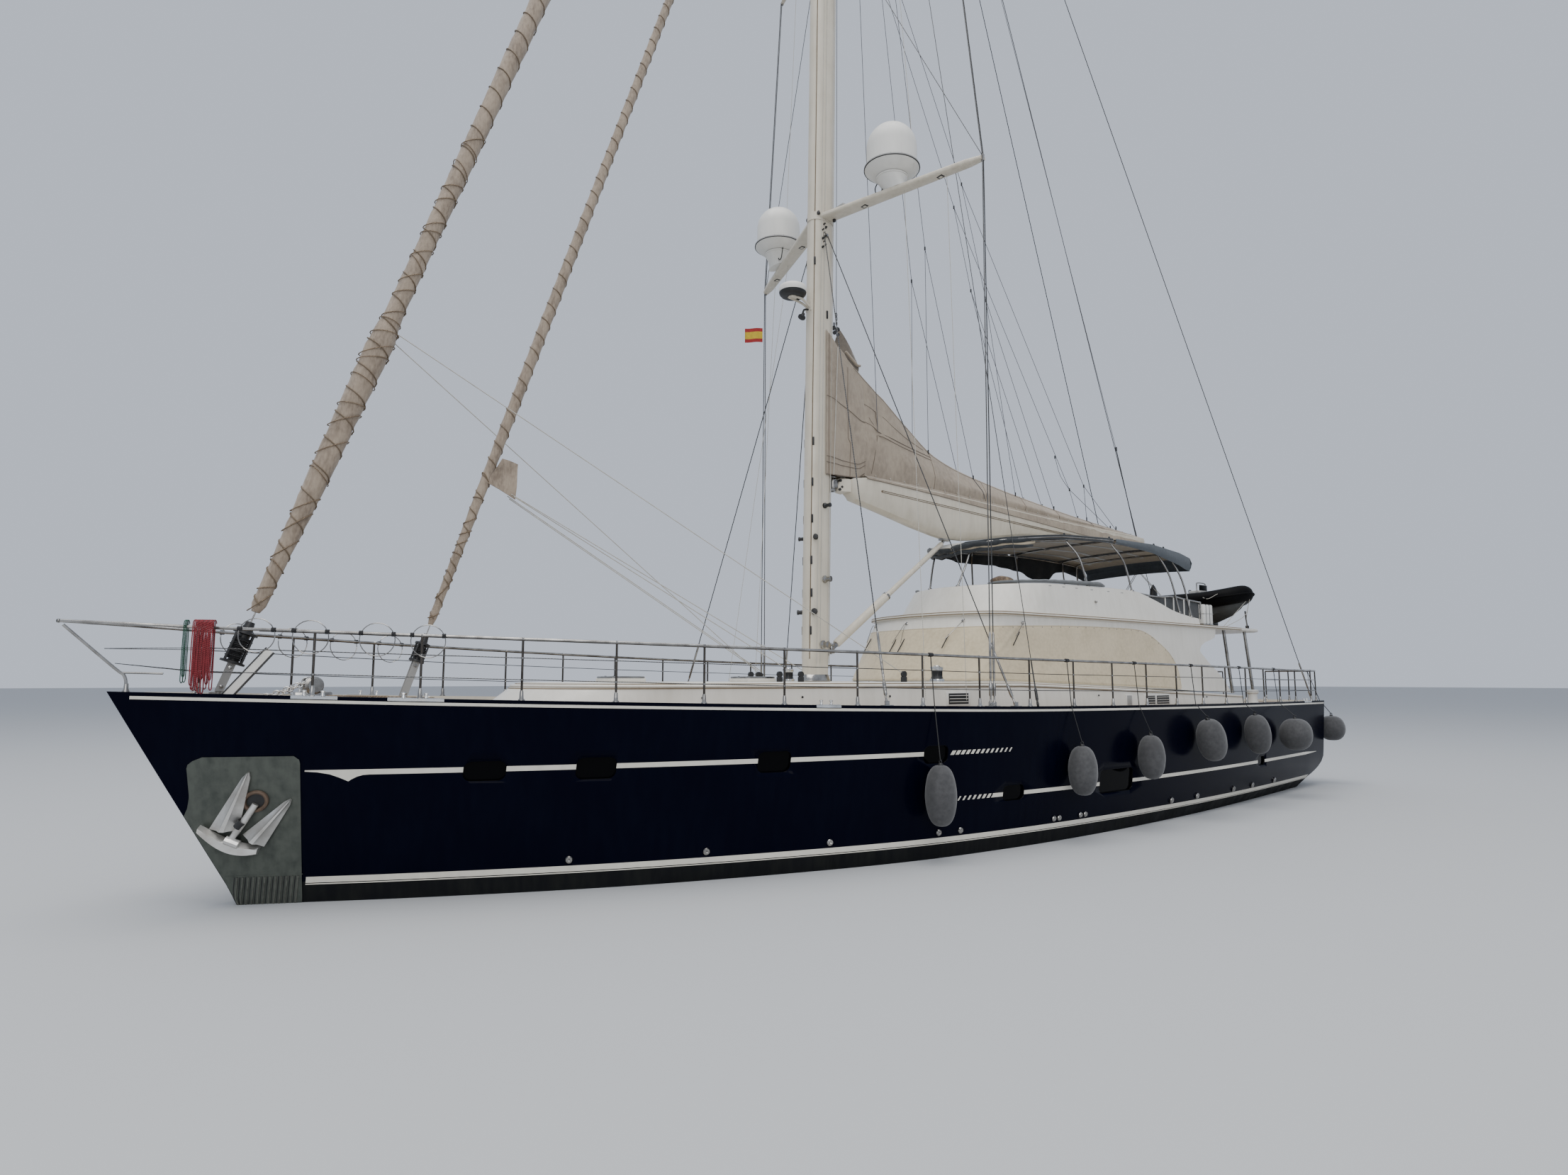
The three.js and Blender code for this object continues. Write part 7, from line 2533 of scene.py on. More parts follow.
@dataclass
class Mast:
    """The spar with its grooves, fittings, spreaders, domes and radar."""

    sections: tuple = ((-HOUSE_TOP, 0.3, 0.2), (-20.0, 0.3, 0.2), (-28.5, 0.24, 0.165), (-36.0, 0.16, 0.12))
    goose: float = 7.465
    vang_foot: float = 3.83
    upper: tuple = ((21.2, 2.95, 0.9), (28.6, 2.0, 0.62))
    spreader_z: float = 13.46
    span: float = 3.81
    sweep: float = 1.12
    pin: float = 0.43
    sides: int = 44
    top: float = 36.0
    domes: tuple = (("port", 1.81, 0.0), ("starboard", -2.4, 0.165))

    @staticmethod
    def x(z: float) -> float:
        """The mast's middle at a height."""
        return 2.874 - 0.019 * z

    def surface(self, z: float, degrees: float, out: float = 0.0) -> Vector:
        """A point on the mast's skin.

        Args:
            z: the height.
            degrees: the angle from dead ahead, to port.
            out: how far it stands off.

        Returns:
            The point.
        """
        depth, width = (table_value(self.sections, -z, column) for column in (1, 2))
        a = math.radians(degrees)
        c, s = math.cos(a), math.sin(a)
        return Vector((self.x(z) + (depth + out) * blunt(c, 0.86), (width + out) * blunt(s, 0.86), z))

    def loop(self, z: float, out: float = 0.0) -> list[Vector]:
        """A ring round the mast at a height, stood off by out."""
        return [self.surface(z, 360 * i / self.sides, out) for i in range(self.sides)]

    def axis(self, z: float) -> Vector:
        """A point on the pin that boom and vang turn on."""
        return Vector((self.x(z) - self.pin, 0, z))

    def build(self) -> None:
        """Builds the mast from the foot up."""
        self._spar()
        self._spreaders()
        for name, y, ahead in self.domes:
            self._dome(name, y, ahead)
        self._radar()

    def _spar(self) -> None:
        """The tube, its grooves, jaws, tangs, masthead and foot fittings."""
        shape = Shape("cream spar paint", "black fitting", "polished stainless", "brown groove")
        levels = [HOUSE_TOP, 3.13, *[3.13 + 0.8 * i for i in range(1, 41)], self.top]
        shape.rows([self.loop(z) for z in levels])
        for angle, tone, radius in ((37, 3, 0.011), (-37, 3, 0.011), (31, 0, 0.012), (-31, 0, 0.012),
                                    (180, 1, 0.03), (168, 0, 0.02), (192, 0, 0.02)):
            top = 34.5 if tone != 1 else 33.0
            shape.tube([[self.surface(z, angle, -0.003)
                         for z in (3.6 if tone != 1 else 8.3, 12, 20, 28.5, top)]], radius, 8, tone)
        boot = ((0, 0.05), (0.02, 0.055), (0.05, 0.04), (0.14, 0.012), (0.15, 0.0))
        shape.rows([self.loop(3.122 + dz, out) for dz, out in boot], 2, ends=False)
        for z, half in ((self.goose, 0.13), (self.vang_foot, 0.06)):
            for low in (z - half - 0.045, z + half):
                shape.turned([(0, 0), (0.074, 0), (0.08, 0.008), (0.08, 0.037), (0.074, 0.045), (0, 0.045)],
                             self.axis(low), 24, 2)
                shape.block((self.x(low) - 0.405, -0.07, low + 0.003),
                            (self.x(low) - 0.24, 0.07, low + 0.042), 2, 0.004)
            shape.tube([straight(self.axis(z - half - 0.06), self.axis(z + half + 0.06))], 0.028, 20, 2)
            shape.block((self.x(z) - 0.31, -0.11, z - half - 0.1), (self.x(z) - 0.27, 0.11, z + half + 0.1),
                        2, 0.01)
        for stay_x, lean, z in ((14.557, 0.342, 35.4), (11.99, 0.323, 28.9)):
            shape.block((self.x(z) + 0.02, -0.025, z + 0.0003), (stay_x - lean * z + 0.02, 0.025, z + 0.12),
                        2, 0.006)
        top = self.x(self.top)
        shape.block((top - 0.42, -0.045, 35.94), (top + 0.26, 0.045, 36.09), 0, 0.012)
        shape.tube([straight((top - 0.3, 0, 36.06), (top - 0.3, 0, 36.52)),
                    straight((top - 0.18, 0, 36.08), (top - 0.18, 0, 36.3))],
                   0.008, 6, 1)
        shape.tube([straight((top - 0.3, 0, 36.3), (top - 0.12, 0.02, 36.3))], 0.006, 6, 1)
        shape.turned([(0, 0), (0.05, 0.01), (0.055, 0.05), (0.04, 0.09), (0, 0.1)], (top + 0.12, 0, 36.085),
                     14, 1)
        for side in (1, -1):
            for z, sway, half in ((3.9, 96, 0.09), (4.6, 60, 0.07), (5.3, 102, 0.08), (6.2, 62, 0.06),
                                  (6.9, 98, 0.06)):
                face = self.surface(z, side * sway)
                out = (face - Vector((self.x(z), 0, z))).normalized()
                shape.turned([(0, -0.02), (half, -0.01), (half, 0.03), (half * 0.7, 0.05),
                              (half * 0.62, 0.11),
                              (half * 0.8, 0.14), (half * 0.78, 0.16), (0, 0.165)], face, 18,
                             2 if half > 0.07 else 1, out)
            boxes = [at(self.surface(z, side * a, 0.004), (0, 0, 1), spin=math.radians(side * a)) for z, a in
                     ((4.2, 42), (5.0, 44), (5.7, 41), (6.6, 43), (7.4, 42), (8.3, 44), (11.2, 100),
                      (12.4, 40))]
            exit_box = Shape("black fitting")
            exit_box.block((-0.012, -0.02, -0.09), (0.02, 0.02, 0.09), 0, 0.006)
            shape.repeat(exit_box, boxes, 1)
        self._ladder(shape)
        shape.piece("mast_spar", Slot.CREAM, ["mast"], smooth=40)

    def _ladder(self, shape: Shape) -> None:
        """Upper spreader arms and the light on the mast front.

        Args:
            shape: the shape that gets them.
        """
        for z, span, sweep in self.upper:
            for side in (1, -1):
                self._arm(shape, z, span, sweep, side, 0.11, 0.06)
        lamp = self.surface(11.12, 0, 0.16)
        shape.turned([(0, -0.07), (0.035, -0.06), (0.045, 0.0), (0.085, 0.03), (0.085, 0.06), (0, 0.065)],
                     lamp, 16, 1, (0.5, 0, -1))
        shape.tube([bend([self.surface(11.3, 0), self.surface(11.26, 0, 0.12), lamp], 4)], 0.022, 8, 1)

    def _arm(self, shape: Shape, z: float, span: float, sweep: float, side: int, root: float, tip: float,
             thick: float = 0.034) -> None:
        """One spreader arm of flattened section.

        Args:
            shape: the shape that gets it.
            z: its height.
            span: how far it reaches out.
            sweep: how far its tip lies aft.
            side: 1 for port, -1 for starboard.
            root: half its breadth at the mast.
            tip: half its breadth at the tip.
            thick: half its thickness.
        """
        rings = []
        for i in range(13):
            t = i / 12
            end = 0.7 if i == 12 else 1
            half = lerp(root, tip, t) * end
            x, y = self.x(z) - t * sweep, side * (0.12 + t * (span - 0.12))
            rings.append([Vector((x + half * blunt(c, 0.8), y, z + thick * end * blunt(s, 0.5)))
                          for c, s in circle(20, start=0.5)])
        shape.rows(rings)
        shape.turned([(0, -thick - 0.012), (0.034, -thick - 0.004), (0.034, thick + 0.004),
                      (0, thick + 0.012)],
                     (self.x(z) - sweep, side * span, z), 12, 2)

    def _spreaders(self) -> None:
        """The first spreaders with their collar, lamps, bolts and camera box."""
        shape = Shape("cream spar paint", "black fitting", "polished stainless", "grey moulding")
        collar = ((13.37, 0.004), (13.375, 0.016), (13.545, 0.016), (13.55, 0.004))
        shape.rows([self.loop(z, out) for z, out in collar], 0, ends=False)
        for side in (1, -1):
            self._arm(shape, self.spreader_z, self.span, self.sweep, side, 0.2, 0.11, 0.06)
            for t in (0.3, 0.765):
                x, y = self.x(self.spreader_z) - t * self.sweep, side * t * self.span
                shape.block((x - 0.055, y - 0.075, 13.394), (x + 0.055, y + 0.075, 13.42), 1, 0.008)
                shape.block((x - 0.03, y - 0.04, 13.39), (x + 0.03, y + 0.04, 13.398), 0)
            for dx, y, z in ((0.2, 0.2, 13.49), (-0.15, 0.32, 13.37)):
                shape.turned([(0, -0.03), (0.035, -0.02), (0.04, 0.02), (0.02, 0.06), (0, 0.065)],
                             (self.x(self.spreader_z) + dx, side * y, z), 12, 1)
        shape.block((self.x(13.5) - 0.2, 0.45, 13.515), (self.x(13.5) - 0.04, 0.75, 13.575), 3, 0.012)
        shape.block((self.x(13.5) - 0.17, 0.5, 13.57), (self.x(13.5) - 0.07, 0.6, 13.6), 1, 0.01)
        for i in range(9):
            z = 13.28 - 0.068 * i
            face = self.surface(z, 83 + 7 * math.sin(i * 2.1))
            size = 0.02 + 0.008 * math.sin(i * 1.7)
            shape.turned([(0, -0.01), (size, 0), (size, 0.035), (size * 0.6, 0.06), (0, 0.065)], face, 10, 1,
                         (0, 1, 0))
        cable = []
        for _, y, ahead in self.domes:
            x, turn = self.dome_x(y, ahead), math.copysign(1, y)
            cable.append(bend([(x + 0.1, y - turn * 0.33, 13.83), (x + 0.15, y - turn * 0.37, 13.68),
                               (x + 0.15, y - turn * 0.33, 13.54), (x + 0.13, y - turn * 0.22, 13.53),
                               (x + 0.12, y - turn * 0.16, 13.62)], 5))
        shape.tube(cable, 0.012, 8, 1)
        shape.piece("first_spreaders", Slot.CREAM, ["spreaders"], smooth=40)

    def dome_x(self, y: float, ahead: float) -> float:
        """The x of a dome that stands on the swept spreader at y, moved ahead."""
        return self.x(self.spreader_z) - abs(y) / self.span * self.sweep + ahead

    def _dome(self, name: str, y: float, ahead: float) -> None:
        """One satellite dome: wedge foot, bowl, dark seal and cap.

        Args:
            name: which side.
            y: where it stands on the spreader.
            ahead: how far it stands ahead of the spreader's middle.
        """
        x = self.dome_x(y, ahead)
        base = 13.5203
        away = math.copysign(0.05, y)
        shape = Shape("white moulding", "black fitting", "grey moulding")
        foot = []
        for z, wide, long, shift in ((-0.03, 0.13, 0.3, 1.4), (0.03, 0.15, 0.29, 1.0), (0.14, 0.23, 0.3, 0.4),
                                     (0.235, 0.325, 0.33, 0.0)):
            foot.append([Vector((x + wide * c, y + away * shift + long * s, base + z))
                         for c, s in circle(32)])
        shape.rows(foot)
        place = (x, y, base)
        shape.turned([(0, 0.235), (0.335, 0.236), (0.347, 0.243), (0.347, 0.262), (0.338, 0.27), (0, 0.271)],
                     place, 48)
        shape.turned([(0, 0.27), (0.3, 0.27), (0.3, 0.28), (0, 0.281)], place, 40, 1)
        shape.turned([(0, 0.279), (0.31, 0.28), (0.36, 0.295), (0.45, 0.35), (0.52, 0.4), (0.57, 0.443),
                      (0.582, 0.456), (0, 0.457)], place, 48)
        shape.turned([(0, 0.455), (0.586, 0.456), (0.595, 0.46), (0.595, 0.49), (0.585, 0.495), (0, 0.496)],
                     place, 48, 2)
        shape.turned([(0, 0.494), (0.552, 0.495), (0.552, 0.508), (0, 0.509)], place, 48, 1)
        shape.turned([(0.578, 0.452), (0.599, 0.456), (0.599, 0.464), (0.578, 0.464)], place, 48, 1)
        cap = [(0, 0.506), (0.536, 0.507), (0.536, 0.93)]
        cap += [(0.536 * math.cos(a), 0.93 + 0.535 * math.sin(a))
                for a in (math.pi / 2 * i / 14 for i in range(1, 14))]
        shape.turned([*cap, (0, 1.465)], place, 48)
        bolt = Shape("grey moulding")
        bolt.turned([(0, 0), (0.012, 0), (0.01, 0.012), (0, 0.014)], (0, 0, 0), 8)
        shape.repeat(bolt, [at((x + 0.574 * c, y + 0.574 * s, base + 0.494)) for c, s in circle(16)], 2)
        shape.piece(f"dome_{name}_cap", Slot.PLASTIC, [f"dome_{name}"], smooth=40)

    def _radar(self) -> None:
        """The radar scanner on its bracket."""
        low = 11.48
        x = self.x(low) + 0.73
        shape = Shape("white moulding", "black fitting", "cream spar paint")
        shape.turned([(0, 0.095), (0.3, 0.096), (0.304, 0.11), (0.302, 0.18), (0.28, 0.235), (0.22, 0.27),
                      (0.1, 0.288), (0, 0.29)], (x, 0, low), 40)
        shape.turned([(0, 0), (0.2, 0.002), (0.26, 0.02), (0.292, 0.06), (0.3, 0.09), (0, 0.098)],
                     (x, 0, low), 40, 1)
        shape.tube([bend([(self.x(low) + 0.28, y, low - 0.14), (self.x(low) + 0.4, y, low - 0.07),
                          (x - 0.16, y * 1.6, low - 0.015),
                          (x + 0.08, y, low - 0.005)], 5) for y in (0.05, -0.05)], 0.028, 10, 2)
        shape.block((self.x(low) + 0.27, -0.1, low - 0.22), (self.x(low) + 0.31, 0.1, low + 0.02), 2, 0.01)
        shape.turned([(0, 0), (0.1, 0), (0.1, 0.02), (0, 0.02)], (x, 0, low - 0.015), 20, 2)
        shape.piece("radar_scanner", Slot.PLASTIC, ["radar"], smooth=40)


@dataclass
class Boom:
    """The deep boom with its groove, vang, covered mainsail, lazy jacks and mainsheet."""

    mast: Mast
    top: tuple = ((1.95, 7.6), (1.4, 7.69), (-1.2, 7.6), (-5.7, 7.38), (-9.15, 7.28), (-9.26, 7.2))
    low: tuple = ((1.95, 7.29), (1.79, 7.19), (1.77, 7.14), (0.86, 6.94), (-0.04, 6.73), (-1.0, 6.545),
                  (-1.9, 6.57), (-4.0, 6.9), (-9.24, 7.06))
    leech: tuple = ((2.3, 10.75), (2.14, 10.62), (1.66, 10.25), (0.96, 9.75), (0.0, 9.5), (-10.0, 9.0))
    hem: tuple = ((1.57, 7.65), (0.89, 7.62), (-0.54, 7.54), (-1.34, 7.48), (-2.62, 7.38), (-4.29, 7.26),
                  (-6.33, 7.1), (-9.2, 6.98))
    creases: tuple = (
        (0.011, (1.12, 8.8), (0.16, 8.6), (-0.63, 8.47)), (0.009, (1.12, 8.72), (0.16, 8.52), (-0.63, 8.39)),
        (0.007, (1.12, 8.77), (1.2, 8.3), (1.3, 7.8)), (0.007, (1.1, 8.83), (1.12, 9.1), (1.11, 9.27)),
        (0.009, (1.12, 8.8), (1.3, 8.93), (1.6, 9.0)), (0.005, (1.15, 8.86), (1.25, 8.98), (1.35, 9.1)),
        (0.006, (1.11, 9.27), (1.3, 9.36), (1.5, 9.42)), (0.006, (0.9, 9.2), (0.3, 8.85), (-0.4, 8.62)))
    stack: tuple = (
        (2.19, 7.65, 11.0, 0.06), (2.0, 7.64, 10.9, 0.11), (1.56, 7.64, 10.2, 0.17), (0.92, 7.64, 9.75, 0.21),
        (0.12, 7.61, 9.15, 0.24), (-0.82, 7.58, 8.54, 0.25), (-2.41, 7.52, 8.15, 0.25),
        (-5.75, 7.35, 7.69, 0.22), (-9.15, 7.25, 7.36, 0.12))

    def ridge(self, x: float) -> float:
        """Height of the boom's top at x, abaft the gooseneck fitting."""
        return smooth_value(self.top[1:], x)

    def build(self) -> None:
        """Builds everything that swings with the boom."""
        self._spar()
        self._vang()
        self._cover()
        self._lines()

    def _spar(self) -> None:
        """The fish-bellied boom."""
        shape = Shape("cream spar paint", "black fitting", "polished stainless", "brown groove")
        xs = [1.95, 1.9, 1.795, 1.77, 1.7, *[1.4 - 0.35 * i for i in range(30)], -9.15, -9.22, -9.25]
        rings = []
        for x in xs:
            high = table_value(self.top, x) if x > 1.4 or x < -9.1 else self.ridge(x)
            deep = table_value(self.low, x)
            pinch = 0.6 if x in (xs[0], xs[-1]) else (0.92 if x in (xs[1], xs[-2]) else 1)
            ring = []
            for y, share in ((0.07, 0.0), (0.15, 0.07), (0.2, 0.22), (0.226, 0.45), (0.23, 0.66),
                             (0.23, 0.95), (0.215, 1.0),
                             (-0.215, 1.0), (-0.23, 0.95), (-0.23, 0.66), (-0.226, 0.45), (-0.2, 0.22),
                             (-0.15, 0.07), (-0.07, 0.0)):
                middle = (high + deep) / 2
                ring.append(Vector((x, y * pinch, middle + (lerp(deep, high, share) - middle) * pinch)))
            rings.append(ring)
        shape.rows(rings)
        for side in (1, -1):
            places = ((1.05, 7.41), (-0.61, 7.315), (-2.63, 7.2), (-5.04, 7.07), (-7.0, 7.0))
            for rise in (0.018, -0.018):
                line = [Vector((x, side * 0.23, z + rise)) for x, z in places]
                shape.tube([line], 0.0085, 6, 3)
            shape.turned([(0, -0.012), (0.026, -0.01), (0.026, 0.01), (0, 0.012)],
                         (1.05, side * 0.226, 7.41), 16, 3, (0, side, 0))
            rail = [Vector((x, side * 0.222, self.ridge(min(max(x, -9.1), 1.39)) - 0.015)) for x in
                    (1.35 - 0.5 * i for i in range(21))]
            shape.tube([rail], 0.018, 8, 0)
        shape.block((1.7, -0.055, 7.375), (self.mast.x(self.mast.goose) - 0.425, 0.055, 7.555), 2, 0.01)
        self._sleeve(shape, self.mast.goose, (7.342, 7.35, 7.58, 7.588), 2)
        nose = []
        for x, half, low, high in ((1.93, 0.19, 7.3, 7.6), (2.05, 0.15, 7.3, 7.61), (2.14, 0.11, 7.3, 7.6),
                                   (2.2, 0.07, 7.3, 7.46)):
            nose.append([Vector((x, y, z)) for y, z in ((-half, low), (half, low), (half, high - 0.03),
                                                        (half * 0.7, high),
                                                        (-half * 0.7, high), (-half, high - 0.03))])
        shape.rows(nose)
        for side in (1, -1):
            for x, z in ((2.16, 7.54), (2.12, 7.4), (2.18, 7.34)):
                shape.turned([(0, -0.02), (0.03, -0.015), (0.03, 0.02), (0.02, 0.03), (0, 0.03)],
                             (x, side * 0.1, z), 10, 1, (0, side, 0))
        shape.block((-9.26, -0.16, 7.1), (-9.18, 0.16, 7.2), 2, 0.01)
        for x in (-9.1, -8.6):
            shape.turned([(0, -0.03), (0.07, -0.03), (0.075, 0), (0.07, 0.03), (0, 0.03)], (x, 0.0, 6.99),
                         18, 1, (0, 1, 0))
        shape.block((-1.3, -0.06, 6.5), (-1.0, 0.06, 6.66), 2, 0.01)
        shape.piece("boom_spar", Slot.CREAM, ["boom"], Body.BOOM, smooth=32)

    def _sleeve(self, shape: Shape, at_height: float, levels: Point, tone: int) -> None:
        """A bearing sleeve round the pin.

        Args:
            shape: the shape that gets it.
            at_height: the height at which the pin's place is taken.
            levels: its foot, lower shoulder, upper shoulder and head.
            tone: which finish.
        """
        x = self.mast.x(at_height) - self.mast.pin
        low, foot, neck, top = levels
        profile = ((0.0295, low), (0.06, low), (0.062, foot), (0.062, neck), (0.06, top), (0.0295, top),
                   (0.0295, low))
        shape.rows([[(x + r * c, r * s, z) for c, s in circle(32)] for r, z in profile], tone, ends=False)

    def _vang(self) -> None:
        """The strut below the boom."""
        shape = Shape("cream spar paint", "polished stainless", "black fitting")
        foot = self.mast.axis(self.mast.vang_foot)
        head = Vector((-1.15, 0, 6.5))
        way = (head - foot).normalized()
        length = (head - foot).length
        shape.turned([(0, 0.17), (0.075, 0.17), (0.095, 0.2), (0.095, 2.02), (0.085, 2.05), (0.062, 2.06),
                      (0.062, length - 0.14), (0.05, length - 0.12), (0, length - 0.12)], foot, 24, 0, way)
        shape.turned([(0, 2.0), (0.1, 2.0), (0.1, 2.05), (0, 2.05)], foot, 24, 1, way)
        self._sleeve(shape, self.mast.vang_foot, (3.776, 3.78, 3.88, 3.884), 1)
        reach = foot + way * 0.19
        shape.rows([[Vector((foot.x - 0.03, y, z)) for y, z in ((-0.045, 3.79), (0.045, 3.79), (0.045, 3.87),
                                                                (-0.045, 3.87))],
                    [reach + Vector((0.0, y, z)) for y, z in ((-0.06, -0.05), (0.06, -0.05), (0.06, 0.06),
                                                              (-0.06, 0.06))]], 1)
        shape.tube([straight(head - way * 0.15, head + upward(0.03))], 0.035, 12, 1)
        shape.piece("vang_strut", Slot.CREAM, ["vang"], Body.BOOM, smooth=40)

    def _cover(self) -> None:
        """The mainsail under its cover, with folds, seams, straps and the open head."""
        shape = Shape("sail cover cloth", "seam cloth and crease shade", "cover cloth in painted shade", "black fitting")
        rings = []
        xs = [2.19, 2.17, 2.1, 2.0, 1.85, 1.7, 1.56, 1.4, 1.2, 1.0, *[0.82 - 0.2 * i for i in range(50)],
              -9.15]
        count = 34
        for x in xs:
            low, high = self._limits(x)
            ring = []
            for k in range(count):
                up = 0.5 - 0.5 * math.cos(TAU * k / count)
                side = 0 if k in (0, count // 2) else (1 if k < count / 2 else -1)
                ring.append(self._cloth_point(x, lerp(low, high, up), side))
            rings.append(ring)
        shape.rows(rings)
        for side in (1, -1):
            rows = []
            for i in range(61):
                x = lerp(1.5, -9.1, i / 60)
                top = self._cloth_point(x, self._limits(x)[0] + 0.05, side)
                edge = table_value(self.hem, x)
                y = side * (0.243 + 0.004 * math.sin(i * 1.9))
                rows.append([top, Vector((x, (top.y + y) / 2, top.z - 0.035)),
                             Vector((x, y, lerp(top.z, edge, 0.6))),
                             Vector((x, y, edge))])
            shape.plate(rows, lambda point, s=side: Vector((0, -0.005 * s, 0)))
            shape.tube([[row[-1] for row in rows]], 0.006, 5, 1)
            # Dark lines along the creases, in the seam cloth, are painted shade in the folds.
            for line in self.creases:
                if side > 0 or line[0] > 0.008:
                    points = bend([Vector((x, 0, z)) for x, z in line[1:]], 6)
                    shape.tube([[self._cloth_point(p.x, p.z, side) + Vector((0, side * 0.002, 0))
                                 for p in points]],
                               line[0], 5, 1)
            for x in (-0.62, -2.4, -3.9, -5.3, -6.8):
                low, high = self._limits(x)
                seam = [self._cloth_point(x, lerp(low, high, t / 12), side) + Vector((0, side * 0.002, 0))
                        for t in range(13)]
                shape.tube([seam], 0.006, 5, 1)
        for lift in (0.004, -0.05):
            ridge = [self._cloth_point(x, self._limits(x)[1] + min(lift, 0), 0 if lift > 0 else 1)
                     for x in xs[5:]]
            shape.tube([ridge], 0.007, 5, 1)
        self._head(shape)
        piece = shape.piece("mainsail_cover", Slot.SAIL, ["sail_cover"], Body.BOOM, smooth=60)
        self._collar()
        lace = Shape("white rope", "black fitting")
        loop = Shape("white rope")
        loop.tube([[(0, 0.03 * c, 0.05 * s) for c, s in circle(10, closed=True)]], 0.006, 5)
        spots = []
        for i in range(24):
            x = 1.2 - 0.43 * i
            half = smooth_value(self.stack, x, 3) * 0.86
            z = self.ridge(max(x, -9.1)) + 0.04
            spots += [at((x, s * half, z)) for s in (1, -1)]
        lace.repeat(loop, spots)
        lace.piece("cover_lacing", Slot.SAIL, body=Body.BOOM)

    def _limits(self, x: float) -> tuple[float, float]:
        """Lowest and highest point of the covered sail.

        Args:
            x: where along the boom.

        Returns:
            Both heights.
        """
        low, high = smooth_value(self.stack, x, 1), smooth_value(self.stack, x, 2)
        if x < 1.9:
            low = max(low, table_value(self.top, min(x, 1.39)) + 0.004)
        return low, min(high, table_value(self.leech, x))

    def _cloth_point(self, x: float, z: float, side: int) -> Vector:
        """A point of the cover's skin.

        Args:
            x: where along the boom.
            z: its height.
            side: 1 for port, -1 for starboard, 0 for the middle.

        Returns:
            The point, with the folds of the cloth.
        """
        low, high = self._limits(x)
        up = min(max((z - low) / (high - low), 0), 1)
        half = smooth_value(self.stack, x, 3)
        if up < 0.35:
            wide = lerp(0.72, 1.0, (up / 0.35) ** 0.6)
        else:
            wide = lerp(1.0, 0.12, ((up - 0.35) / 0.65) ** 1.15)
        fold = 0.0
        if 0.04 < up < 0.98:
            fold = 0.02 * noise.noise(Vector((x * 0.9 + 5 * side, up * (high - low) * 2.6 - x * 0.25, 1.7)))
            fold += 0.01 * noise.noise(Vector((x * 3.1, up * (high - low) * 7, 4.2 + side)))
            reach, rise = x - 1.12, z - 8.79
            fan = math.atan2(rise, reach)
            near = math.exp(-math.hypot(reach, rise) / 0.55)
            fold += 0.03 * near * math.sin(9 * fan) - 0.02 * math.exp(-(reach * reach + rise * rise) / 0.01)
            fold += 0.01 * math.sin(7 * (rise + 0.32 * x)) * min(up * 4, 1) * (0.3 if x > 1.3 else 1)
        return Vector((x - (0.019 if x > 1.9 else 0.0) * (z - 7.5), side * wide * (half + fold), z))

    @staticmethod
    def _head(shape: Shape) -> None:
        """The open head: starboard flap with a rolled edge, headboard blocks and shackles.

        Args:
            shape: the shape that gets them.
        """
        rows = []
        for i in range(9):
            t = i / 8
            low = Vector((2.22, -0.05, 10.62)).lerp(Vector((1.48, -0.06, 10.2)), t)
            high = Vector((1.99, -0.13, 11.12)).lerp(Vector((1.4, -0.15, 10.4)),
                                                     t) + upward(0.05 * math.sin(math.pi * t))
            rows.append([low.lerp(high, k / 4) + Vector((0, -0.015 * math.sin(3 * t + k), 0))
                         for k in range(5)])
        # The flap takes the darker copy of the cover cloth: painted shade.
        shape.plate(rows, lambda point: Vector((0, 0.006, 0)), 2)
        shape.tube([bend([(1.92, 0.02, 10.56), (1.72, 0.01, 10.42), (1.55, -0.02, 10.33),
                          (1.42, -0.08, 10.36)], 5)], 0.034, 9)
        for x, z, size in ((2.27, 11.03, 0.05), (2.24, 10.93, 0.045), (2.16, 11.02, 0.05),
                           (2.15, 10.9, 0.035)):
            shape.turned([(0, -0.025), (size, -0.02), (size, 0.02), (0, 0.025)], (x, 0.03, z), 14, 3,
                         (0.2, 1, 0))
        for x, z in ((2.25, 11.12), (2.18, 11.16), (2.18, 11.27), (2.185, 11.36)):
            link = [Vector((x + 0.018 * c, 0.02, z + 0.045 * s)) for c, s in circle(10, closed=True)]
            shape.tube([link], 0.01, 6, 3)

    def _collar(self) -> None:
        """The cover's front panels, laced to the mast's sides, with a hem and seams."""
        shape = Shape("sail cover cloth", "seam cloth and crease shade", "white rope")
        top = ((2.66, 10.87), (2.46, 10.7), (2.28, 10.51), (2.12, 10.38), (1.84, 10.17), (1.62, 10.03),
               (1.4, 9.9))
        for side in (1, -1):
            rows = []
            for i in range(17):
                t = i / 16
                row = []
                for k in range(25):
                    s = k / 24
                    low_x, high_x = lerp(2.67, 1.5, t), lerp(2.64, 1.44, t)
                    x = lerp(low_x, high_x, s) - 0.012 * (1 - t)
                    low = 7.6 + 0.07 * t if t < 0.85 else 7.66 + 0.12 * (t - 0.85) / 0.15
                    z = lerp(low, table_value(top, x), s)
                    skin = abs(self._cloth_point(min(x, 2.18), z, side).y)
                    reach = lerp(0.224, 0.2, min(t * 1.4, 1))
                    y = max(lerp(reach, skin + 0.006, max(t * 1.3 - 0.3, 0)), skin + 0.006)
                    y += 0.006 * math.sin(z * 5 + x * 7) * min(t * 3, 1)
                    row.append(Vector((x, side * y, z)))
                rows.append(row)
            shape.plate(rows, lambda point, s=side: Vector((0, -0.004 * s, 0)))
            out = Vector((0, side * 0.004, 0))
            for column in (0, 1):
                shape.tube([[p + out for p in rows[column]]], 0.006 if column else 0.009, 5,
                           1 if column else 0)
            for k, radius in ((0, 0.012), (2, 0.007), (3, 0.007)):
                shape.tube([[row[k] + out for row in rows]], radius, 5, 1)
            shape.tube([[row[13] + out + upward(0.1 * math.sin(math.pi * i / 16))
                         for i, row in enumerate(rows)]],
                       0.007, 5, 1)
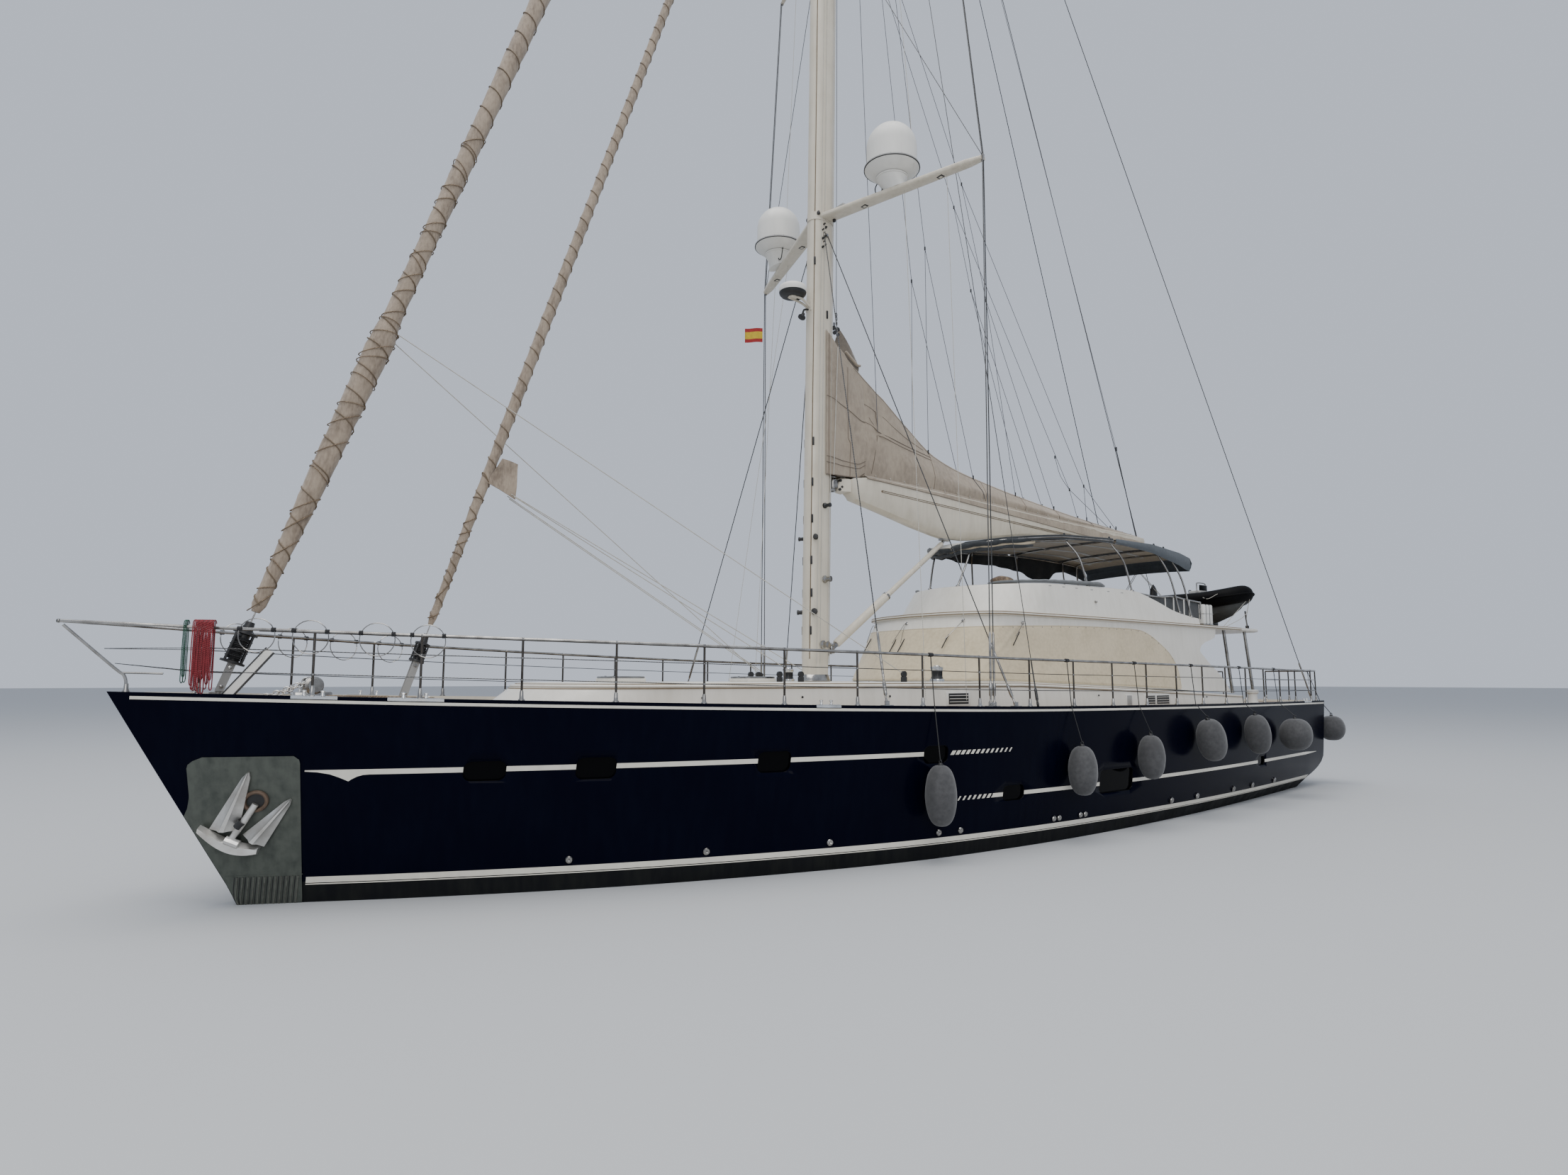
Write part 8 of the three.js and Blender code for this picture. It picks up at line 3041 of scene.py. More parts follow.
            shape.tube([[rows[9 + (1 if k < 8 else 0)][k] + out for k in range(24)]], 0.006, 5, 1)
        collar = shape.piece("cover_collar", Slot.SAIL, body=None, smooth=60)
        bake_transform(collar)

    def _lines(self) -> None:
        """Lazy jacks and topping lift to the mast, and the mainsheet with its blocks."""
        jacks = Shape("dark line", "black fitting", "white rope")
        mx = self.mast.x
        paths = [straight((1.13, 0.19, 8.79), (mx(31) - 0.3, 0.16, 31), 24)]
        for side, first, second, third, low, legs in (
                (0.2, (-0.46, 13.63), (-1.8, 15.74), (-2.62, 12.86), (-6.43, 8.49),
                 (-0.59, -2.14, -3.72, -5.28, -6.71, -8.09)),
                (-0.2, (-0.38, 12.93), (-1.93, 15.34), (-2.5, 13.24), (-6.33, 8.45),
                 (-0.2, -1.72, -4.2, -4.95, -6.47, -7.94))):
            nodes = [Vector((x, side, z)) for x, z in (first, second, third, low)]
            paths.append(straight(nodes[0], (mx(32) - 0.25, side * 0.6, 32), 20))
            paths.append(straight(nodes[1], (mx(24) - 0.3, side * 0.8, 24), 12))
            paths += [straight(nodes[1], nodes[2], 6), straight(nodes[1], nodes[3], 10)]
            for i, x in enumerate(legs):
                foot = self._cloth_point(x, lerp(*self._limits(x), 0.9), 1 if side > 0 else -1)
                paths.append(straight(nodes[(0, 0, 2, 2, 3, 3)[i]], foot, 8))
                jacks.turned([(0, -0.05), (0.016, -0.04), (0.018, 0.05), (0, 0.06)], foot + upward(0.05), 8,
                             1)
                if side > 0 and i in (1, 4):
                    tail = [self._cloth_point(x - 0.04 * k, foot.z - 0.1 * k, 1) + Vector((0, 0.01, 0))
                            for k in range(6)]
                    paths.append(bend([foot, *tail], 3))
            for node in nodes:
                jacks.turned([(0, -0.05), (0.02, -0.04), (0.02, 0.04), (0, 0.05)], node, 8, 1)
        paths.append(bend([(-5.74, -0.2, 9.29), (-5.95, -0.2, 8.8), (-6.33, -0.2, 8.45)], 6))
        jacks.turned([(0, -0.05), (0.02, -0.04), (0.02, 0.04), (0, 0.05)], (-5.74, -0.2, 9.29), 8, 1)
        lift = Vector((-8.31, 0.0, 9.87))
        paths.append(straight(lift, (mx(35.8) - 0.7, 0.0, 35.8), 24))
        jacks.tube([straight((-9.13, 0.0, 7.35), lift, 5)], 0.014, 6, 1)
        jacks.turned([(0, -0.07), (0.03, -0.05), (0.03, 0.05), (0, 0.07)], lift, 10, 1)
        jacks.tube([straight((-7.33, 0.0, 7.5), (mx(35.8) - 0.5, 0.0, 35.8), 24)], 0.011, 6, 1)
        paths.append(straight((mx(35) - 0.28, 0.0, 35), (2.185, 0.02, 11.4), 24))
        jacks.tube(paths, 0.0075, 5)
        jacks.tube([straight((2.33, 0.25, 10.5), (2.47, 0.25, 7.6), 6)], 0.01, 5, 2)
        line = jacks.piece("lazy_jacks", Slot.DARK, body=None)
        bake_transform(line)
        sheet = Shape("white rope", "black fitting", "polished stainless")
        high = Vector((-9.1, 0, 6.93))
        block = Vector((-9.2, 0, 6.36))
        paths = [straight(high + Vector((0, dy, 0)), block + Vector((0, dy, 0.09)), 4)
                 for dy in (-0.025, 0.025)]
        for side in (1, -1):
            for part in (0.0, 0.07):
                paths.append(straight(block + Vector((part, side * 0.03, -0.05)),
                                      (-9.35 + part, side * 1.15, 4.92), 10))
        sheet.tube(paths, 0.009, 6)
        bag = block.lerp(Vector((-9.35, 1.15, 4.92)), 0.33)
        sack = ((0.02, 0.02), (-0.04, 0.07), (-0.14, 0.13), (-0.32, 0.15), (-0.42, 0.14), (-0.45, 0.09))
        sheet.rows([[bag + Vector((wide * c, 0.6 * wide * s + 0.03, z)) for c, s in circle(14)]
                    for z, wide in sack], 1)
        for place, size in ((high, 0.075), (block, 0.085)):
            sheet.turned([(0, -0.035), (size, -0.03), (size, 0.03), (0, 0.035)], place, 20, 1, (0, 1, 0))
        for side in (1, -1):
            sheet.turned([(0, -0.03), (0.07, -0.028), (0.07, 0.028), (0, 0.03)], (-9.36, side * 1.17, 4.86),
                         18, 1, (1, 0, 0))
            sheet.block((-9.42, side * 1.17 - 0.05, 4.67), (-9.3, side * 1.17 + 0.05, 4.8), 2, 0.01)
        mainsheet = sheet.piece("mainsheet", Slot.DARK, body=None)
        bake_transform(mainsheet)


@dataclass
class Headsail:
    """A rolled headsail on its stay, with wraps, drum and links."""

    name: str
    stay: str
    x_low: float
    lean: float
    foot: float
    head: float
    radius: float
    roll: tuple
    drum: tuple
    pitch: float

    def on_stay(self, z: float) -> Vector:
        """A point of the stay."""
        return Vector((self.x_low - self.lean * z, 0, z))

    def build(self) -> None:
        """Builds the roll, its wraps and the stay with its drum."""
        self._roll()
        self._stay()

    def _frame(self) -> tuple[Vector, Vector]:
        """Two directions across the stay."""
        way = (self.on_stay(1) - self.on_stay(0)).normalized()
        across = Vector((0, 1, 0))
        return across, way.cross(across).normalized()

    def _roll(self) -> None:
        """The rolled sail with its spiral wraps and lashings."""
        across, ahead = self._frame()
        shape = Shape("furled cover cloth", "brown groove")
        low, high = self.roll[0][0], self.roll[-1][0]
        steps = int((high - low) / 0.11)
        rings = []
        flat = tuple((-z, r) for z, r in self.roll)
        for i in range(steps + 1):
            z = lerp(low, high, i / steps)
            radius = max(smooth_value(flat, -z), 0.03)
            if i in (0, steps):
                radius *= 0.6
            ring = []
            for k in range(22):
                a = TAU * k / 22
                c, s = math.cos(a), math.sin(a)
                phase = (z / self.pitch + a / TAU) % 1
                bump = 1 + 0.1 * (phase - 0.5) + 0.05 * noise.noise(Vector((z * 1.3, c * 1.4, s * 1.4)))
                bump += 0.045 * noise.noise(Vector((z * 5.5, c * 3, s * 3)))
                ring.append(self.on_stay(z) + across * radius * bump * c + ahead * radius * bump * s)
            rings.append(ring)
        shape.rows(rings)
        wraps = []
        turns = int((high - low) / self.pitch)
        for i in range(turns * 14):
            t = i / 14
            z = low + 0.1 + t * self.pitch
            if z > high - 0.1:
                break
            a = -TAU * t
            r = smooth_value(flat, -z) * 1.045 + 0.002
            wraps.append(self.on_stay(z) + across * r * math.cos(a) + ahead * r * math.sin(a))
        shape.tube([wraps], 0.011, 5, 1)
        piece = shape.piece(f"{self.name}_roll", Slot.SAIL, [self.name], smooth=60)
        lashing = Shape("brown rope", "red rope")
        paths = []
        rnd = random.Random(self.name)
        top = lerp(low, high, 0.3 if self.radius > 0.01 else 0.12)
        z = low + 0.15
        while z < top:
            r = smooth_value(flat, -z) * 1.08 + 0.006
            tilt = rnd.uniform(-0.12, 0.2)
            paths.append([self.on_stay(z + tilt * s) + across * r * c + ahead * r * s
                          for c, s in circle(18, closed=True)])
            z += rnd.uniform(0.14, 0.5)
        lashing.tube(paths, 0.0085, 5)
        lashing.piece(f"{self.name}_lashings", Slot.DARK)

    def _stay(self) -> None:
        """The stay, its drum and the links to the deck."""
        low, high, radius = self.drum
        way = (self.on_stay(1) - self.on_stay(0)).normalized()
        span = (self.on_stay(high) - self.on_stay(low)).length
        shape = Shape("black fitting", "polished stainless", "grey moulding", "black rope")
        shape.tube([straight(self.on_stay(self.foot), self.on_stay(self.head - 0.012))], self.radius, 10, 1)
        shape.turned([(0, 0), (radius, 0), (radius, 0.03), (radius * 0.45, 0.045),
                      (radius * 0.45, span - 0.2), (radius, span - 0.19),
                      (radius, span - 0.16), (radius * 0.5, span - 0.14), (radius * 0.35, span), (0, span)],
                     self.on_stay(low), 28, 0, way)
        across, ahead = self._frame()
        coil = []
        turns = int((span - 0.28) / 0.024)
        for i in range(turns * 12):
            t = i / 12
            base = self.on_stay(low) + way * (0.06 + t * 0.024)
            r = radius * (0.6 + 0.18 * math.sin(t * 0.9) ** 2)
            coil.append(base + across * r * math.cos(TAU * t) + ahead * r * math.sin(TAU * t))
        shape.tube([coil], 0.011, 5, 3)
        for c, s in circle(4, start=0.5):
            off = across * radius * 0.93 * c + ahead * radius * 0.93 * s
            shape.tube([straight(self.on_stay(low) + off, self.on_stay(low) + way * (span - 0.17) + off)],
                       0.014, 8)
        for side in (1, -1):
            foot = self.on_stay(self.foot - 0.1) + Vector((0, side * 0.055, 0))
            head = self.on_stay(low + 0.03) + Vector((0, side * 0.055, 0))
            rows = [[p + Vector((dx, 0, 0)) for dx in (-0.055, 0.055)] for p in straight(foot, head, 3)]
            shape.plate(rows, lambda point, s=side: Vector((0, -0.014 * s, 0)), 2)
        for z in (self.foot + 0.08, low - 0.06):
            middle = self.on_stay(z)
            shape.turned([(0, -0.075), (0.025, -0.07), (0.025, 0.07), (0, 0.075)], middle, 12, 1, (0, 1, 0))
        shape.turned([(0, -0.08), (0.12, -0.06), (0.12, 0.0), (0.05, 0.02), (0, 0.02)],
                     self.on_stay(self.foot), 18, 1)
        shape.piece(f"{self.stay}_gear", Slot.DARK, [self.stay], smooth=45)


@dataclass
class Rigging:
    """Shrouds with bottle screws, backstays, halyards and sheets."""

    hull: Hull
    mast: Mast
    tip_out: float = 0.019

    def foot(self, x: float, y: float) -> Vector:
        """A chainplate's point on the cap."""
        return Vector((x, y, self.hull.sheer(x) - 0.02))

    @staticmethod
    def _screw(shape: Shape, foot: Vector, head: Vector) -> None:
        """A bottle screw and pale cover tube at a shroud's lower end.

        Args:
            shape: the shape that gets them.
            foot: the shroud's foot.
            head: where it goes.
        """
        way = (head - foot).normalized()
        shape.turned([(0, 0.0), (0.02, 0.01), (0.028, 0.05), (0.028, 0.1), (0.018, 0.13), (0.018, 0.2),
                      (0.032, 0.22), (0.034, 0.42),
                      (0.018, 0.46), (0.016, 0.52), (0.024, 0.54), (0.024, 1.35), (0.012, 1.4), (0, 1.4)],
                     foot, 12, 1, way)
        shape.block((foot.x - 0.05, foot.y - 0.012, foot.z - 0.02),
                    (foot.x + 0.05, foot.y + 0.012, foot.z + 0.1), 1, 0.004)
        shape.block((foot.x - 0.11, foot.y - 0.05, foot.z - 0.015),
                    (foot.x + 0.11, foot.y + 0.05, foot.z + 0.03), 1, 0.006)

    def build(self) -> None:
        """Builds the standing and running rigging."""
        mx = self.mast.x
        for side, name in ((1, "port"), (-1, "starboard")):
            arms = ((self.mast.spreader_z, self.mast.span, self.mast.sweep), *self.mast.upper)
            tips = [(mx(z) - sweep, side * (span + self.tip_out), z) for z, span, sweep in arms]
            tips.append((mx(35.6), side * 0.16, 35.6))
            cap = Shape("rigging wire", "polished stainless", "black fitting")
            foot = self.foot(1.53, side * 3.8)
            twin = self.foot(1.63, side * 3.8)
            shifted = [Vector(tip) + Vector((0.03, 0, 0)) for tip in tips[:2]]
            cap.tube([[foot, *tips], [twin, *shifted, (mx(21.2), side * 0.2, 21.3)]], 0.011, 7)
            cap.tube([[Vector(tips[0]), (mx(21.0) - 0.1, side * 0.2, 21.0)],
                      [Vector(tips[1]), (mx(28.4) - 0.1, side * 0.17, 28.4)]],
                     0.008, 6)
            self._screw(cap, foot, Vector(tips[0]))
            self._screw(cap, twin, Vector(tips[0]))
            cap.piece(f"cap_shrouds_{name}", Slot.STEEL, [f"cap_shroud_{name}"], smooth=45)
            lower = Shape("rigging wire", "polished stainless", "black fitting")
            tang = Vector((mx(13.05), side * 0.214, 13.05))
            fore, aft = self.foot(4.0, side * 3.58), self.foot(0.92, side * 3.8)
            lower.tube([[fore, tang + Vector((0.04, 0, 0))], [aft, tang - Vector((0.04, 0, 0))]], 0.011, 7)
            self._screw(lower, fore, tang)
            self._screw(lower, aft, tang)
            lower.block((tang.x - 0.06, tang.y - 0.02, 13.0), (tang.x + 0.06, tang.y + 0.02, 13.07), 1, 0.004)
            lower.piece(f"lower_pair_{name}", Slot.STEEL, [f"lower_shrouds_{name}"], smooth=45)
        self._backstays()
        self._running()

    def _backstays(self) -> None:
        """The twin backstays with their screws and toggle."""
        shape = Shape("rigging wire", "polished stainless")
        head = Vector((self.mast.x(36) - 0.9, 0, 35.92))
        for side in (1, -1):
            foot = Vector((-14.65, side * 2.2, self.hull.deck(-14.65, 2.2)))
            shape.tube([[foot, head + Vector((0, side * 0.022, -0.02))]], 0.011, 7)
            self._screw(shape, foot, head)
        shape.block((head.x - 0.03, -0.06, head.z - 0.12), (head.x + 0.04, 0.06, head.z + 0.008), 1, 0.008)
        shape.piece("backstay_pair", Slot.STEEL, ["backstays"], smooth=45)

    def _running(self) -> None:
        """Taut halyards, stays to the rail, sheets to the clews and signal halyards."""
        mx = self.mast.x
        shape = Shape("white rope", "black fitting", "rigging wire", "black rope")
        thin = []
        for degrees, top in ((70, 33.0), (84, 27.5), (118, 34.5), (-66, 30.0), (-82, 34.0), (-116, 26.0),
                             (132, 20.0)):
            out = 0.035 + 0.02 * (abs(degrees) % 3)
            thin.append([self.mast.surface(z, degrees, out) for z in (3.5, 12, 20, top)])

        def arm(side: int, t: float) -> Vector:
            """A point under a first spreader at a share of its span."""
            return Vector((mx(self.mast.spreader_z) - self.mast.sweep * t, side * self.mast.span * t, 13.43))

        for side in (1, -1):
            for t, x, y in ((0.55, 2.9, 3.4), (0.8, 2.0, 3.55)):
                thin.append(straight(arm(side, t), Vector((x, side * y, self.hull.sheer(x) + 0.1))))
            thin.append(straight((mx(28.5) - 0.3, side * 1.1, 28.5), arm(side, 0.62)))
        shape.tube(thin, 0.0055, 5)
        stays = []
        for side in (1, -1):
            foot = self.foot(0.28, side * 3.8)
            head = Vector((mx(35.5) - 0.1, side * 0.13, 35.5))
            stays.append([foot, head])
            self._screw_on(shape, foot, head)
        shape.tube(stays, 0.008, 6, 2)
        clews = []
        for side in (1, -1):
            clews.append(straight((9.42, side * 0.12, 6.3), (3.9, side * 0.55, 3.35), 6))
            clews.append(straight((9.46, side * 0.1, 6.34), (3.7, side * 0.75, 3.35), 6))
            clews.append(straight((11.4, side * 0.19, 8.7), (2.6, side * 2.45, 3.3), 6))
        shape.tube(clews, 0.008, 6)
        for x, y in ((4.1, 0.52), (3.75, 0.76), (2.55, 2.46)):
            for side in (1, -1):
                shape.turned([(0, -0.03), (0.06, -0.028), (0.06, 0.028), (0, 0.03)], (x, side * y, 3.27), 16,
                             1, (0, 1, 0))
                shape.block((x - 0.06, side * y - 0.03, 3.12), (x + 0.06, side * y + 0.03, 3.22), 1, 0.008)
        shape.piece("running_rigging", Slot.DARK, smooth=60)
        clew = Shape("furled cover cloth")
        rows = []
        for i in range(9):
            t = i / 8
            top = Vector((9.62 - 0.28 * t, 0.07, 6.95 - 0.06 * t))
            low = Vector((9.88 - 0.5 * t, 0.09, 6.5 - 0.24 * t))
            rows.append([top.lerp(low, k / 6) + Vector((0, 0.02 * math.sin(k + 4 * t), 0)) for k in range(7)])
        clew.plate(rows, lambda point: Vector((0, -0.02, 0)))
        clew.piece("staysail_clew", Slot.SAIL, smooth=60)

    @staticmethod
    def _screw_on(shape: Shape, foot: Vector, head: Vector) -> None:
        """A plain rigging screw in the third finish.

        Args:
            shape: the shape that gets it.
            foot: the stay's foot.
            head: where it goes.
        """
        way = (head - foot).normalized()
        shape.turned([(0, 0), (0.02, 0.01), (0.028, 0.06), (0.018, 0.12), (0.03, 0.15), (0.03, 0.34),
                      (0.014, 0.38), (0.014, 0.9), (0, 0.9)], foot, 10, 2, way)

    @staticmethod
    def flag() -> None:
        """A small plain three-band courtesy flag on the starboard halyard."""
        shape = Shape("red cloth", "yellow cloth")
        x0, y0, z0 = 2.42, -2.6, 11.5
        bands = (0, 1, 1, 0)
        rows = []
        for i in range(13):
            t = i / 12
            wave = 0.035 * math.sin(t * 7) * t
            rows.append([Vector((x0 + 0.41 * t, y0 + wave - 0.2 * t, z0 - 0.05 * t * t + 0.09 * k))
                         for k in range(5)])
        shape.plate(rows, lambda point: Vector((0, 0.0015, 0)))
        for i in range(len(rows) - 1):
            for k, tone in enumerate(bands):
                first = (i * len(bands) + k) * 2
                shape.tones[first] = shape.tones[first + 1] = tone
        flag = shape.piece("courtesy_flag", Slot.CANVAS, smooth=60)


@dataclass
class Tender:
    """The inflatable tender athwart the overhang, bow to port, on its chocks."""

    x: float = -11.65
    stern: float = -1.5
    half: float = 0.56
    tube: float = 0.25
    tube_z: float = 5.5
    keel_z: float = 4.8103

    def build(self) -> None:
        """Builds the tubes, hull, console and lines."""
        shape = Shape("tender fabric", "grey hull paint", "grey moulding", "polished stainless",
                      "white rope", "smoked glass")
        port = [(self.x + self.half, self.stern - 0.17, self.tube_z),
                (self.x + self.half, self.stern, self.tube_z),
                (self.x + self.half, 0.0, self.tube_z), (self.x + self.half, 0.6, self.tube_z),
                (self.x + self.half - 0.05, 1.1, self.tube_z + 0.03),
                (self.x + 0.36, 1.52, self.tube_z + 0.09), (self.x, 1.77, self.tube_z + 0.16)]
        other = [(2 * self.x - x, y, z) for x, y, z in reversed(port[:-1])]
        line = bend([*port, *other], 6)
        rings = []
        for i, p in enumerate(line):
            end = min(i, len(line) - 1 - i)
            r = self.tube * (0.25, 0.8, 0.97)[end] if end < 3 else self.tube
            way = (line[min(i + 1, len(line) - 1)] - line[max(i - 1, 0)]).normalized()
            out = way.cross(upward(1)).normalized()
            up = out.cross(way).normalized()
            rings.append([p + out * r * c + up * r * s for c, s in circle(24)])
        shape.rows(rings)
        strake = []
        for i, p in enumerate(line[2:-2]):
            way = (line[min(i + 4, len(line) - 1)] - line[i]).normalized()
            out = way.cross(upward(1)).normalized()
            if out.dot(p - Vector((self.x, 0, p.z))) < 0:
                out = -out
            strake.append(p + out * (self.tube + 0.008))
        shape.tube([strake], 0.03, 8, 0)
        sections = []
        for y, half, keel, top in ((-1.5, 0.5, self.keel_z, 5.3), (-0.4, 0.52, self.keel_z, 5.3),
                                   (0.6, 0.5, self.keel_z, 5.32), (1.0, 0.46, self.keel_z + 0.06, 5.35),
                                   (1.4, 0.36, self.keel_z + 0.22, 5.42),
                                   (1.68, 0.2, self.keel_z + 0.42, 5.47), (1.82, 0.05, 5.42, 5.5)):
            chine = lerp(keel, top, 0.42)
            sections.append([(self.x + half, y, top), (self.x + half * 0.94, y, lerp(chine, top, 0.5)),
                             (self.x + half * 0.86, y, chine),
                             (self.x + half * 0.4, y, lerp(keel, chine, 0.45)), (self.x + 0.02, y, keel),
                             (self.x - 0.02, y, keel), (self.x - half * 0.4, y, lerp(keel, chine, 0.45)),
                             (self.x - half * 0.86, y, chine),
                             (self.x - half * 0.94, y, lerp(chine, top, 0.5)), (self.x - half, y, top)])
        fine = []
        for a, b in zip(sections, sections[1:]):
            fine += [[Vector(p).lerp(Vector(q), t / 3) for p, q in zip(a, b)] for t in range(3)]
        fine.append([Vector(p) for p in sections[-1]])
        shape.rows(fine, 1)
        shape.block((self.x - 0.22, 0.2, 5.3), (self.x + 0.22, 0.6, 5.86), 2, 0.04)
        shape.block((self.x - 0.2, 0.55, 5.84), (self.x + 0.2, 0.58, 6.02), 5, 0.006)
        shape.block((self.x - 0.28, -0.85, 5.26), (self.x + 0.28, -0.35, 5.62), 2, 0.05)
        arch = [(self.x - 0.24, 0.5, 5.4), (self.x - 0.24, 0.5, 5.98), (self.x - 0.2, 0.5, 6.08),
                (self.x + 0.2, 0.5, 6.08), (self.x + 0.24, 0.5, 5.98), (self.x + 0.24, 0.5, 5.4)]
        shape.tube([bend(arch, 5)], 0.018, 10, 3)
        shape.tube([[Vector((self.x + 0.11 * c, 0.17 - 0.03 * s, 5.8 + 0.1 * s))
                     for c, s in circle(20, closed=True)]], 0.013, 8, 0)
        shape.block((self.x - 0.2, -1.74, 5.2), (self.x + 0.2, -1.48, 5.5), 0, 0.04)
        shape.block((self.x - 0.14, -1.86, 5.45), (self.x + 0.14, -1.5, 5.84), 2, 0.06)
        grabs = []
        for side in (1, -1):
            for y in (-1.2, -0.5, 0.2, 0.85):
                a = Vector((self.x + side * (self.half + 0.17), y, self.tube_z + 0.15))
                b = Vector((self.x + side * (self.half + 0.17), y + 0.55, self.tube_z + 0.15))
                grabs.append(bend([a, a.lerp(b, 0.5) + Vector((side * 0.07, 0, -0.13)), b], 5))
        shape.tube(grabs, 0.008, 6, 4)
        shape.piece("tender_boat", Slot.RUBBER, ["tender"], smooth=45)
        ropes = Shape("white rope", "black fitting")
        ropes.tube([bend([(self.x, 1.93, 5.4), (self.x + 0.15, 1.85, 5.0), (-11.1, 1.5, 4.69)], 5),
                    bend([(self.x, 1.95, 5.5), (-11.9, 1.7, 4.95), (-12.3, 1.5, 4.69)], 5),
                    straight((self.x, 1.9, 5.5), (-10.9, 1.55, 4.7)),
                    straight((-12.13, -1.2, 5.3), (-12.2, -1.0, 4.69)),
                    straight((-11.17, -1.2, 5.3), (-11.1, -1.0, 4.69))], 0.008, 6)
        ropes.tube([straight((-11.75, 1.75, 5.15), (-12.42, 1.45, 4.7))], 0.02, 8, 1)
        ropes.turned([(0, -0.06), (0.05, -0.05), (0.05, 0.05), (0, 0.06)], (-12.42, 1.45, 4.72), 10, 1)
        ropes.piece("tender_lashings", Slot.DARK)


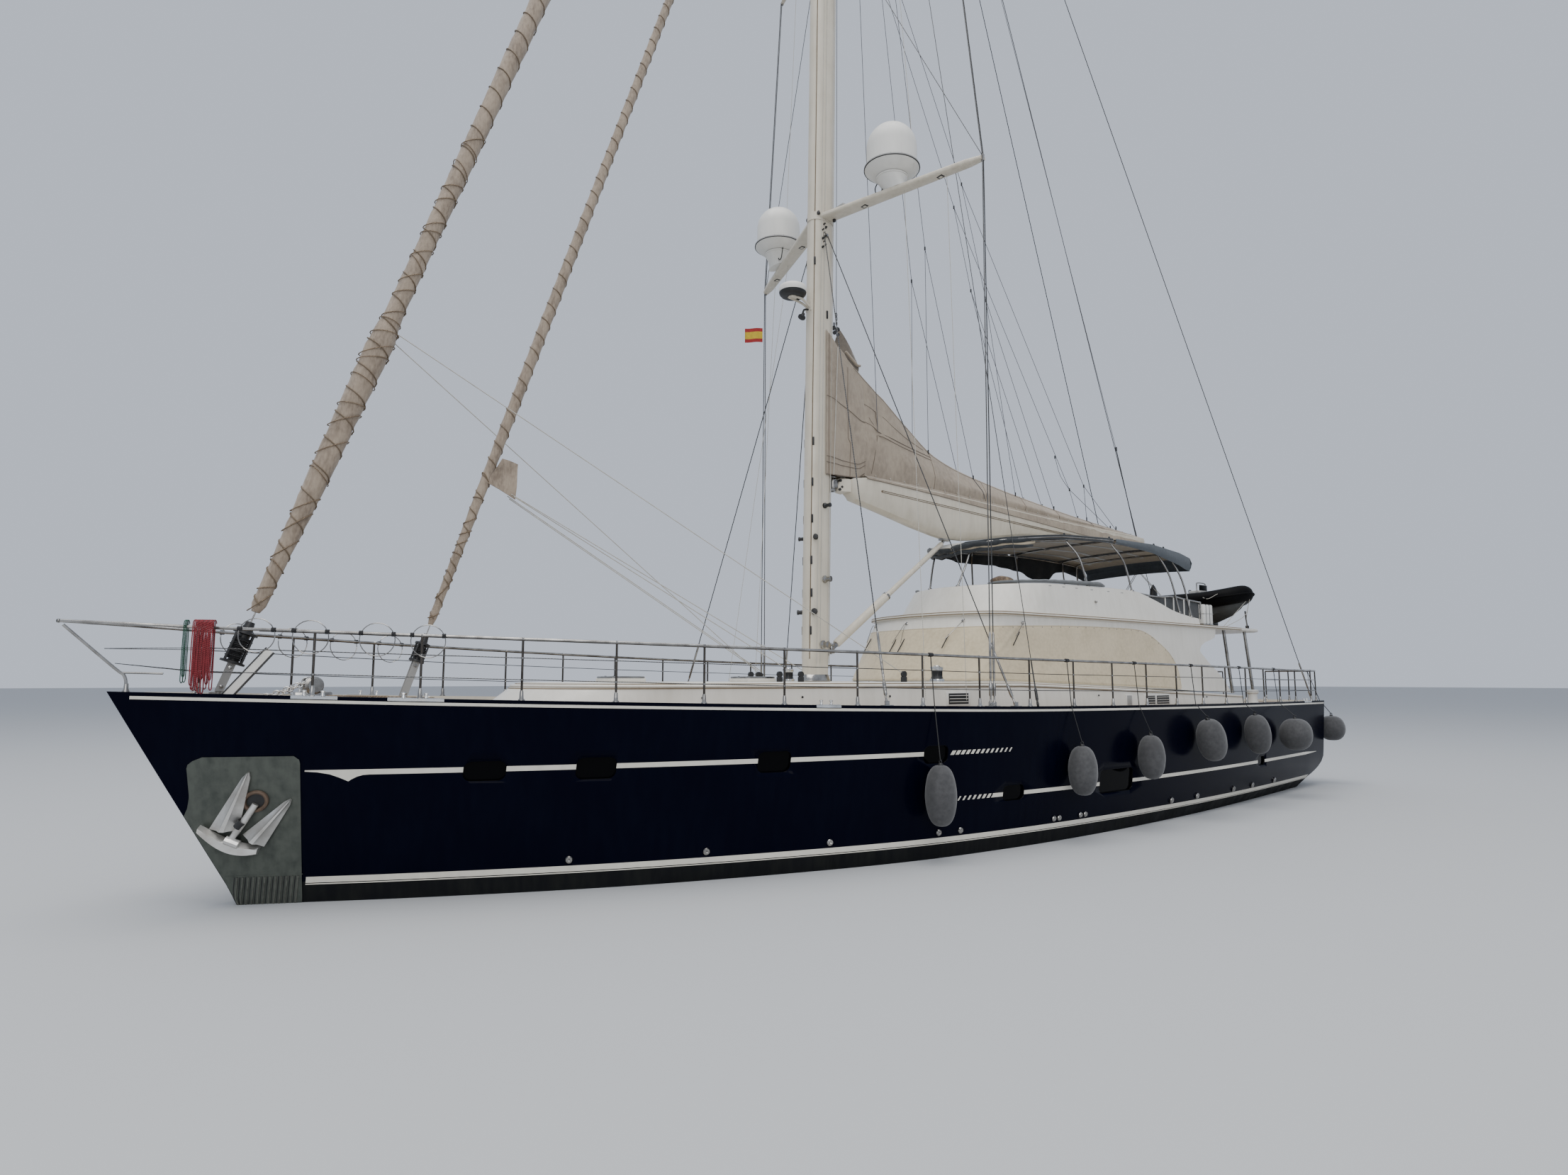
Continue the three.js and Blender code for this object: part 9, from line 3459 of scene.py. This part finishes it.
@dataclass
class DeckGear:
    """Winches, windlass, hatches, fairleads, cleats and a boarding plank on deck."""

    hull: Hull

    def build(self) -> None:
        """Builds the deck gear."""
        self._winches()
        self._windlass()
        self._hatches()
        self._fairleads()
        self._board()

    @staticmethod
    def _winches() -> None:
        """Two large winches with black drums."""
        for side, name in ((1, "port"), (-1, "starboard")):
            shape = Shape("polished stainless", "black fitting", "bright steel")
            place = (1.7, side * 2.5, HOUSE_TOP)
            shape.turned([(0, 0), (0.15, 0), (0.152, 0.02), (0.148, 0.055), (0.125, 0.068), (0, 0.07)],
                         place, 32, 2)
            shape.turned([(0, 0.065), (0.125, 0.066), (0.112, 0.09), (0.1, 0.13), (0.097, 0.18),
                          (0.104, 0.22), (0, 0.222)], place, 32, 1)
            shape.turned([(0, 0.218), (0.122, 0.222), (0.127, 0.24), (0.125, 0.285), (0.112, 0.292),
                          (0.07, 0.3), (0.055, 0.318),
                          (0.02, 0.32), (0.018, 0.305), (0, 0.305)], place, 32, 2)
            ribs = [at((1.7 + 0.1 * c, side * 2.5 + 0.1 * s, 3.28)) for c, s in circle(18)]
            rib = Shape("black fitting")
            rib.block((-0.006, -0.006, -0.06), (0.006, 0.006, 0.06), 0, 0.002)
            shape.repeat(rib, ribs, 1)
            shape.turned([(0, 0.0), (0.017, 0), (0.017, 0.06), (0, 0.062)], (1.7 + 0.115, side * 2.5, 3.4),
                         10, 2, (1, 0, 0))
            shape.piece(f"winch_{name}_drum", Slot.STEEL, [f"winch_{name}"], smooth=40)

    def _windlass(self) -> None:
        """The anchor windlass with its chain."""
        shape = Shape("polished stainless", "galvanised", "black fitting", "rusty bronze")
        floor = self.hull.deck(12.35, 0)
        shape.block((12.1, -0.26, floor - 0.02), (12.6, 0.26, floor + 0.1), 0, 0.02)
        shape.block((12.21, -0.12, floor + 0.08), (12.49, 0.12, 3.15), 0, 0.03)
        for side in (1, -1):
            shape.turned([(0, 0.12), (0.13, 0.12), (0.13, 0.14), (0.075, 0.17), (0.075, 0.22), (0.13, 0.25),
                          (0.13, 0.27), (0.09, 0.28),
                          (0.08, 0.36), (0.1, 0.4), (0.1, 0.42), (0, 0.42)], (12.35, 0, 3.08), 28, 0,
                         (0, side, 0))
        link = Shape("galvanised")
        link.tube([[(0.028 * c, 0, 0.045 * s) for c, s in circle(14, closed=True)]], 0.009, 6)
        places = []
        for side in (1, -1):
            path = [Vector((12.42, side * 0.19, 3.16)), Vector((12.6, side * 0.22, 3.05)),
                    Vector((13.0, side * 0.26, floor + 0.03)),
                    Vector((13.55, side * 0.3, floor + 0.03))]
            line = bend(path, 6)
            run = 0.0
            for a, b in zip(line, line[1:]):
                run += (b - a).length
            steps = int(run / 0.07)
            walked, k = 0.0, 0
            for i in range(steps):
                target = run * i / steps
                while k < len(line) - 2 and walked + (line[k + 1] - line[k]).length < target:
                    walked += (line[k + 1] - line[k]).length
                    k += 1
                share = (target - walked) / max((line[k + 1] - line[k]).length, 1e-6)
                spot = line[k].lerp(line[k + 1], share)
                places.append(at(spot, line[k + 1] - line[k], spin=math.pi / 2 * (i % 2)))
            shape.turned([(0, -0.02), (0.1, -0.02), (0.1, 0.02), (0.06, 0.05), (0, 0.05)],
                         (13.58, side * 0.3, floor), 20, 3)
        shape.repeat(link, places, 1)
        shape.piece("windlass_unit", Slot.GALVANISED, ["windlass"], smooth=40)

    @staticmethod
    def _hatches() -> None:
        """Two framed acrylic hatches that open forward."""
        for name, x, body in (("forward", 7.3, Body.HATCH_FORWARD), ("middle", 4.4, Body.HATCH_MIDDLE)):
            frame = Shape("white gelcoat", "polished stainless")
            half, hole = 0.34, 0.28
            for a, b in (((-half, -half), (half, -hole)), ((-half, hole), (half, half)),
                         ((-half, -hole), (-hole, hole)), ((hole, -hole), (half, hole))):
                frame.block((x + a[0], a[1], HOUSE_TOP), (x + b[0], b[1], 3.19), 0, 0.004)
            frame.piece(f"hatch_rim_{name}", Slot.STEEL, [f"hatch_frame_{name}"])
            lid = Shape("polished stainless", "smoked glass", "black fitting")
            rings = []
            r = 0.06
            for z, grow in ((3.1903, -0.012), (3.195, 0.0), (3.217, 0.0), (3.2253, -0.012)):
                reach = half + grow - r
                ring = []
                for cx, cy, start in ((1, 1, 0), (-1, 1, 1), (-1, -1, 2), (1, -1, 3)):
                    for k in range(6):
                        a = (start + k / 5) * math.pi / 2
                        ring.append((x + cx * reach + r * math.cos(a), cy * reach + r * math.sin(a), z))
                rings.append(ring)
            lid.rows(rings)
            lid.block((x - 0.27, -0.27, 3.224), (x + 0.27, 0.27, 3.2275), 1, 0.001)
            for y in (0.18, -0.18):
                lid.turned([(0, -0.05), (0.011, -0.05), (0.011, 0.05), (0, 0.05)],
                           (x - half + 0.012, y, 3.214), 10, 2, (0, 1, 0))
                lid.turned([(0, 0), (0.022, 0), (0.02, 0.006), (0, 0.008)], (x + 0.22, y, 3.227), 12, 2)
            lid.piece(f"hatch_{name}_lid", Slot.ACRYLIC, [f"hatch_lid_{name}"], body)

    def _fairleads(self) -> None:
        """Stainless plates, rollers and cleats on the cap, and deck cleats."""
        shape = Shape("bright steel", "black fitting", "polished stainless")
        cleat = Shape("bright steel")
        horn = [(-0.17, 0, 0.075), (-0.1, 0, 0.07), (0, 0, 0.065), (0.1, 0, 0.07), (0.17, 0, 0.075)]
        cleat.tube([bend([Vector(p) for p in horn], 3)], 0.016, 8)
        cleat.turned([(0, 0), (0.03, 0), (0.022, 0.03), (0.022, 0.065), (0, 0.065)], (-0.05, 0, 0), 10)
        cleat.turned([(0, 0), (0.03, 0), (0.022, 0.03), (0.022, 0.065), (0, 0.065)], (0.05, 0, 0), 10)
        spots = [(11.9, 0.24), (10.4, 0.24), (4.9, 0.24), (-3.6, 0.24), (-9.2, 0.24), (-13.4, 0.24)]
        places = []
        for x, inset in spots:
            y = self.hull.edge(x) - inset - 0.1
            places.append(at((x, y, self.hull.deck(x, y)), (0, 0, 1)))
        shape.repeat(cleat, places)
        for fore, aft in ((12.75, 12.2), (11.6, 10.9), (-13.2, -13.8), (5.4, 4.95)):
            rows = []
            for i in range(9):
                x = lerp(fore, aft, i / 8)
                y = self.hull.edge(x)
                rows.append([Vector((x, y - 0.125, self.hull.sheer(x) + 0.006)),
                             Vector((x, y - 0.02, self.hull.sheer(x) + 0.008)),
                             Vector((x, y + 0.008, self.hull.sheer(x) - 0.004)),
                             Vector((x, y + 0.01, self.hull.sheer(x) - 0.04))])
            shape.plate(rows, lambda point: Vector((0, -0.004, -0.004)))
            for t in (0.3, 0.7):
                x = lerp(fore, aft, t)
                shape.turned([(0, 0), (0.03, 0), (0.022, 0.02), (0.02, 0.05), (0.034, 0.065), (0.03, 0.075),
                              (0, 0.08)],
                             (x, self.hull.edge(x) - 0.07, self.hull.sheer(x) + 0.004), 14)
        shape.mirror()
        shape.piece("cleats_and_fairleads", Slot.STEEL, smooth=45)

    @staticmethod
    def _board() -> None:
        """A white boarding plank with black edges that leans on the bow rail."""
        shape = Shape("white moulding", "black fitting")
        foot, head = Vector((13.47, 0.5, 2.93)), Vector((12.98, 0.62, 3.58))
        way = (head - foot).normalized()
        across = way.cross(Vector((0.2, 1, 0.2))).normalized()
        face = way.cross(across).normalized()
        for low, high, deep, tone in ((-0.05, 0.05, 0.02, 0), (-0.068, -0.05, 0.026, 1),
                                      (0.05, 0.068, 0.026, 1)):
            shape.rows([[end + across * a + face * b for a, b in ((low, -deep), (high, -deep), (high, deep),
                                                                  (low, deep))]
                        for end in (foot, head)], tone)
        shape.piece("bow_plank", Slot.PLASTIC)


@dataclass
class Fenders:
    """Covered fenders on lanyards from the port rail."""

    hull: Hull
    places: tuple = (
        (3.049, 3.884, 1.165, 0.275, 0.52, 0, 3.083), (-0.608, 4.121, 1.397, 0.278, 0.473, 0, -0.521),
        (-3.009, 4.082, 1.534, 0.275, 0.455, 0, -2.903), (-5.595, 3.973, 1.786, 0.32, 0.48, 15, -5.453),
        (-8.343, 3.646, 1.804, 0.3, 0.485, 10, -8.267), (-10.916, 3.365, 1.694, 0.4, 0.42, 0, -10.87))

    def build(self) -> None:
        """Builds the fenders of the side and the one at the stern."""
        for i, (x, y, z, radius, half, lean, knot) in enumerate(self.places):
            cap = Vector((knot, self.hull.edge(knot) + 0.018, self.hull.sheer(knot) + 0.004))
            rail = Vector((knot, self.hull.edge(knot) - 0.06, self.hull.sheer(knot) + 0.9))
            self._fender(i + 1, Vector((x, y, z)), (radius, half, lean), cap, rail)
        sheer = self.hull.sheer(-14.9)
        self._fender(7, Vector((-15.35, 2.38, 1.68)), (0.36, 0.37, 0), Vector((-14.972, 2.24, sheer)),
                     Vector((-14.87, 1.97, sheer + 0.9)))

    @staticmethod
    def _fender(number: int, middle: Vector, size: tuple, cap: Vector, rail: Vector) -> None:
        """One covered fender on its lanyard.

        Args:
            number: its number in the frame.
            middle: its centre.
            size: its radius, half length and lean in degrees.
            cap: where the lanyard bends over the cap rail.
            rail: where it is tied.
        """
        radius, half, lean = size
        turn = Matrix.Translation(middle) @ Matrix.Rotation(math.radians(lean), 4, "Y")
        shape = Shape("fender sock", "black fitting", "white rope")
        rings = []
        for k in range(31):
            a = math.pi * (k / 30 - 0.5)
            r = 0.03 if k in (0, 30) else radius * (0.1 + 0.9 * max(math.cos(a), 0.0) ** 0.82)
            ring = []
            for c, s in circle(28):
                rough = 1 + 0.02 * noise.noise(Vector((c * 2 + number, s * 2, k * 0.35)))
                ring.append(turn @ Vector((r * rough * c, r * rough * s, half * math.sin(a))))
            rings.append(ring)
        shape.rows(rings)
        shape.turned([(0, -0.05), (0.045, -0.04), (0.05, 0.0), (0.03, 0.03), (0, 0.035)],
                     turn @ upward(half + 0.01), 14, 1)
        shape.tube([[turn @ Vector((0, 0.03 * c, half + 0.06 + 0.03 * s))
                     for c, s in circle(14, closed=True)]],
                   0.009, 6, 1)
        shape.tube([[turn @ upward(half + 0.07), cap, rail]], 0.0095, 6, 1)
        shape.turned([(0, -0.05), (0.036, -0.045), (0.038, 0.045), (0, 0.05)], rail, 12, 1, (1, 0, 0))
        shape.tube([bend([rail, rail + Vector((0.02, 0.03, -0.2)), rail + Vector((-0.03, 0.02, -0.42))], 4)],
                   0.007, 6, 1)
        piece = shape.piece(f"fender_{number}_sock", Slot.FENDER, [f"fender_{number}"], smooth=50)


class PlainSolids:
    """Finishes for the solids that keep their shape."""

    finishes = {"keel": "antifouling paint", "rudder": "antifouling paint", "propeller": "cast bronze",
                "shaft_and_bracket": "cast bronze", "saloon_bulkhead": "white gelcoat"}

    def build(self, nodes: dict[str, bpy.types.Object]) -> None:
        """Gives each solid its finish.

        Args:
            nodes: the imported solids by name.
        """
        for name, finish in self.finishes.items():
            for slot in nodes[name].material_slots:
                slot.material = LOCKER.get(finish)


# Stage


class Stage:
    """Camera, floor at the waterline and soft studio light."""

    eye = (14.384, 15.089, 3.172)
    heading = (-0.5807, -0.8141)
    pitch = math.radians(5.89)
    lens = 20.42

    def build(self) -> None:
        """Places the camera, floor and lights."""
        camera = bpy.data.cameras.new("camera")
        camera.lens = self.lens
        camera.sensor_width = 36
        camera.clip_end = 500
        thing = new_object("camera", camera)
        flat = math.cos(self.pitch)
        way = Vector((self.heading[0] * flat, self.heading[1] * flat, math.sin(self.pitch)))
        thing.rotation_euler = way.to_track_quat("-Z", "Y").to_euler()
        thing.location = self.eye
        bpy.context.scene.camera = thing
        self._floor()
        self._lights()

    @staticmethod
    def _floor() -> None:
        """A plain pale floor at the waterline."""
        size = 400
        mesh = bpy.data.meshes.new("floor")
        mesh.from_pydata([(-size, -size, 0), (size, -size, 0), (size, size, 0), (-size, size, 0)], [],
                         [(0, 1, 2, 3)])
        floor = new_object("floor", mesh)
        material = bpy.data.materials.new("pale floor")
        material.use_nodes = True
        shader = material.node_tree.nodes["Principled BSDF"]
        shader.inputs["Base Color"].default_value = (0.5, 0.51, 0.52, 1)
        shader.inputs["Roughness"].default_value = 0.9
        shader.inputs["Specular IOR Level"].default_value = 0.1
        mesh.materials.append(material)

    @staticmethod
    def _lights() -> None:
        """A pale surround, a broad overhead light and a broad side light."""
        world = bpy.data.worlds.new("surround")
        bpy.context.scene.world = world
        world.use_nodes = True
        back = world.node_tree.nodes["Background"]
        back.inputs["Color"].default_value = (0.8, 0.87, 1.0, 1)
        back.inputs["Strength"].default_value = 0.75
        for name, place, target, energy, size, colour in (
                ("overhead", (10, 6, 60), (0, 0, 0), 30000, 50, (1, 0.98, 0.95)),
                ("quay side", (30, 45, 25), (0, 0, 3), 9000, 30, (1, 0.97, 0.92))):
            light = bpy.data.lights.new(name, "AREA")
            light.energy = energy
            light.size = size
            light.color = colour
            thing = new_object(name, light)
            thing.location = place
            thing.rotation_euler = (Vector(target) - Vector(place)).to_track_quat("-Z", "Y").to_euler()


def main() -> None:
    """Loads the frame and dresses the yacht."""
    logging.basicConfig(level=logging.INFO, format="%(message)s")
    random.seed(7)
    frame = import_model()
    hull = Hull()
    Stage().build()
    rails = GuardRails(hull)
    Hank("red_line", (13.78, 0.6, 3.93), (1, -0.45, 0), 15, 0.8, 0.014, "red rope", slot=Slot.CANVAS).build()
    Hank("green_line", (13.98, 0.44, 3.93), (1, -0.4, 0), 3, 0.74, 0.012, "green rope",
         slot=Slot.CANVAS).build()
    FlatCoil("foredeck_warp", (11.5, 0.7, 2.78), 1.5, 0.72, 6, 0.03, "brown rope", heading=-0.35,
             surface=hull.deck).build()
    hull.build()
    BowAnchors(hull).build()
    rails.build()
    rails.rings()
    Coachroof(hull).build()
    saloon = Saloon()
    saloon.build()
    Flybridge(saloon).build()
    Bimini().build()
    mast = Mast()
    mast.build()
    Boom(mast).build()
    Headsail("furled_genoa", "forestay_and_drum", 14.557, 0.342, 2.99, 35.4, 0.011,
             ((4.15, 0.095), (5.0, 0.11), (6.3, 0.155), (8.0, 0.185), (8.6, 0.195), (9.1, 0.14),
              (12.0, 0.145), (18.0, 0.15), (26.0, 0.11), (33.2, 0.055)), (3.4, 4.0, 0.165), 0.42).build()
    Headsail("furled_staysail", "inner_stay_and_drum", 11.99, 0.323, 2.87, 28.9, 0.009,
             ((4.05, 0.06), (6.0, 0.075), (8.0, 0.095), (14.0, 0.085), (22.0, 0.065), (27.6, 0.04)),
             (3.45, 3.9, 0.12), 0.3).build()
    rig = Rigging(hull, mast)
    rig.build()
    rig.flag()
    Tender().build()
    DeckGear(hull).build()
    Fenders(hull).build()
    PlainSolids().build(frame["nodes"])


if __name__ == "__main__":
    main()
